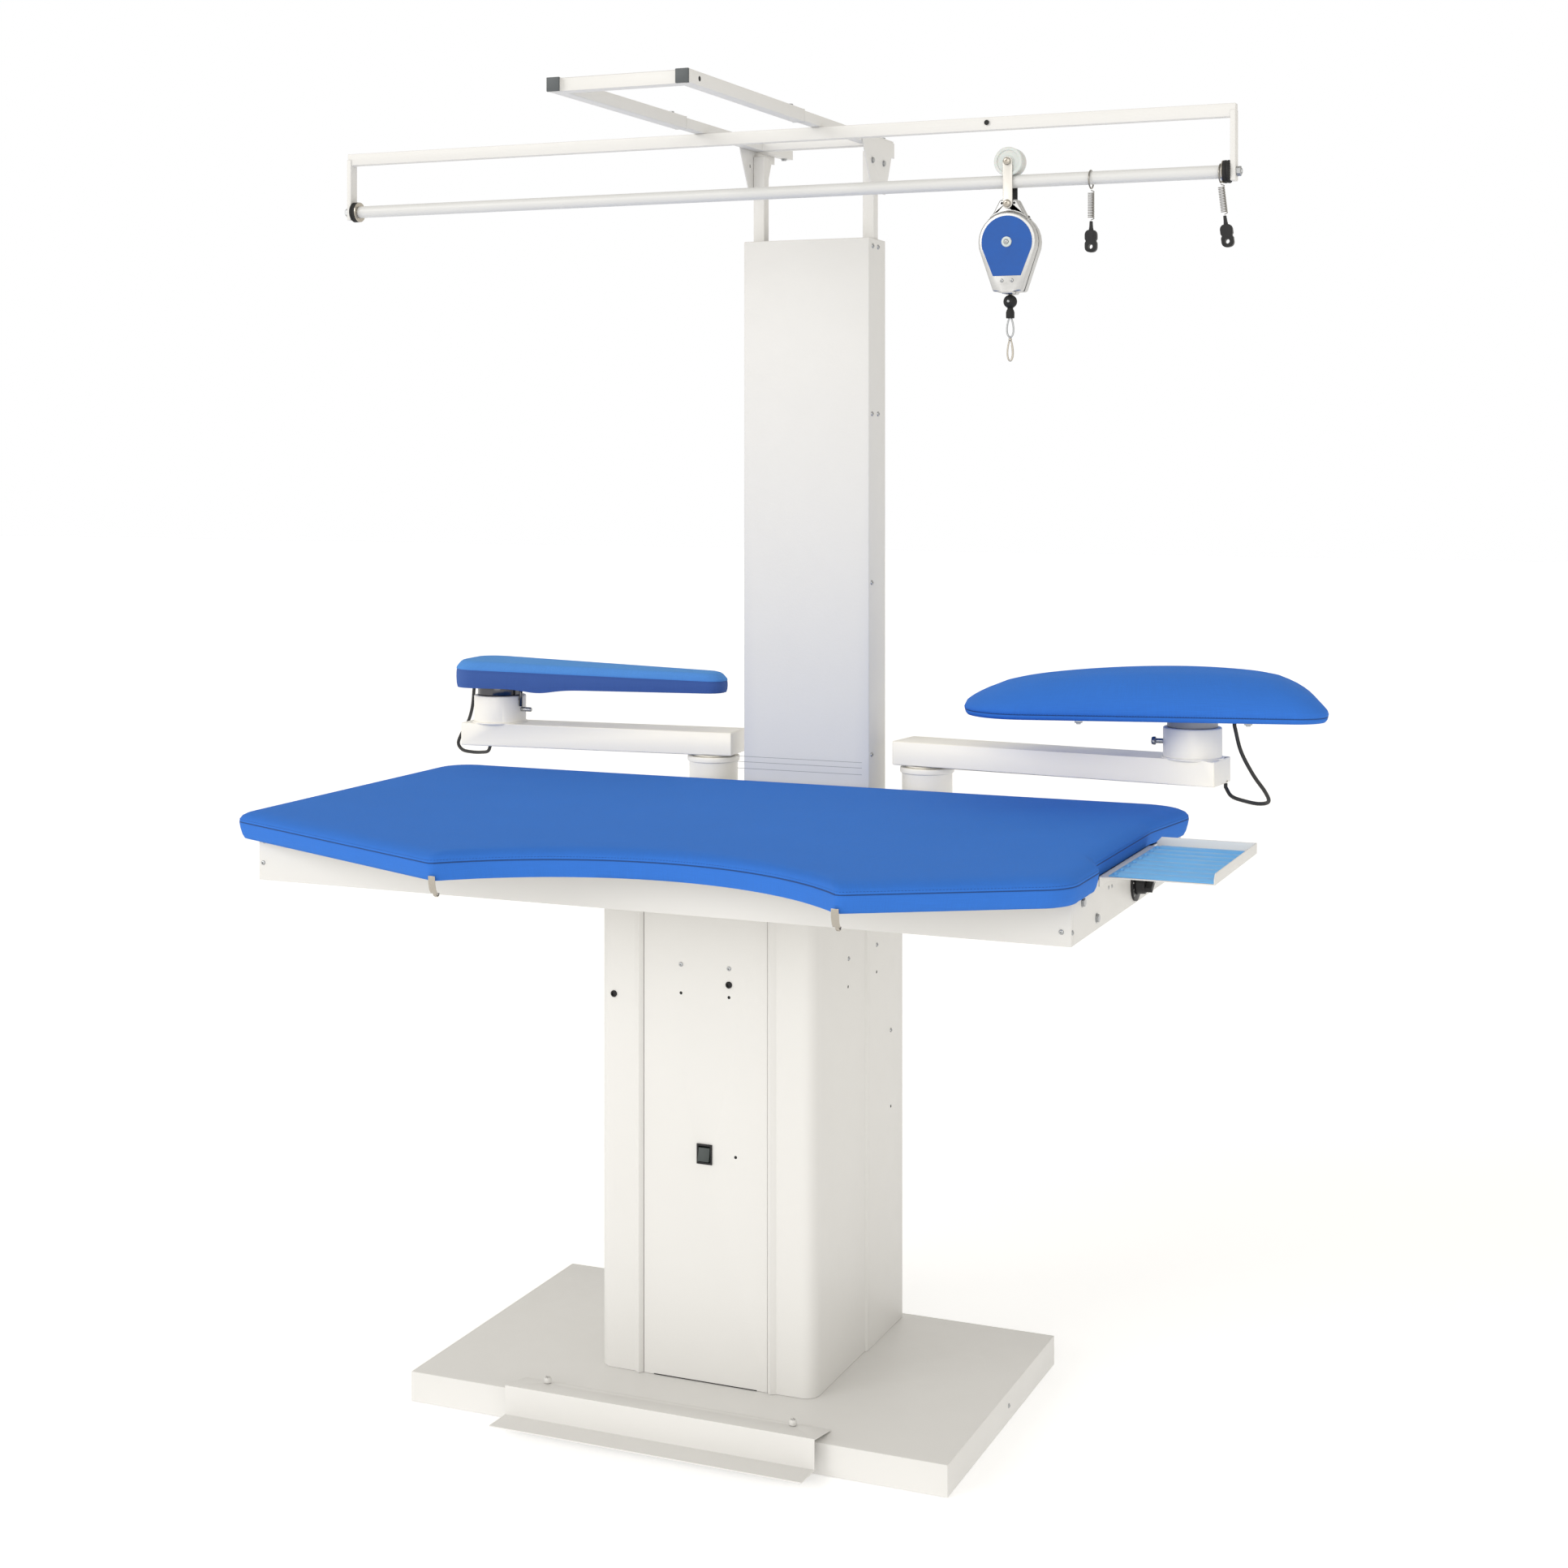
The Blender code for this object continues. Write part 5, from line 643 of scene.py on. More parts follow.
def table_outline():
    """Outline of the table pad with its two points, the scoop between them and the tray notch."""
    left, right = Vector(PAD_POINTS[0]), Vector(PAD_POINTS[1])
    half = (right - left).length / 2
    radius = (half ** 2 + PAD_SCOOP ** 2) / (2 * PAD_SCOOP)
    centre = (left + right) / 2 + Vector((0, PAD_SCOOP - radius))
    spread = math.asin(half / radius)
    side = PAD_CORNERS
    corners = [(side["left"], side["back"], 0.045), (side["left"], side["front_left"], 0.030), (*left, 0.010)]
    for step in range(1, SCOOP_STEPS):
        angle = math.pi / 2 + spread * (1 - 2 * step / SCOOP_STEPS)
        corners.append((centre.x + radius * math.cos(angle), centre.y + radius * math.sin(angle), 0))
    corners += [(*right, 0.010), (side["right_front"], side["front_right"], 0.060),
                (side["right_front"], NOTCH["front"] - NOTCH["ramp"], 0.030),
                (NOTCH["x"], NOTCH["front"], 0.020), (NOTCH["x"], NOTCH["back"], 0.060),
                (side["right"], side["back"], 0.050)]
    return rounded_outline(corners)


def board_outline(near, far, shift, step):
    """Outline of a tapered board from the (place, half width, corner radius) of its two ends."""
    corners = [(x, shift - half, radius) for x, half, radius in (near, far)]
    corners += [(x, shift + half, radius) for x, half, radius in (far, near)]
    return even_outline(rounded_outline(corners, 12), step)


CROWN_SHARES = (0.90, 0.78, 0.64, 0.50, 0.36, 0.22, 0.10)
FLAT_MAP_ROWS = 4


def cover_mesh(outline, centre, profile, bottom, crown, inner, shape, band=0):
    """A stuffed cover of (grow, rise) rings with a crowned top, an underside and a banded foot."""
    mid_x, mid_y = centre
    half_x = max(abs(p.x - mid_x) for p in outline)
    half_y = max(abs(p.y - mid_y) for p in outline)

    def ring(grow, height):
        wide, deep = 1 + grow / half_x, 1 + grow / half_y
        return [Vector((mid_x + (p.x - mid_x) * wide, mid_y + (p.y - mid_y) * deep, height))
                for p in outline]

    rings = [ring(-inner[0], bottom + inner[1]), ring(-inner[0], bottom)]
    flat_from = len(rings) + len(profile) - FLAT_MAP_ROWS
    rings += [ring(grow, bottom + rise) for grow, rise in profile]
    rim = rings[-1]
    for share in CROWN_SHARES:
        rise = crown - (crown - profile[-1][1]) * share ** 2
        rings.append([Vector((mid_x + (p.x - mid_x) * share, mid_y + (p.y - mid_y) * share,
                              bottom + rise)) for p in rim])
    rings = [[shape(point, row) for point in points] for row, points in enumerate(rings)]
    bm = bmesh.new()
    cover = bm.loops.layers.uv.new("cover")
    loops = [[bm.verts.new(point) for point in points] for points in rings]
    count = len(outline)
    lengths, climb = [0.0], [0.0]
    for index in range(count):
        lengths.append(lengths[-1] + (outline[(index + 1) % count] - outline[index]).length)
    for lower, upper in zip(rings, rings[1:]):
        climb.append(climb[-1] + (upper[0] - lower[0]).length)
    for row in range(len(loops) - 1):
        for index in range(count):
            after = (index + 1) % count
            face = bm.faces.new((loops[row][index], loops[row][after], loops[row + 1][after],
                                 loops[row + 1][index]))
            face.material_index = int(row < band)
            places = ((lengths[index], climb[row]), (lengths[index + 1], climb[row]),
                      (lengths[index + 1], climb[row + 1]), (lengths[index], climb[row + 1]))
            for corner, place in zip(face.loops, places):
                corner[cover].uv = corner.vert.co.xy if row >= flat_from else place
    for ends, foot in ((loops[0][::-1], True), (loops[-1], False)):
        face = bm.faces.new(ends)
        face.material_index = int(foot and band > 0)
        for corner in face.loops:
            corner[cover].uv = corner.vert.co.xy
    bmesh.ops.triangulate(bm, faces=[f for f in bm.faces if len(f.verts) > 4])
    bmesh.ops.recalc_face_normals(bm, faces=bm.faces)
    return bm, rings


def about_cup(side, height, turn):
    """The place of something modelled about its cup's axis."""
    return Matrix.Translation((*CUPS[side], height)) @ Matrix.Rotation(turn, 4, "Z")


STITCH_TREE = (
    "Seam Stitches", {"Step": 0.0045, "Stitch Length": 0.0030, "Thread": 0.00055},
    (("line", "GeometryNodeMeshToCurve", {}, {"Mesh": "given.Geometry"}),
     ("points", "GeometryNodeCurveToPoints", {"mode": "LENGTH"},
      {"Curve": "line.Curve", "Length": "given.Step"}),
     ("stitch", "GeometryNodeMeshUVSphere", {}, {"Segments": 6, "Rings": 4, "Radius": 0.5}),
     ("size", "ShaderNodeCombineXYZ", {}, {"X": "given.Thread", "Y": "given.Thread",
                                           "Z": "given.Stitch Length"}),
     ("copies", "GeometryNodeInstanceOnPoints", {}, {
         "Points": "points.Points", "Rotation": "points.Rotation", "Instance": "stitch.Mesh",
         "Scale": "size.Vector"})),
    "copies.Instances")
STITCH_SHARE = 0.7
THREAD = 0.0005


def seam(name, points, node, material, step):
    """A row of stitches along a closed line of points."""
    mesh = bpy.data.meshes.new(name)
    edges = [(index, (index + 1) % len(points)) for index in range(len(points))]
    mesh.from_pydata([tuple(point) for point in points], edges, [])
    piece = placed(name, mesh)
    run_tree(piece, STITCH_TREE, {"Step": step, "Stitch Length": step * STITCH_SHARE, "Thread": THREAD,
                                  "Material": finish(material)})
    settle(piece, None, node)


class IRONING_OT_table_pad(bpy.types.Operator):
    """Sew the table pad's cover with its seam, points, scoop and tray notch"""
    bl_idname = "ironing.table_pad"
    bl_label = "Table pad"

    def execute(self, context):
        settings = context.scene.ironing_covers

        def shape(point, row):
            x, y, z = point
            rise = z - PAD_BOTTOM
            drawn = settings.pucker * max(0.0, 1 - rise / PAD_SEAM) if row > 1 else 0.0
            around = math.atan2(y - PAD_CENTRE[1], x - PAD_CENTRE[0])
            wave = sum(math.sin(around * waves + start) * share for waves, start, share in PAD_GATHERS)
            x -= math.copysign(drawn * (0.5 + 0.5 * wave), x)
            if PAD_RELIEF_X[0] < x < PAD_RELIEF_X[1] and PAD_RELIEF_Y[0] < y < PAD_RELIEF_Y[1]:
                z = max(z, PAD_POCKET + PAD_RELIEF_LIFT)
            if rise > PAD_TOP_FROM:
                z += PAD_TOP_WAVE * math.sin(9.0 * x + 2.0 * math.sin(4.0 * y)) * math.sin(7.0 * y + 1.0)
            return Vector((x, y, z))

        bm, rings = cover_mesh(even_outline(table_outline(), PAD_STEP), PAD_CENTRE, PAD_PROFILE, PAD_BOTTOM,
                               PAD_CROWN, (PAD_LIP, PAD_POCKET - PAD_BOTTOM), shape)
        cover = new_piece("table_cover", bm, "pad_cloth", "table_pad", True, COVER_SHARP)
        wire("table_cover_seam", rings[PAD_SEAM_ROW], PAD_SEAM_WIRE, "seam_thread", "table_pad", closed=True)
        seam("table_cover_stitches", rings[PAD_STITCH_ROW], "table_pad", "seam_thread", settings.stitch_step)
        return {"FINISHED"}


class IRONING_OT_buck(bpy.types.Operator):
    """Sew the domed buck's cover and its hem"""
    bl_idname = "ironing.buck"
    bl_label = "Buck"

    def execute(self, context):
        settings = context.scene.ironing_covers
        size = BUCK
        turn = about_cup("right", size["bottom"], size["heading"])
        outline = board_outline((size["near"], size["narrow"], size["narrow_round"]),
                                (size["far"], size["wide"], size["wide_round"]), 0.0, size["step"])

        def shape(point, row):
            x, y, z = point
            away = x - size["peak"]
            fall = (size["fall_far"] if away > 0 else size["fall_near"]) * away ** 2
            near_hem = max(0.0, 1 - abs(z - size["crease_at"]) / size["crease_reach"])
            crease = settings.pucker * near_hem * math.sin(size["creases"] * (x + y))
            z -= fall * min(1.0, max(0.0, (z - size["fall_from"]) / size["fall_over"]))
            return Vector((x, y + math.copysign(crease, y), z))

        bm, rings = cover_mesh(outline, (size["centre"], 0.0), BUCK_PROFILE, 0.0, size["crown"], size["foot"],
                               shape)
        cover = new_piece("buck_cover", bm, "pad_cloth", "buck_pad", True, COVER_SHARP, at=turn)
        wire("buck_cover_hem", [turn @ p for p in rings[size["hem_row"]]], size["hem_wire"], "seam_thread",
             "buck_pad", closed=True)
        seam("buck_cover_stitches", [turn @ p for p in rings[size["stitch_row"]]], "buck_pad", "seam_thread",
             size["stitch_step"])
        clips = bmesh.new()
        for along in BUCK_CLIPS:
            for half, low, high in CLIP_BLOCKS:
                slab(clips, (along - half, *low), (along + half, *high))
        bevelled(new_piece("buck_cover_clips", clips, "zinc", "buck_pad", at=turn), CLIP_EDGE)
        return {"FINISHED"}


class IRONING_OT_sleeve_board(bpy.types.Operator):
    """Sew the sleeve board's cover with its darker lower band"""
    bl_idname = "ironing.sleeve_board"
    bl_label = "Sleeve board"

    def execute(self, context):
        size = SLEEVE
        turn = about_cup("left", size["bottom"], size["heading"])
        outline = board_outline((size["heel"], size["heel_half"], size["heel_round"]),
                                (size["tip"], size["tip_half"], size["tip_round"]), size["shift"],
                                size["step"])
        band, top = SLEEVE_PROFILE[SLEEVE_BAND_ROWS - 2][1], SLEEVE_PROFILE[-1][1]

        def shape(point, row):
            x, y, z = point
            share = (x - size["heel"]) / (size["tip"] - size["heel"])
            border = size["heel_band"] + share * (size["tip_band"] - size["heel_band"])
            crown = size["heel_top"] + share * (size["tip_top"] - size["heel_top"])
            sag = size["sag"] * math.exp(-((x - size["sag_at"]) / size["sag_width"]) ** 2)
            if z < band:
                z = z * border / band - sag * (1 - z / band)
            else:
                z = border + (z - band) * (crown - border) / (top - band)
            return Vector((x, y, z))

        bm, rings = cover_mesh(outline, (size["centre"], 0.0), SLEEVE_PROFILE, 0.0, size["crown"],
                               size["foot"], shape, SLEEVE_BAND_ROWS)
        cover = new_piece("sleeve_cover", bm, None, "sleeve_pad", True, COVER_SHARP, at=turn)
        for cloth in ("sleeve_cloth", "sleeve_band"):
            cover.data.materials.append(finish(cloth))
        seam("sleeve_cover_seam", [turn @ p for p in rings[size["stitch_row"]]], "sleeve_pad",
             "sleeve_thread", size["stitch_step"])
        return {"FINISHED"}


# Sheet metal, tubes and castings

# Finish, edge radius and names of the rigid nodes that keep their CAD shape with rounded edges
ROUNDED_NODES = (
    ("powder_coat", 0.0014, "base_pan"),
    ("powder_coat", 0.0007, "foot_pedal"),
    ("powder_coat", 0.0005, "pedestal_corner_right pedestal_corner_left"),
    ("powder_coat", 0.0005, "pedestal_front_panel pedestal_rear_cover"),
    ("powder_coat", 0.0006, "suction_box skirt_front"),
    ("textured_coat", 0.0018, "tower_box"),
    ("powder_coat", 0.0012, "post_left post_right"),
    ("powder_coat", 0.0006, "gusset_left gusset_right"),
    ("powder_coat", 0.0014, "rear_frame"),
    ("powder_coat", 0.0015, "front_frame"),
    ("powder_coat", 0.0012, "rail_bar"),
    ("arm_coat", 0.0014, "pivot_socket_left pivot_socket_right"),
    ("arm_coat", 0.0024, "arm_right arm_left"),
    ("grey_plastic", 0.0007, "frame_cap_left frame_cap_right"),
    ("powder_coat", 0.0005, "iron_tray"),
    ("black_plastic", 0.0005, "switch_housing"),
    ("rocker_plastic", 0.0005, "rocker_switch"),
    ("black_plastic", 0.0005, "thermostat_body"),
    ("satin_nickel", 0.0004, "trolley_straps"),
    ("cast_aluminium", 0.0032, "balancer_front balancer_back"),
    ("black_plastic", 0.0009, "hose_clip_inner hose_clip_outer"),
    ("band_grey", 0.0007, "spigot_right"),
    ("dark_chrome", 0.0007, "spigot_left"),
    ("cast_aluminium", 0, "work_plate"),
)
# Nodes that stay as they are, with a better material
PLAIN_NODES = {
    "base_filling": "chipboard", "blower_housing": "cast_aluminium",
    "blower_impeller": "cast_aluminium", "air_duct": "grey_plastic",
}

RIB_FOOT = 0.120
RIB_BAND = 0.0007
RIB_STEEPER = 0.007
RIB_SPREAD = 0.005
RIB_RISE = 0.006
STEP_FOOT_Y = 0.068
STEP_PEAK_Y = 0.084
STEP_BAND = 0.003
STEP_STEEPER = 0.0125
SIDE_STEP = 0.0035
PANEL_SLOT = 0.0857
PANEL_FOLD = PANEL_SLOT + 0.010
PLATE_SHIFT_BACK = 0.020
PLATE_SHIFT_FRONT = 0.013
SAME_POINT = 1e-6
FLAT_ANGLE = math.radians(0.4)
EDGE_ANGLE = math.radians(25)
EDGE_ROOM = 2.2


def rib_slope(point):
    """Spreads the ribs beside the pedestal's front panel and turns the side ribs into steps."""
    outward = math.copysign(1, point.x)
    if point.y < -RIB_FOOT and abs(point.x) < RIB_FOOT + RIB_BAND:
        if abs(point.x) > RIB_FOOT - RIB_BAND:
            point.x -= outward * RIB_STEEPER
        point.x += outward * RIB_SPREAD
    elif point.y > STEP_PEAK_Y + STEP_BAND:
        point.x += outward * SIDE_STEP
    elif point.y > STEP_PEAK_Y - STEP_BAND:
        point.x -= outward * (RIB_RISE - SIDE_STEP)
    elif point.y > STEP_FOOT_Y - STEP_BAND:
        point.y += STEP_STEEPER


def panel_width(point):
    """Widens the pedestal's front panel up to its ribs."""
    if abs(point.x) > PANEL_FOLD:
        point.x += math.copysign(RIB_SPREAD, point.x)


def rear_step(point):
    """Sets the sides of the pedestal's rear cover proud of the corner covers."""
    point.x += math.copysign(SIDE_STEP, point.x)


def plate_edge(point):
    """Brings the right edge of the plate inside the pad's own edge."""
    if point.x > NOTCH["x"] - PAD_LIP:
        side = PAD_CORNERS
        if point.y > 0:
            share = (point.y - NOTCH["back"]) / (side["back"] - NOTCH["back"])
            limit = NOTCH["x"] + max(0.0, share) * (side["right"] - NOTCH["x"])
            point.x = min(point.x - PLATE_SHIFT_BACK, limit - PAD_LIP)
        else:
            point.x = min(point.x - PLATE_SHIFT_FRONT, side["right_front"] - PAD_LIP)


RESHAPED = {
    "pedestal_corner_left": rib_slope, "pedestal_corner_right": rib_slope,
    "pedestal_front_panel": panel_width, "pedestal_rear_cover": rear_step, "work_plate": plate_edge,
}


def softened(node, material, width):
    """A node's shape with its longer edges rounded, in place of the node."""
    bm = bmesh.new()
    bm.from_mesh(frame["nodes"][node].data)
    bmesh.ops.remove_doubles(bm, verts=bm.verts, dist=SAME_POINT)
    if node in RESHAPED:
        for vertex in bm.verts:
            RESHAPED[node](vertex.co)
    bmesh.ops.dissolve_limit(bm, angle_limit=FLAT_ANGLE, verts=bm.verts, edges=bm.edges)
    if width:
        edges = [edge for edge in bm.edges if edge.is_manifold and edge.calc_face_angle(0) > EDGE_ANGLE
                 and edge.calc_length() > EDGE_ROOM * width]
        bmesh.ops.bevel(bm, geom=edges, offset=width, segments=3, profile=0.5, affect="EDGES",
                        clamp_overlap=False)
    bmesh.ops.dissolve_degenerate(bm, dist=SAME_POINT, edges=bm.edges)
    bmesh.ops.recalc_face_normals(bm, faces=bm.faces)
    new_piece(f"{node}_finished", bm, material, node, True, CAD_SHARP)


class IRONING_OT_sheet_metal(bpy.types.Operator):
    """Round the edges of the folded, welded and cast pieces and coat them"""
    bl_idname = "ironing.sheet_metal"
    bl_label = "Sheet metal and castings"

    def execute(self, context):
        for material, width, nodes in ROUNDED_NODES:
            for node in nodes.split():
                softened(node, material, width)
        straps = bpy.data.objects["trolley_straps_finished"].data
        straps.materials.append(finish("black_plastic"))
        for face in straps.polygons:
            face.material_index = int(face.center.y > RAIL_Y)
        for node, material in PLAIN_NODES.items():
            mesh = frame["nodes"][node].data
            mesh.materials.clear()
            mesh.materials.append(finish(material))
        return {"FINISHED"}


# Fasteners

DOME_STEPS = 5


def dome_profile(height):
    """The (radius, height) profile of a dome of unit radius."""
    angles = [math.pi / 2 * step / DOME_STEPS for step in range(DOME_STEPS + 1)]
    return [(math.sin(angle), height * math.cos(angle)) for angle in angles] + [(0, 0)]


# Each head's turned parts of unit radius: the (radius, height) profile and the number of sides
HEADS = {
    "pan": [(((0, 0.10), (0.30, 0.10), (0.34, 0.50), (0.62, 0.46), (0.86, 0.32), (1.0, 0.0), (0, 0.0)), 24)],
    "hex": [(((0, 0), (1.12, 0), (1.12, 0.12), (0.98, 0.12), (0.98, 0.62), (0.88, 0.70), (0, 0.70)), 6),
            (((0, -0.02), (1.24, -0.02), (1.24, 0.08), (0, 0.08)), 24)],
    "socket": [(((0, -0.01), (1.0, -0.01), (1.0, 0.30), (0.90, 0.42), (0.58, 0.42), (0.52, 0.05), (0, 0.05)),
                24)],
    "rivet": [(dome_profile(0.42), 20)],
    # The hole head is a flat disc that carries the painted shade of an open hole's unlit inside
    "hole": [(((0, 0.002), (0.90, 0.002), (0.96, 0.04), (1.02, 0.03), (1.06, 0.0), (0, 0.0)), 20)],
}
FASTENER_TREE = (
    "Fasteners", {"Head": "Object"},
    (("head", "GeometryNodeObjectInfo", {}, {"Object": "given.Head"}),
     ("facing", "GeometryNodeInputNamedAttribute", {"data_type": "FLOAT_VECTOR"}, {"Name": "facing"}),
     ("size", "GeometryNodeInputNamedAttribute", {"data_type": "FLOAT"}, {"Name": "size"}),
     ("turn", "FunctionNodeAlignRotationToVector", {"axis": "Z"}, {"Vector": "facing.Attribute"}),
     ("copies", "GeometryNodeInstanceOnPoints", {}, {
         "Points": "given.Geometry", "Instance": "head.Geometry", "Rotation": "turn.Rotation",
         "Scale": "size.Attribute"})),
    "copies.Instances")


def fasteners(name, kind, places, node, material="zinc"):
    """Heads of one kind at (point, facing, radius) places."""
    mesh = bpy.data.meshes.new(name)
    mesh.from_pydata([point for point, facing, radius in places], [], [])
    mesh.attributes.new("facing", "FLOAT_VECTOR", "POINT")
    mesh.attributes.new("size", "FLOAT", "POINT")
    for index, (point, facing, radius) in enumerate(places):
        mesh.attributes["facing"].data[index].vector = facing
        mesh.attributes["size"].data[index].value = radius
    bm = bmesh.new()
    for profile, sides in HEADS[kind]:
        lathe(bm, profile, (0, 0, 0), "Z", sides)
    piece = placed(name, mesh)
    head = placed(kind, mesh_of(kind, bm, CURVED_SHARP))
    run_tree(piece, FASTENER_TREE, {"Head": head, "Material": finish(material)})
    piece.data.set_sharp_from_angle(angle=math.radians(CURVED_SHARP))
    bpy.data.objects.remove(head, do_unlink=True)
    settle(piece, None, node)


def on_front(y, places, radius):
    """Fasteners at (x, z) places on a front face."""
    return [((x, y, z), FRONT, radius) for x, z in places]


def on_sides(x, places, radius):
    """Fasteners at (y, z) places on both side faces."""
    return [((sign * x, y, z), (sign, 0, 0), radius) for sign in SIDES for y, z in places]


def on_pedestal_sides(places, radius):
    """Fasteners at (y, z) places on the sides of the pedestal, which step out behind the side ribs."""
    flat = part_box("pedestal_corner_right")[1].x - RIB_RISE
    return [((sign * (flat + SIDE_STEP * (y > STEP_PEAK_Y)), y, z), (sign, 0, 0), radius)
            for sign in SIDES for y, z in places]


PEDESTAL_FRONT_SOCKETS = ((-0.154, 0.622), (0.040, 0.652))
PEDESTAL_FRONT_SCREWS = ((-0.040, 0.6765), (0.040, 0.6765))
PEDESTAL_FRONT_HOLES = ((-0.040, 0.633), (0.040, 0.633), (0.051, 0.393))
PEDESTAL_SIDE_SCREWS = ((0.011, 0.676), (0.125, 0.676), (0.189, 0.5265))
PEDESTAL_SIDE_HOLES = ((0.009, 0.633), (0.124, 0.633), (0.189, 0.404))
SKIRT_FRONT_SCREWS = ((-0.633, 0.829), (-0.631, 0.862), (0.627, 0.822))
SKIRT_SIDE_SCREW = (-0.3595, 0.821)
SKIRT_SIDE_BOLTS = ((-0.310, 0.853), (-0.239, 0.819))
SKIRT_SIDE_RIVETS = ((-0.176, 0.850), (-0.159, 0.849))
BASE_SIDE_SCREW = (0.020, 0.024)
TOWER_SIDE_SCREWS = ((0.292, 1.799), (0.317, 1.799), (0.289, 1.520), (0.317, 1.520), (0.287, 1.240),
                     (0.287, 0.9545))
TOWER_SEAMS = (0.946, 0.937, 0.926)
SEAM_INSET, SEAM_DEPTH, SEAM_HEIGHT = 0.001, 0.0002, 0.0007
SLOT_PROUD, SLOT_DEPTH, SLOT_HEIGHT = 0.0003, 0.0004, 0.0012
TUBE_HALF = 0.010
TUBE_BOLT_Y = -0.035
TUBE_HOLE_Y = -0.386
REAR_BOLTS_Y = (0.330, 0.372)
REAR_FOOT_BOLT_Y = 0.420
GUSSET_BOLTS_Y = (0.2945, 0.347)
GUSSET_BOLT_DROP = 0.040
GUSSET_EDGE = 0.011
RAIL_HOLE_X = 0.3844
RAIL_HOLE_DROP = 0.0085
SCREW, TOWER_SCREW, SOCKET = 0.0036, 0.0036 * 1.2, 0.0052
HOLE, TUBE_HOLE, RAIL_HOLE = 0.0023, 0.0036, 0.0038
BOX_BOLT, TUBE_BOLT, REAR_BOLT, GUSSET_BOLT, RIVET = 0.0058, 0.0052, 0.0050, 0.0044, 0.0028


class IRONING_OT_fasteners(bpy.types.Operator):
    """Set the screws, bolts, rivets and open holes that hold the sheet metal together"""
    bl_idname = "ironing.fasteners"
    bl_label = "Fasteners"

    def execute(self, context):
        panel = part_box("pedestal_front_panel")[0]
        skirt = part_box("skirt_front")
        box_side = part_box("suction_box")[1].x
        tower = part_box("tower_box")
        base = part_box("base_pan")
        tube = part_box("front_frame")[1]
        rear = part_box("rear_frame")
        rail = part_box("rail_bar")
        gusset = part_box("gusset_right")[1]
        screws = on_front(panel.y, PEDESTAL_FRONT_SCREWS, SCREW)
        screws += on_pedestal_sides(PEDESTAL_SIDE_SCREWS, SCREW)
        screws += on_front(skirt[0].y, SKIRT_FRONT_SCREWS, SCREW)
        screws += [((skirt[1].x, *SKIRT_SIDE_SCREW), RIGHT, SCREW),
                   ((base[1].x, *BASE_SIDE_SCREW), RIGHT, SCREW),
                   ((base[0].x, *BASE_SIDE_SCREW), LEFT, SCREW)]
        screws += on_sides(tower[1].x, TOWER_SIDE_SCREWS, TOWER_SCREW)
        fasteners("panel_screws", "pan", screws, "base_pan")
        fasteners("panel_sockets", "socket", on_front(panel.y, PEDESTAL_FRONT_SOCKETS, SOCKET), "base_pan",
                  "black_plastic")
        # The open holes are near-black discs of painted shade for their unlit insides
        holes = on_front(panel.y, PEDESTAL_FRONT_HOLES, HOLE) + on_pedestal_sides(PEDESTAL_SIDE_HOLES, HOLE)
        fasteners("panel_holes", "hole", holes, "base_pan", "dark_hole")
        fasteners("box_bolts", "hex", on_sides(box_side, SKIRT_SIDE_BOLTS, BOX_BOLT), "base_pan")
        rivets = [((box_side, y, z), RIGHT, RIVET) for y, z in SKIRT_SIDE_RIVETS]
        fasteners("box_rivets", "rivet", rivets, "base_pan")
        tube_x = tube.x - TUBE_HALF
        tube_bolts = [((sign * tube_x, TUBE_BOLT_Y, tube.z), UP, TUBE_BOLT) for sign in SIDES]
        fasteners("frame_clamp_bolts", "hex", tube_bolts, "front_frame")
        # The tube's open hole and the rail bar's are near-black discs of painted shade
        tube_hole = (tube.x, TUBE_HOLE_Y, tube.z - TUBE_HALF)
        fasteners("frame_holes", "hole", [(tube_hole, RIGHT, TUBE_HOLE)], "front_frame", "dark_hole")
        rail_hole = (RAIL_HOLE_X, rail[0].y, rail[1].z - RAIL_HOLE_DROP)
        fasteners("rail_hole", "hole", [(rail_hole, FRONT, RAIL_HOLE)], "rail_bar", "dark_hole")
        seams = bmesh.new()
        for z in TOWER_SEAMS:
            slab(seams, (tower[0].x + SEAM_INSET, tower[0].y - SEAM_DEPTH, z),
                 (tower[1].x - SEAM_INSET, tower[0].y + SEAM_DEPTH, z + SEAM_HEIGHT))
        new_piece("tower_seams", seams, "coat_shadow", "tower_box")
        # The slot at the panel's foot is a near-black strip of painted shade in its gap
        slot = bmesh.new()
        slab(slot, (-PANEL_SLOT, panel.y - SLOT_PROUD, panel.z),
             (PANEL_SLOT, panel.y + SLOT_DEPTH, panel.z + SLOT_HEIGHT))
        new_piece("panel_foot_slot", slot, "dark_hole", "pedestal_front_panel")
        gusset_places = [(y, gusset.z - GUSSET_BOLT_DROP) for y in GUSSET_BOLTS_Y]
        plate_bolts = on_sides(gusset.x, gusset_places, GUSSET_BOLT)
        plate_bolts += [((sign * (gusset.x - GUSSET_EDGE), y, rear[1].z), UP, REAR_BOLT)
                        for sign in SIDES for y in REAR_BOLTS_Y]
        plate_bolts += [((-tube_x, REAR_FOOT_BOLT_Y, rear[0].z), DOWN, REAR_BOLT)]
        fasteners("gusset_bolts", "hex", plate_bolts, "gusset_right")
        return {"FINISHED"}


# Tray mat and thermostat

MAT_RIBS = 8
MAT_SHEET = 0.0012
MAT_EDGE, MAT_LAP = 0.0115, 0.0005
RIB_STEPS = 12
RIB_GAP = 0.08
RIB_FULLNESS = 0.55
FOOT_RADIUS, FOOT_HEIGHT, FOOT_X = 0.0036, 0.0024, 0.0058


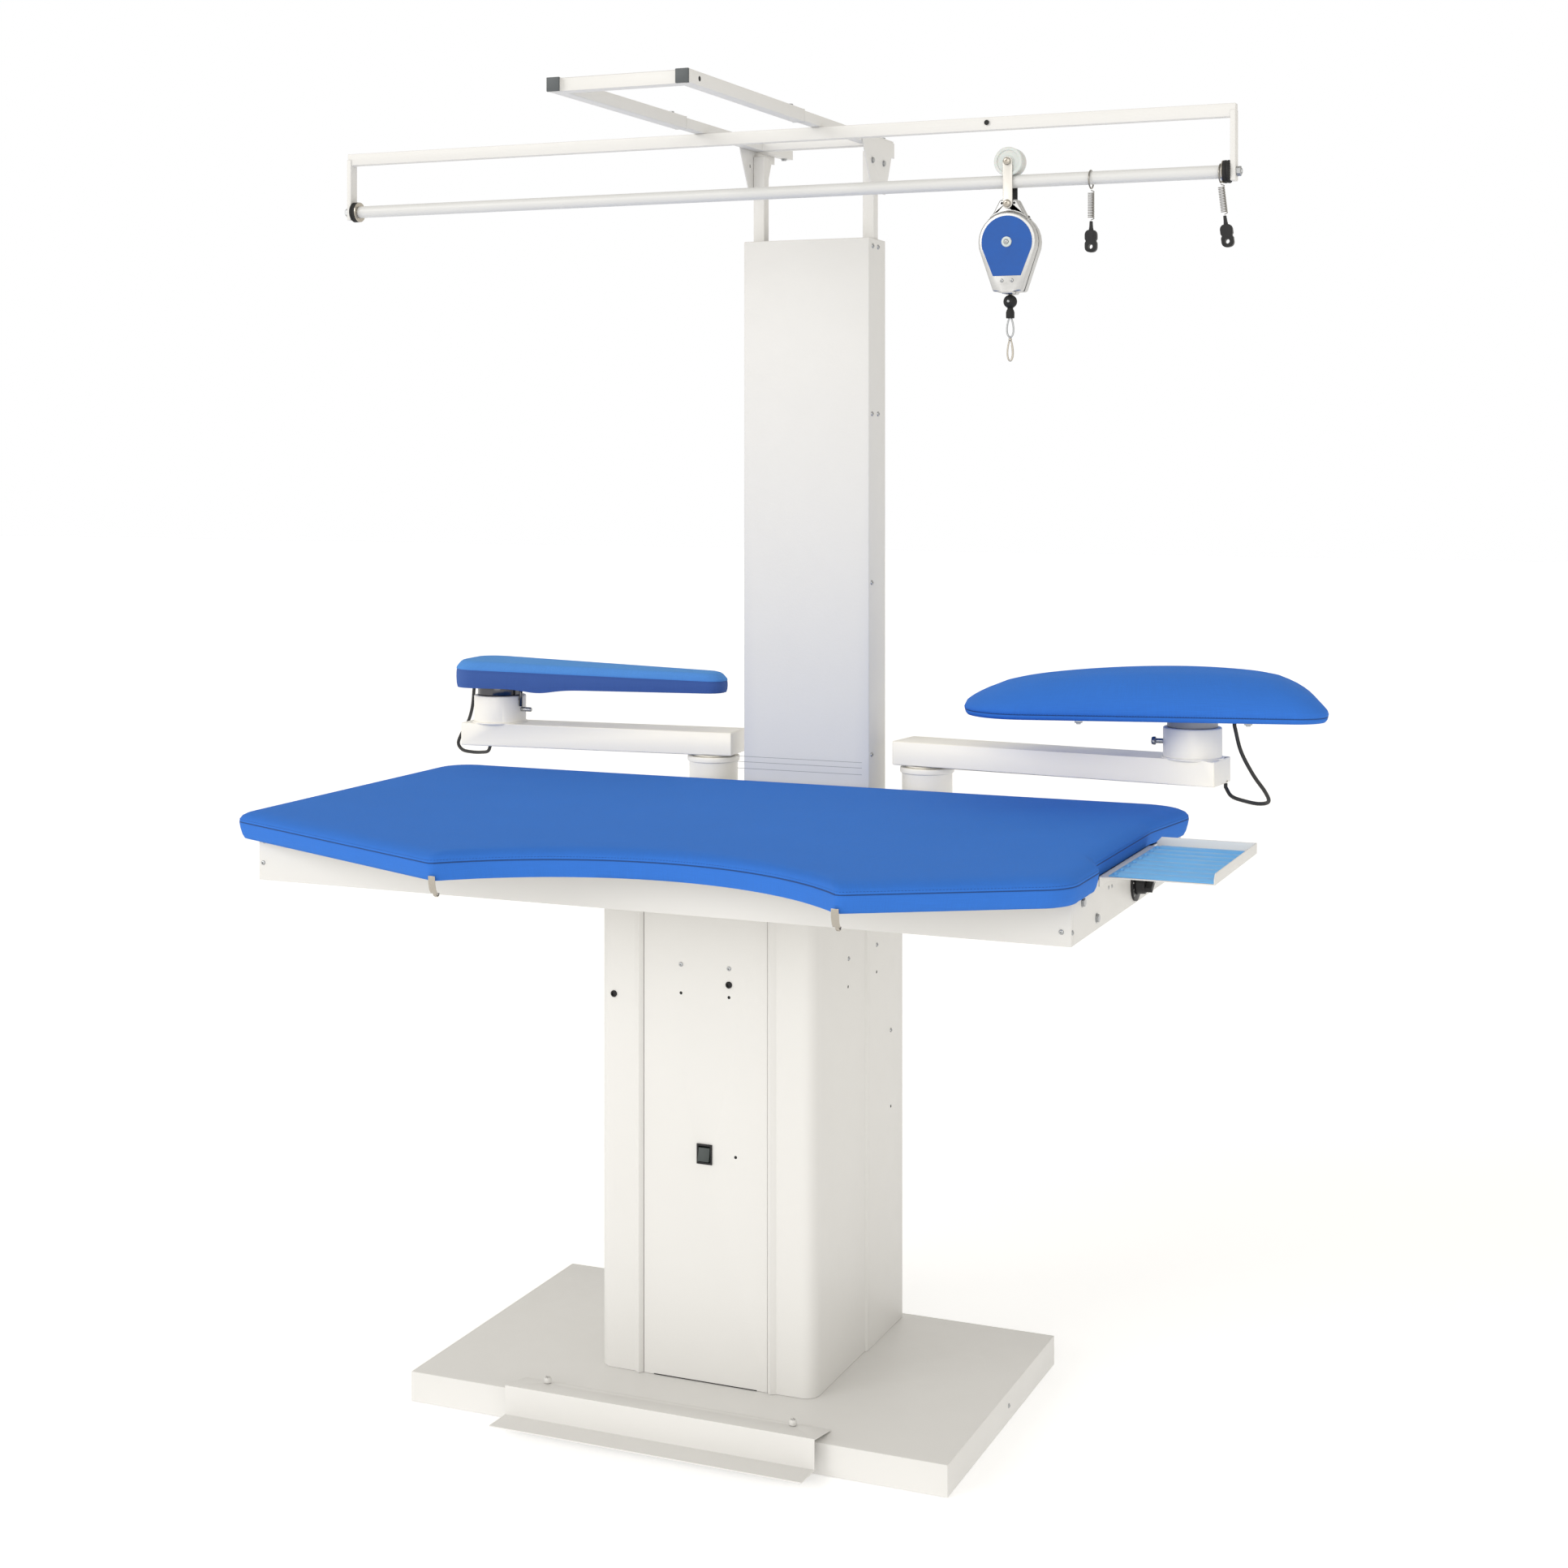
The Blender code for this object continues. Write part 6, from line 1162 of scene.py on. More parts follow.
class IRONING_OT_tray_mat(bpy.types.Operator):
    """Mould the iron tray's ribbed mat with a small foot at each rib's end"""
    bl_idname = "ironing.tray_mat"
    bl_label = "Tray mat"

    def execute(self, context):
        low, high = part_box("tray_mat")
        base = low.z + MAT_SHEET
        pitch = (high.y - low.y) / MAT_RIBS
        outline = [(high.y, low.z), (low.y, low.z)]
        for rib in range(MAT_RIBS):
            for step in range(RIB_STEPS + 1):
                share = step / RIB_STEPS
                along = min(1, max(0, (share - RIB_GAP) / (1 - 2 * RIB_GAP)))
                swell = max(0.0, math.sin(math.pi * along)) ** RIB_FULLNESS
                outline.append((low.y + (rib + share) * pitch, base + (high.z - base) * swell))
        bm = bmesh.new()
        extrude_outline(bm, outline, "X", low.x + MAT_EDGE, high.x)
        slab(bm, (low.x, low.y, low.z), (low.x + MAT_EDGE + MAT_LAP, high.y, base))
        dome = [(FOOT_RADIUS * radius, FOOT_HEIGHT * height) for radius, height in dome_profile(1.0)]
        for rib in range(MAT_RIBS):
            lathe(bm, dome, (low.x + FOOT_X, low.y + (rib + 0.5) * pitch, base), "Z", 20)
        new_piece("tray_mat_ribs", bm, "mat_silicone", "tray_mat", True, CURVED_SHARP)
        return {"FINISHED"}


GRIP_TURN = Matrix.Rotation(math.radians(35), 2)
GRIP_HALF = (0.0135, 0.0048)
GRIP_ROUND = 0.002
KNOB_BORE = 0.0036
GRIP_EDGE = 0.0006
INK_SUNK, POINTER_PROUD, MARK_PROUD, DIAL_GAP = 0.0001, 0.0002, 0.00015, 0.0003
POINTER = (0.0020, 0.0112, 0.0007)
MARKS = 11
MARK_FIRST, MARK_STEP = 225, 27
MARK_START = 0.0192
SHORT_MARK, LONG_MARK = (0.0226, 0.00035), (0.0238, 0.0006)


def bar(start, end, across):
    """The four corners of a bar from its two ends and half its width."""
    return start - across, end - across, end + across, start + across


class IRONING_OT_thermostat(bpy.types.Operator):
    """Turn the thermostat's knob with its grip and ring the dial with marks"""
    bl_idname = "ironing.thermostat"
    bl_label = "Thermostat"

    def execute(self, context):
        low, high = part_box("thermostat_knob")
        centre = (low + high) / 2
        radius = (high.y - low.y) / 2
        skirt_end = (high.x - low.x) / 2

        def on_dial(bm, points, start, end):
            extrude_outline(bm, [(centre.y + p.x, centre.z + p.y) for p in points], "X", start, end)

        bm = bmesh.new()
        lathe(bm, [(KNOB_BORE, 0), (radius, 0), (radius, 0.0030), (radius * 0.93, 0.0050),
                   (radius * 0.90, skirt_end), (radius * 0.80, skirt_end + 0.0015),
                   (0.0084, skirt_end + 0.0020), (KNOB_BORE, skirt_end + 0.0016)],
              (low.x, centre.y, centre.z), "X", 40)
        half_x, half_y = GRIP_HALF
        grip = rounded_outline([(x, y, GRIP_ROUND) for x, y in (
            (-half_x, -half_y), (half_x, -half_y), (half_x, half_y), (-half_x, half_y))], 5)
        on_dial(bm, [GRIP_TURN @ point for point in grip], low.x + skirt_end, high.x)
        knob = new_piece("thermostat_knob_grip", bm, "black_plastic", "thermostat_knob", True)
        bevelled(knob, GRIP_EDGE, 40)
        tail, tip, half = POINTER
        start, end = GRIP_TURN @ Vector((tail, 0)), GRIP_TURN @ Vector((tip, 0))
        pointer = bmesh.new()
        on_dial(pointer, bar(start, end, (end - start).normalized().orthogonal() * half),
                high.x - INK_SUNK, high.x + POINTER_PROUD)
        new_piece("thermostat_pointer", pointer, "white_ink", "thermostat_knob")
        marks = bmesh.new()
        face = low.x - DIAL_GAP
        for mark in range(MARKS):
            angle = math.radians(MARK_FIRST - MARK_STEP * mark)
            spoke = Vector((math.cos(angle), math.sin(angle)))
            end, half = SHORT_MARK if mark % 2 else LONG_MARK
            on_dial(marks, bar(spoke * MARK_START, spoke * end, spoke.orthogonal() * half),
                    face - INK_SUNK, face + MARK_PROUD)
        new_piece("dial_marks", marks, "white_ink", "thermostat_body")
        return {"FINISHED"}


# Arms, cups and clamp screws

CLAMP_TURNS = {"right": math.radians(186.0), "left": math.radians(355.0)}
CLAMP_Z = 1.002
SHANK = [(0, 0.0386), (0.0032, 0.0386), (0.0039, 0.0392)]
HANDLES = {
    "right": [(0.0039, 0.0570), (0.0062, 0.0572), (0.0066, 0.0600), (0.0058, 0.0638), (0, 0.0642)],
    "left": [(0.0039, 0.0650), (0.0034, 0.0662), (0, 0.0666)],
}
WING = ((0.0560, 0.0030, 0.001), (0.0568, 0.0120, 0.0035), (0.0644, 0.0130, 0.0035), (0.0632, 0.0035, 0.001))
WING_HALF = 0.0018
WELD_RING, WELD_BEAD, WELD_RIPPLE, WELD_WAVES = 0.0465, 0.0026, 0.10, 70
WELD_SIDES, WELD_TURNS, WELD_FLATNESS, WELD_LIFT = 96, 8, 0.7, 0.0004
CLAMP_EDGE = 0.0005
DROP_PIN = ((0, 1.0075), (0.0026, 1.0075), (0.0031, 1.0085), (0.0031, 1.0400), (0.0026, 1.0410), (0, 1.0410))
DROP_PIN_REACH = 0.0490
DROP_PIN_STEM = ((0, 0.0440), (0.0022, 0.0440), (0.0022, DROP_PIN_REACH), (0, DROP_PIN_REACH))
DROP_PIN_STEM_Z = 1.0200
DROP_PIN_TURN = math.radians(-13.0)


def weld_bead(bm, cup, height):
    """Adds a weld bead's ring with its ripples round a cup."""
    loops = []
    for step in range(WELD_SIDES):
        angle = 2 * math.pi * step / WELD_SIDES
        swell = WELD_BEAD * (1 + WELD_RIPPLE * math.sin(WELD_WAVES * angle))
        loop = []
        for turn in range(WELD_TURNS):
            around = 2 * math.pi * turn / WELD_TURNS
            reach = WELD_RING + swell * math.cos(around)
            x, y = cup[0] + reach * math.cos(angle), cup[1] + reach * math.sin(angle)
            loop.append(bm.verts.new((x, y, height + swell * WELD_FLATNESS * math.sin(around))))
        loops.append(loop)
    for loop, following in zip(loops, loops[1:] + loops[:1]):
        for turn in range(WELD_TURNS):
            after = (turn + 1) % WELD_TURNS
            bm.faces.new((loop[turn], following[turn], following[after], loop[after]))
    bmesh.ops.recalc_face_normals(bm, faces=bm.faces)


class IRONING_OT_arm_fittings(bpy.types.Operator):
    """Weld the cups to the arms and fit their clamp screws and the left cup's drop pin"""
    bl_idname = "ironing.arm_fittings"
    bl_label = "Arm fittings"

    def execute(self, context):
        for side, cup in CUPS.items():
            weld = bmesh.new()
            weld_bead(weld, cup, ARM_TOP + WELD_LIFT)
            new_piece(f"cup_weld_{side}", weld, "arm_coat", f"arm_{side}")
            bm = bmesh.new()
            lathe(bm, SHANK + HANDLES[side], (0, 0, 0), "X", 24)
            wings = SIDES if side == "right" else ()
            for sign in wings:
                wing = rounded_outline([(x, sign * y, radius) for x, y, radius in WING], 5)
                extrude_outline(bm, [(p.x, p.y) for p in wing], "Z", -WING_HALF, WING_HALF)
            bevelled(new_piece(f"clamp_handle_{side}", bm, "zinc", f"clamp_screw_{side}", True,
                               at=about_cup(side, CLAMP_Z, CLAMP_TURNS[side])), CLAMP_EDGE, 40)
        pin = bmesh.new()
        lathe(pin, DROP_PIN, (DROP_PIN_REACH, 0, 0), "Z", 24)
        lathe(pin, DROP_PIN_STEM, (0, 0, DROP_PIN_STEM_Z), "X", 20)
        new_piece("cup_drop_pin", pin, "dark_chrome", "spigot_left", at=about_cup("left", 0, DROP_PIN_TURN),
                  body="arm_left")
        return {"FINISHED"}


# Rail fittings, trolley and balancer

WASHER_RADIUS, WASHER_BORE, WASHER_SHEET = 0.0168, 0.0042, 0.0014
RUBBER_RADIUS, RUBBER_GROOVE, RUBBER_START, RUBBER_ROUND = 0.0170, 0.0160, 0.0016, 0.0012
ROD_RADIUS = 0.0100
ROD_END = 0.0003
NUT = ((0, 0.0003), (0.0074, 0.0003), (0.0074, 0.0062), (0.0066, 0.0070), (0.0040, 0.0072), (0.0036, 0.0083),
       (0, 0.0083))


class IRONING_OT_rail_fittings(bpy.types.Operator):
    """Turn the rod, its rubber buffers with their washers, and the end nuts"""
    bl_idname = "ironing.rail_fittings"
    bl_label = "Rail fittings"

    def execute(self, context):
        low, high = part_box("rail_buffer_right")
        centre = (low + high) / 2
        axis = (0, centre.y, centre.z)
        inner, outer = low.x, high.x
        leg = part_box("rail_bar")[1].x
        rod = [(0, ROD_END - inner), (ROD_RADIUS, ROD_END - inner), (ROD_RADIUS, inner - ROD_END),
               (0, inner - ROD_END)]
        turned("rod_bar", rod, axis, "X", 48, "painted_rod", "rail_rod", True)
        start = inner + RUBBER_START
        middle = (start + outer) / 2
        washer = [(WASHER_BORE, inner), (WASHER_RADIUS, inner), (WASHER_RADIUS, inner + WASHER_SHEET),
                  (WASHER_BORE, inner + WASHER_SHEET)]
        rubber = [(WASHER_BORE, start), (RUBBER_GROOVE, start), (RUBBER_RADIUS, start + RUBBER_ROUND),
                  (RUBBER_RADIUS, middle - RUBBER_ROUND), (RUBBER_GROOVE, middle),
                  (RUBBER_RADIUS, middle + RUBBER_ROUND), (RUBBER_RADIUS, outer - RUBBER_ROUND),
                  (RUBBER_GROOVE, outer), (WASHER_BORE, outer)]
        nut = [(radius, leg + x) for radius, x in NUT]
        for side, sign in (("left", -1), ("right", 1)):
            buffer = f"rail_buffer_{side}"
            for name, profile, sides, material, node, instead, sharp in (
                    ("buffer_washer", washer, 40, "nickel", buffer, False, SHARP),
                    ("buffer_rubber", rubber, 40, "black_rubber", buffer, True, SHARP),
                    ("rod_nut", nut, 6, "zinc", "rail_rod", False, FLAT_SHARP)):
                facing = [(radius, sign * x) for radius, x in profile]
                turned(f"{name}_{side}", facing, axis, "X", sides, material, node, instead, sharp)
        return {"FINISHED"}


DROP_START, DROP_SWEEP, DROP_STEPS = -14, 208, 32


def balancer_outline(radius, half_foot, foot, centre):
    """A teardrop cut flat at its foot."""
    points = []
    for step in range(DROP_STEPS + 1):
        angle = math.radians(DROP_START + DROP_SWEEP * step / DROP_STEPS)
        points.append((centre[0] + radius * math.cos(angle), centre[1] + radius * math.sin(angle)))
    return points + [(centre[0] - half_foot, centre[1] + foot), (centre[0] + half_foot, centre[1] + foot)]


WHEEL_SIDE = [(0.0044, -0.0125), (0.0090, -0.0125), (0.0094, -0.0110), (0.0170, -0.0110), (0.0176, -0.0125),
              (0.0214, -0.0125), (0.0222, -0.0117), (0.0222, -0.0080)]
GROOVE_RADIUS, GROOVE_HALF, GROOVE_RIM, GROOVE_STEPS = 0.0104, 0.0076, 0.0221, 8
GROOVE_CENTRE = 0.0195 + GROOVE_RADIUS - 0.0004
DRUM_DROP = 0.0585
PLATE_SHAPE = (0.0400, 0.0220, -0.0515)
SEAM_SHAPE = (0.0448, 0.0222, -0.0745)
SEAM_HALF = 0.0022
PLATE_PROUD, PLATE_SUNK = 0.0008, 0.0002
BOSS = ((0, 0.0002), (0.0080, 0.0002), (0.0080, -0.0022), (0.0074, -0.0030), (0.0046, -0.0034),
        (0.0040, -0.0022), (0, -0.0022))
LOW_SCREWS = (0.0080, 1.7167, 0.0030)
BOSS_SCREW, BOSS_FACE = 0.0036, 0.0022
STRAP_SCREW = 0.0062
EAR_HOLES = (0.0098, 0.0018)
EAR_FACE, EAR_RISE = 0.0117, 0.001


class IRONING_OT_balancer(bpy.types.Operator):
    """Fit the trolley's wheel and screws and the balancer's plate, boss, screws and seam"""
    bl_idname = "ironing.balancer"
    bl_label = "Balancer"

    def execute(self, context):
        low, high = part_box("trolley_wheel")
        wheel = (low + high) / 2
        groove = []
        for step in range(-GROOVE_STEPS, GROOVE_STEPS + 1):
            along = GROOVE_HALF * step / GROOVE_STEPS
            depth = GROOVE_CENTRE - math.sqrt(GROOVE_RADIUS ** 2 - along ** 2)
            groove.append((min(GROOVE_RIM, depth), along))
        profile = WHEEL_SIDE + groove + [(radius, -along) for radius, along in WHEEL_SIDE[::-1]]
        turned("trolley_wheel_groove", profile, wheel, "Y", 64, "white_nylon", "trolley_wheel", True,
               CURVED_SHARP)
        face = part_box("balancer_front")[0].y
        centre = (wheel.x, HANGER_Z - DRUM_DROP)
        pressed("balancer_plate", balancer_outline(*PLATE_SHAPE, centre), face - PLATE_PROUD,
                face + PLATE_SUNK, "plate_blue", "balancer_front")
        boss = [(radius, face + y) for radius, y in BOSS]
        turned("balancer_boss", boss, (centre[0], 0, centre[1]), "Y", 40, "white_nylon", "balancer_front",
               sharp=CURVED_SHARP)
        aside, height, radius = LOW_SCREWS
        screws = [((centre[0] + sign * aside, face, height), FRONT, radius) for sign in SIDES]
        screws.append(((centre[0], face - BOSS_FACE, centre[1]), FRONT, BOSS_SCREW))
        fasteners("balancer_screws", "pan", screws, "balancer_front")
        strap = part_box("trolley_straps")[0].y
        heads = [((wheel.x, strap, z), FRONT, STRAP_SCREW) for z in (wheel.z, HANGER_Z)]
        fasteners("strap_screws", "pan", heads, "trolley_straps", "nickel")
        # The ear holes are near-black discs of painted shade for their unlit insides
        aside, radius = EAR_HOLES
        ears = [((centre[0] + sign * aside, wheel.y - EAR_FACE, HANGER_Z + EAR_RISE), FRONT, radius)
                for sign in SIDES]
        fasteners("balancer_ear_holes", "hole", ears, "balancer_front", "dark_hole")
        pressed("balancer_seam", balancer_outline(*SEAM_SHAPE, centre), wheel.y - SEAM_HALF,
                wheel.y + SEAM_HALF, "black_plastic", "balancer_back")
        return {"FINISHED"}


LOOP_SHARE = 0.55
LOOP_POINTS = 48
ROPE_POINTS, ROPE_RADIUS = 17, 0.0012
BALL_RADIUS, BALL_STEPS = 0.0105, 18
BALL_TOP = ((0, 0), (0.0024, 0), (0.0030, -0.0006))
BALL_SCREW, BALL_SCREW_DEPTH = 0.0022, 0.0104
THIMBLE_HALF, THIMBLE_LENGTH, THIMBLE_WIRE = 0.0065, 0.030, 0.0014
SLEEVE_END = ((0.0046, 0.0006), (0.0044, -0.0006), (0.0056, -0.0030), (0.0065, -0.0060), (0.0065, -0.0140),
              (0.0060, -0.0150), (0, -0.0150))
HOOK_BEAD = ((0, 0), (0.0022, 0), (0.0026, -0.0005), (0.0026, -0.0032), (0.0021, -0.0039), (0, -0.0039))
HOOK_DROP = 0.0026
HOOK_HALF, HOOK_WIRE, GATE_WIRE = 0.0055, 0.0013, 0.0016
GATE_POINTS = slice(8, 21)
GATE_SHIFT = Vector((-0.0004, 0, 0))


def loop_points(top, half, length):
    """A closed drop-shaped wire loop hanging on the balancer's line."""
    points = []
    for step in range(LOOP_POINTS):
        angle = 2 * math.pi * step / LOOP_POINTS
        drop = (1 - math.cos(angle)) / 2
        points.append((TROLLEY_X + half * math.sin(angle) * (LOOP_SHARE + (1 - LOOP_SHARE) * drop), RAIL_Y,
                       top - length * drop))
    return points


class IRONING_OT_balancer_line(bpy.types.Operator):
    """Hang the balancer's wire with its ball stop, sleeve, thimble and snap hook"""
    bl_idname = "ironing.balancer_line"
    bl_label = "Balancer line"

    def execute(self, context):
        low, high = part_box("balancer_wire")
        line = [(TROLLEY_X, RAIL_Y, low.z + (high.z - low.z) * step / (ROPE_POINTS - 1))
                for step in range(ROPE_POINTS)]
        curve = wire_curve("balancer_rope", line, ROPE_RADIUS)
        mesh = baked(curve)
        bpy.data.objects.remove(curve, do_unlink=True)
        mesh.shade_smooth()
        rope = placed("balancer_rope", mesh)
        mesh.materials.append(finish("zinc"))
        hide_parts("balancer_wire")
        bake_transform(rope)
        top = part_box("ball_stop")[1].z
        centre = top - BALL_RADIUS
        foot = top - 2 * BALL_RADIUS
        profile = [(radius, top + z) for radius, z in BALL_TOP]
        for step in range(3, BALL_STEPS - 1):
            angle = math.pi * step / BALL_STEPS
            profile.append((BALL_RADIUS * math.sin(angle), centre + BALL_RADIUS * math.cos(angle)))
        profile += [(radius, foot + z) for radius, z in SLEEVE_END]
        on_line = (TROLLEY_X, RAIL_Y, 0)
        turned("ball_and_sleeve", profile, on_line, "Z", 40, "black_rubber", "ball_stop", True)
        screw_at = (TROLLEY_X, RAIL_Y - BALL_SCREW_DEPTH, centre)
        fasteners("ball_screw", "pan", [(screw_at, FRONT, BALL_SCREW)], "ball_stop")
        thimble = loop_points(foot + SLEEVE_END[-1][1] + THIMBLE_WIRE, THIMBLE_HALF, THIMBLE_LENGTH)
        wire("thimble", thimble, THIMBLE_WIRE, "zinc", "ball_stop", closed=True, sides=4)
        hook_low, hook_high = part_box("snap_hook")
        bead = [(radius, hook_high.z + z) for radius, z in HOOK_BEAD]
        turned("snap_hook_bead", bead, on_line, "Z", 24, "nickel", "snap_hook", sharp=CURVED_SHARP)
        hook_top = hook_high.z - HOOK_DROP
        hook = loop_points(hook_top, HOOK_HALF, hook_top - hook_low.z - HOOK_WIRE)
        wire("snap_hook_wire", hook, HOOK_WIRE, "nickel", "snap_hook", True, closed=True, sides=4)
        gate = [Vector(point) + GATE_SHIFT for point in hook[GATE_POINTS]]
        wire("snap_hook_gate", gate, GATE_WIRE, "nickel", "snap_hook", sides=4)
        return {"FINISHED"}


# Hose hooks

SPRING_TREE = (
    "Hook Spring", {"Turns": 16.0, "Radius": 0.0045, "Step": 0.0024, "Wire": 0.0007},
    (("height", "ShaderNodeMath", {"operation": "MULTIPLY"}, {0: "given.Turns", 1: "given.Step"}),
     ("helix", "GeometryNodeCurveSpiral", {}, {
         "Resolution": 24, "Rotations": "given.Turns", "Start Radius": "given.Radius",
         "End Radius": "given.Radius", "Height": "height.Value"}),
     ("section", "GeometryNodeCurvePrimitiveCircle", {}, {"Resolution": 10, "Radius": "given.Wire"}),
     ("coil", "GeometryNodeCurveToMesh", {}, {
         "Curve": "helix.Curve", "Profile Curve": "section.Curve", "Fill Caps": True})),
    "coil.Mesh")
HOOKS = {"inner": (0.546, 0.0), "outer": (0.7425, math.radians(-7.0))}
RING_POINTS = 64
RING_WIRE = 0.0012
SPRING_TURNS, SPRING_RADIUS, SPRING_STEP, SPRING_WIRE = 16, 0.0045, 0.0024, 0.0007
SPRING_TOP = -0.0047
SPRING_END = ((0.0045, 0, 0), (0.0040, 0.0008, 0.0012), (0.0022, 0.0008, 0.0022), (0.0004, 0, 0.0028),
              (0, 0, 0.0035))


class IRONING_OT_hose_hooks(bpy.types.Operator):
    """Hang the hose hooks: ring, coil spring and its hooked ends"""
    bl_idname = "ironing.hose_hooks"
    bl_label = "Hose hooks"

    def execute(self, context):
        length = SPRING_TURNS * SPRING_STEP
        for side, (x, lean) in HOOKS.items():
            low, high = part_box(f"hook_ring_{side}")
            middle = (low + high) / 2
            radius = (high.z - low.z) / 2 - RING_WIRE
            angles = [2 * math.pi * step / RING_POINTS for step in range(RING_POINTS)]
            ring = [(x, RAIL_Y + radius * math.cos(angle), middle.z + radius * math.sin(angle))
                    for angle in angles]
            wire(f"ring_{side}", ring, RING_WIRE, "spring_steel", f"hook_ring_{side}", True,
                 closed=True, sides=4)
            hang = Matrix.Translation((x, RAIL_Y, low.z)) @ Matrix.Rotation(lean, 4, "Y")
            spring = f"spring_{side}"
            node = f"hook_spring_{side}"
            coil = placed(spring, bpy.data.meshes.new(spring))
            run_tree(coil, SPRING_TREE, {"Turns": float(SPRING_TURNS), "Radius": SPRING_RADIUS,
                                         "Step": SPRING_STEP, "Wire": SPRING_WIRE,
                                         "Material": finish("spring_steel")})
            coil.data.transform(hang @ Matrix.Translation((0, 0, SPRING_TOP - length)))
            settle(coil, None, node, True)
            for end, start, sign in (("top", SPRING_TOP, 1), ("foot", SPRING_TOP - length, -1)):
                path = [hang @ Vector((a, b, start + sign * rise)) for a, b, rise in SPRING_END]
                wire(f"{spring}_{end}", path, SPRING_WIRE, "spring_steel", node)
        return {"FINISHED"}


# Cover clips

STRAP_INSET, STRAP_EDGE, STRAP_BEND = 0.0002, 0.0003, 50
# The (y, z) path, half width and sheet thickness of the strap and of its hook
CLIP_PARTS = (
    (((0.0000, 0.8725), (0.0008, 0.8620), (0.0030, 0.8530), (0.0068, 0.8475)), 0.0054, 0.0011),
    (((0.0064, 0.8490), (0.0090, 0.8440), (0.0130, 0.8415), (0.0168, 0.8425), (0.0185, 0.8460)),
     0.0024, 0.0014),
)


def strap_outline(path, sheet):
    """The closed outline of a sheet of even thickness along a path of (y, z) points."""
    points = [Vector(point) for point in path]
    inner = []
    for index, point in enumerate(points):
        along = points[min(index + 1, len(points) - 1)] - points[max(index - 1, 0)]
        across = Vector((-along.y, along.x)).normalized()
        inner.append(point + across * sheet)
    return points + inner[::-1]


class IRONING_OT_cover_clips(bpy.types.Operator):
    """Bend the nickel straps and small hooks that hold the cover at its two front points"""
    bl_idname = "ironing.cover_clips"
    bl_label = "Cover clips"

    def execute(self, context):
        for side in ("left", "right"):
            node = f"cover_clip_{side}"
            low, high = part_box(node)
            middle = (low.x + high.x) / 2
            bm = bmesh.new()
            for path, half, sheet in CLIP_PARTS:
                outline = strap_outline([(low.y + STRAP_INSET + y, z) for y, z in path], sheet)
                extrude_outline(bm, outline, "X", middle - half, middle + half)
            clip = new_piece(f"clip_strap_{side}", bm, "nickel", node, True)
            bevelled(clip, STRAP_EDGE, STRAP_BEND)
        return {"FINISHED"}


# Studio

CAMERA_AT = (1.4984, -3.3743, 1.4516)
CAMERA_TURN = math.radians(22.855)
CAMERA_SHIFT, CAMERA_SENSOR, CAMERA_REACH = -0.2098, 36, 60
SUN_DISTANCE = 5
# Azimuth, elevation, power and softness of each light
SUNS = {"key": (-35, 22, 0.82, 34), "fill": (14, 14, 0.50, 40), "arm_light": (4, 17, 0.80, 30)}
ARM_LIGHT_COLOUR = (1.0, 0.88, 0.58)
ARM_LIGHT_PIECES = ("arm_left_finished", "arm_right_finished", "pivot_socket_left_finished",
                    "pivot_socket_right_finished", "cup_weld_left", "cup_weld_right")
ROOM_COLOUR = (1.0, 0.972, 0.915, 1.0)
SKY_OVERHEAD = 0.62
FLOOR_SIZE = 30
FLOOR_Z = -0.0005


def soft_sun(name):
    """A soft even light from an azimuth, counted from the front towards the right, and an elevation."""
    azimuth, elevation, power, softness = SUNS[name]
    lamp = bpy.data.lights.new(name, "SUN")
    lamp.energy = power * bpy.context.scene.ironing_studio.light
    lamp.angle = math.radians(softness)
    turn, rise = math.radians(azimuth), math.radians(elevation)
    towards = Vector((math.sin(turn) * math.cos(rise), -math.cos(turn) * math.cos(rise), math.sin(rise)))
    item = placed(name, lamp)
    item.location = SUN_DISTANCE * towards
    item.rotation_euler = towards.to_track_quat("Z", "Y").to_euler()
    return item


def studio_sky(strength):
    """A white room, a little darker overhead, that shows as plain white."""
    world = bpy.data.worlds.new("studio")
    world.use_nodes = True
    tree = world.node_tree
    nodes = {}
    add_nodes(tree, nodes, (
        ("place", "ShaderNodeTexCoord", {}, {}),
        ("parts", "ShaderNodeSeparateXYZ", {}, {"Vector": "place.Generated"}),
        ("height", "ShaderNodeMapRange", {}, {
            "Value": "parts.Z", "From Min": -0.1, "From Max": 1.0, "To Min": strength,
            "To Max": SKY_OVERHEAD * strength}),
        ("seen", "ShaderNodeLightPath", {}, {}),
        ("shown", "ShaderNodeMix", {}, {"Factor": "seen.Is Camera Ray", "A": "height.Result", "B": 1.0}),
        ("tone", "ShaderNodeMix", {"data_type": "RGBA"}, {
            "Factor": "seen.Is Camera Ray", "A": ROOM_COLOUR, "B": (1, 1, 1, 1)})))
    sky = tree.nodes["Background"]
    for key, socket in (("tone", "Color"), ("shown", "Strength")):
        tree.links.new(nodes[key].outputs["Result"], sky.inputs[socket])
    bpy.context.scene.world = world


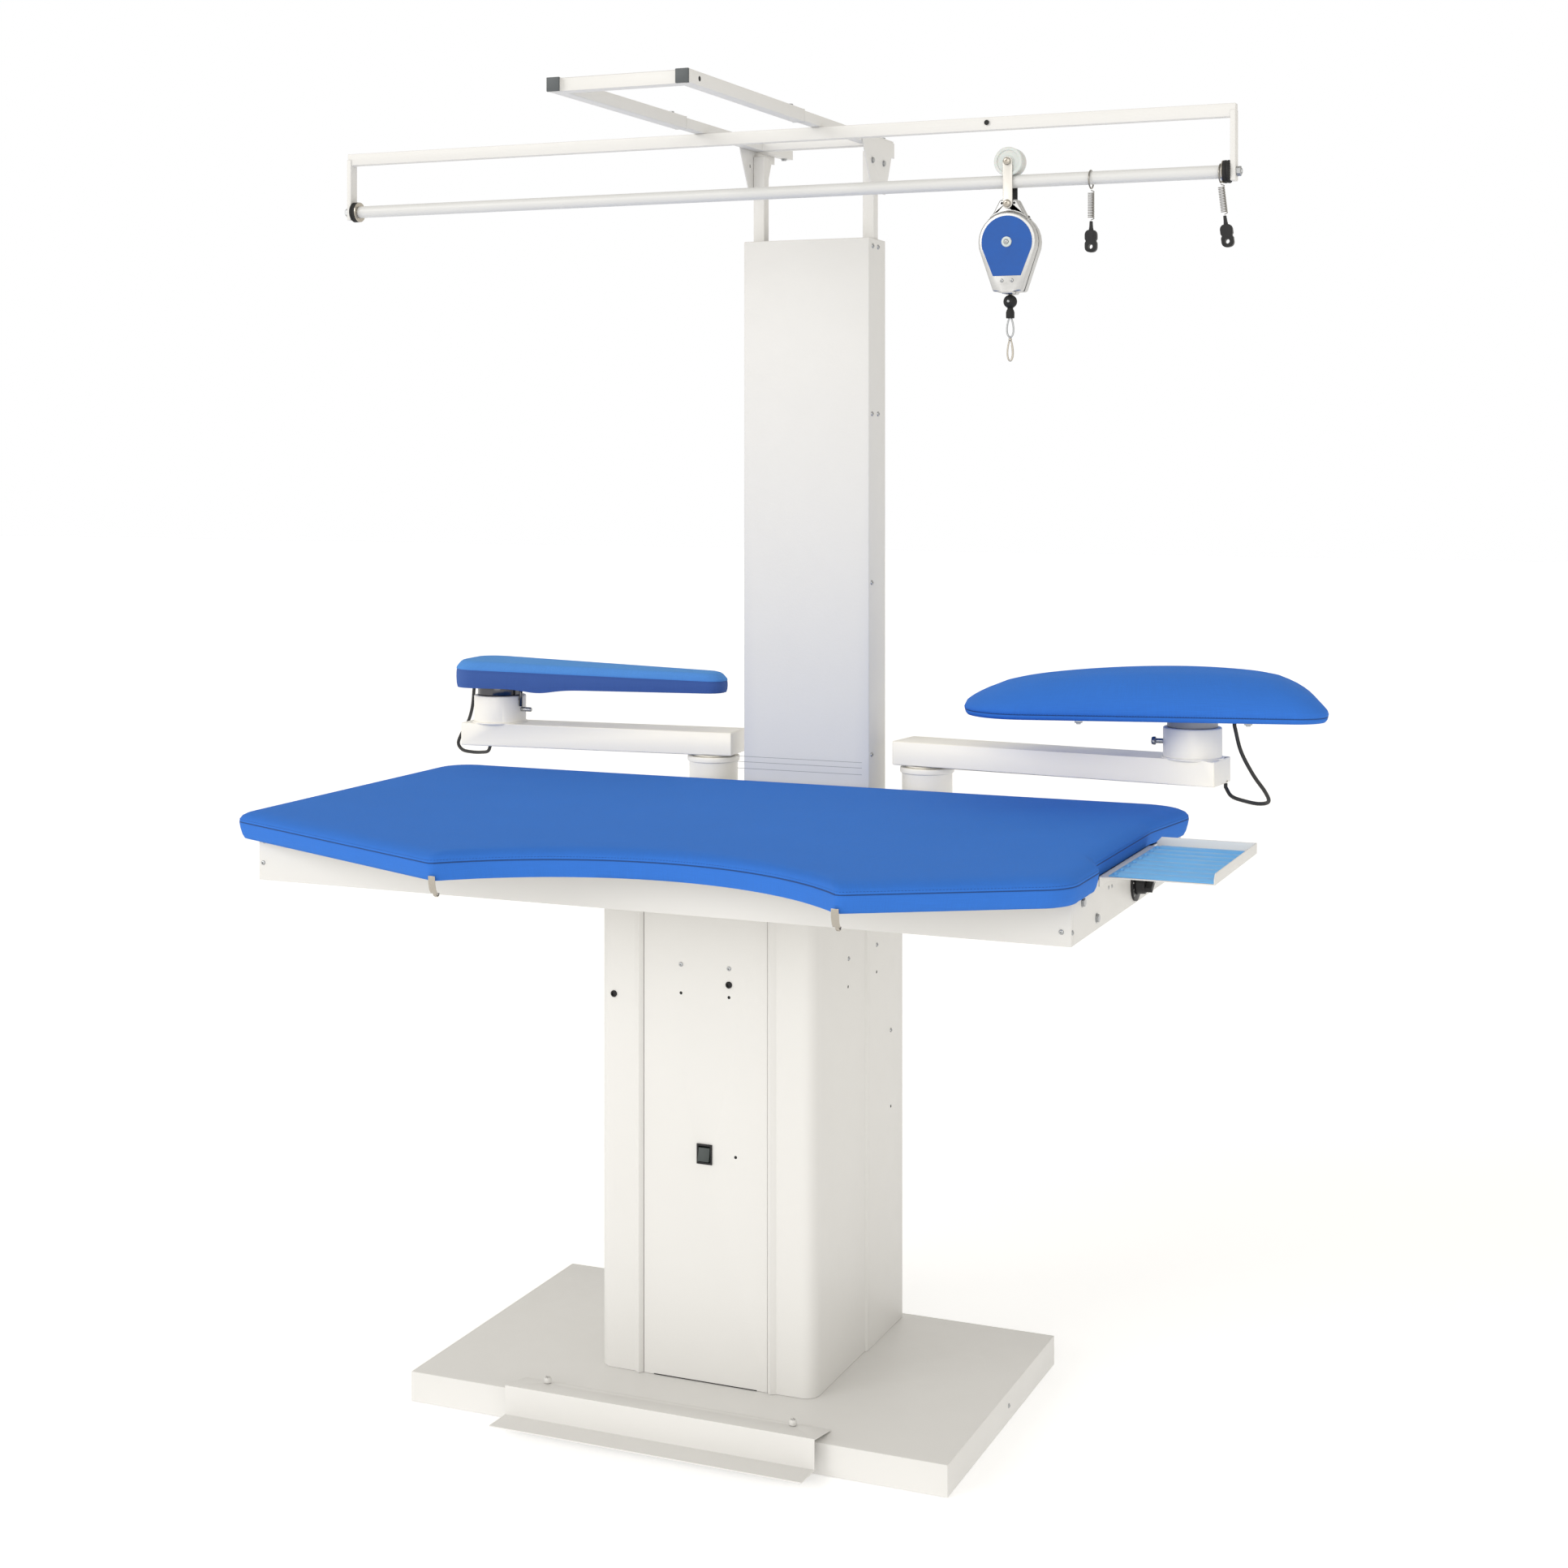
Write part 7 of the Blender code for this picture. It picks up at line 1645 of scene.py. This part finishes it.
class IRONING_OT_studio(bpy.types.Operator):
    """Set the camera, the pale floor and the soft lights"""
    bl_idname = "ironing.studio"
    bl_label = "Studio"

    def execute(self, context):
        scene = context.scene
        settings = scene.ironing_studio
        camera = bpy.data.cameras.new("camera")
        camera.lens = settings.lens
        camera.sensor_width = CAMERA_SENSOR
        camera.shift_y = CAMERA_SHIFT
        camera.clip_end = CAMERA_REACH
        view = placed("camera", camera)
        view.location = CAMERA_AT
        view.rotation_euler = (math.pi / 2, 0, CAMERA_TURN)
        scene.camera = view
        bm = bmesh.new()
        bmesh.ops.create_grid(bm, x_segments=1, y_segments=1, size=FLOOR_SIZE)
        floor = placed("floor", mesh_of("floor", bm))
        floor.location = (0, 0, FLOOR_Z)
        recipe = Recipe("studio_floor", settings.floor_colour[:], 0.85, Specular_IOR_Level=0.1,
                        Emission_Strength=settings.floor_glow)
        recipe.shader.inputs["Emission Color"].default_value = (1, 1, 1, 1)
        cloudy = recipe.tint(recipe.noise(2.0), recipe.shade(0.995), recipe.shade(1.005))
        floor.data.materials.append(recipe.use(cloudy))
        studio_sky(settings.light)
        soft_sun("key")
        soft_sun("fill")
        scene.view_settings.view_transform = "Standard"
        return {"FINISHED"}


class IRONING_OT_arm_light(bpy.types.Operator):
    """Lift the arms out of the pad's blue bounce with a warm light that only they receive"""
    bl_idname = "ironing.arm_light"
    bl_label = "Arm light"

    def execute(self, context):
        light = soft_sun("arm_light")
        light.data.color = ARM_LIGHT_COLOUR
        receivers = bpy.data.collections.new("arm_light_receivers")
        for name in ARM_LIGHT_PIECES:
            receivers.objects.link(bpy.data.objects[name])
        light.light_linking.receiver_collection = receivers
        return {"FINISHED"}


class IRONING_PT_panel(bpy.types.Panel):
    """Sizes and colours of the ironing table's dress"""
    bl_idname = "IRONING_PT_panel"
    bl_label = "Ironing Table"
    bl_space_type = "VIEW_3D"
    bl_region_type = "UI"
    bl_category = "Ironing Table"

    def draw(self, context):
        for group in SETTINGS:
            settings = getattr(context.scene, group)
            section = self.layout.box()
            section.label(text=group.removeprefix("ironing_").title())
            for name in settings.bl_rna.properties.keys():
                if name not in ("rna_type", "name"):
                    section.prop(settings, name)
        for operator in OPERATORS:
            self.layout.operator(operator.bl_idname)


SETTINGS = {"ironing_covers": CoverSettings, "ironing_finishes": FinishSettings,
            "ironing_cables": CableSettings, "ironing_studio": StudioSettings}
OPERATORS = (IRONING_OT_studio, IRONING_OT_cables, IRONING_OT_table_pad, IRONING_OT_buck,
             IRONING_OT_sleeve_board, IRONING_OT_sheet_metal, IRONING_OT_fasteners, IRONING_OT_tray_mat,
             IRONING_OT_thermostat, IRONING_OT_arm_fittings, IRONING_OT_rail_fittings, IRONING_OT_balancer,
             IRONING_OT_balancer_line, IRONING_OT_hose_hooks, IRONING_OT_cover_clips, IRONING_OT_arm_light)


def register():
    for item in (*SETTINGS.values(), *OPERATORS, IRONING_PT_panel):
        bpy.utils.register_class(item)
    for name, settings in SETTINGS.items():
        setattr(bpy.types.Scene, name, PointerProperty(type=settings))


def unregister():
    for name in SETTINGS:
        delattr(bpy.types.Scene, name)
    for item in (IRONING_PT_panel, *reversed(OPERATORS), *SETTINGS.values()):
        bpy.utils.unregister_class(item)


def main():
    register()
    for operator in OPERATORS:
        group, name = operator.bl_idname.split(".")
        getattr(getattr(bpy.ops, group), name)()


if __name__ == "__main__":
    main()
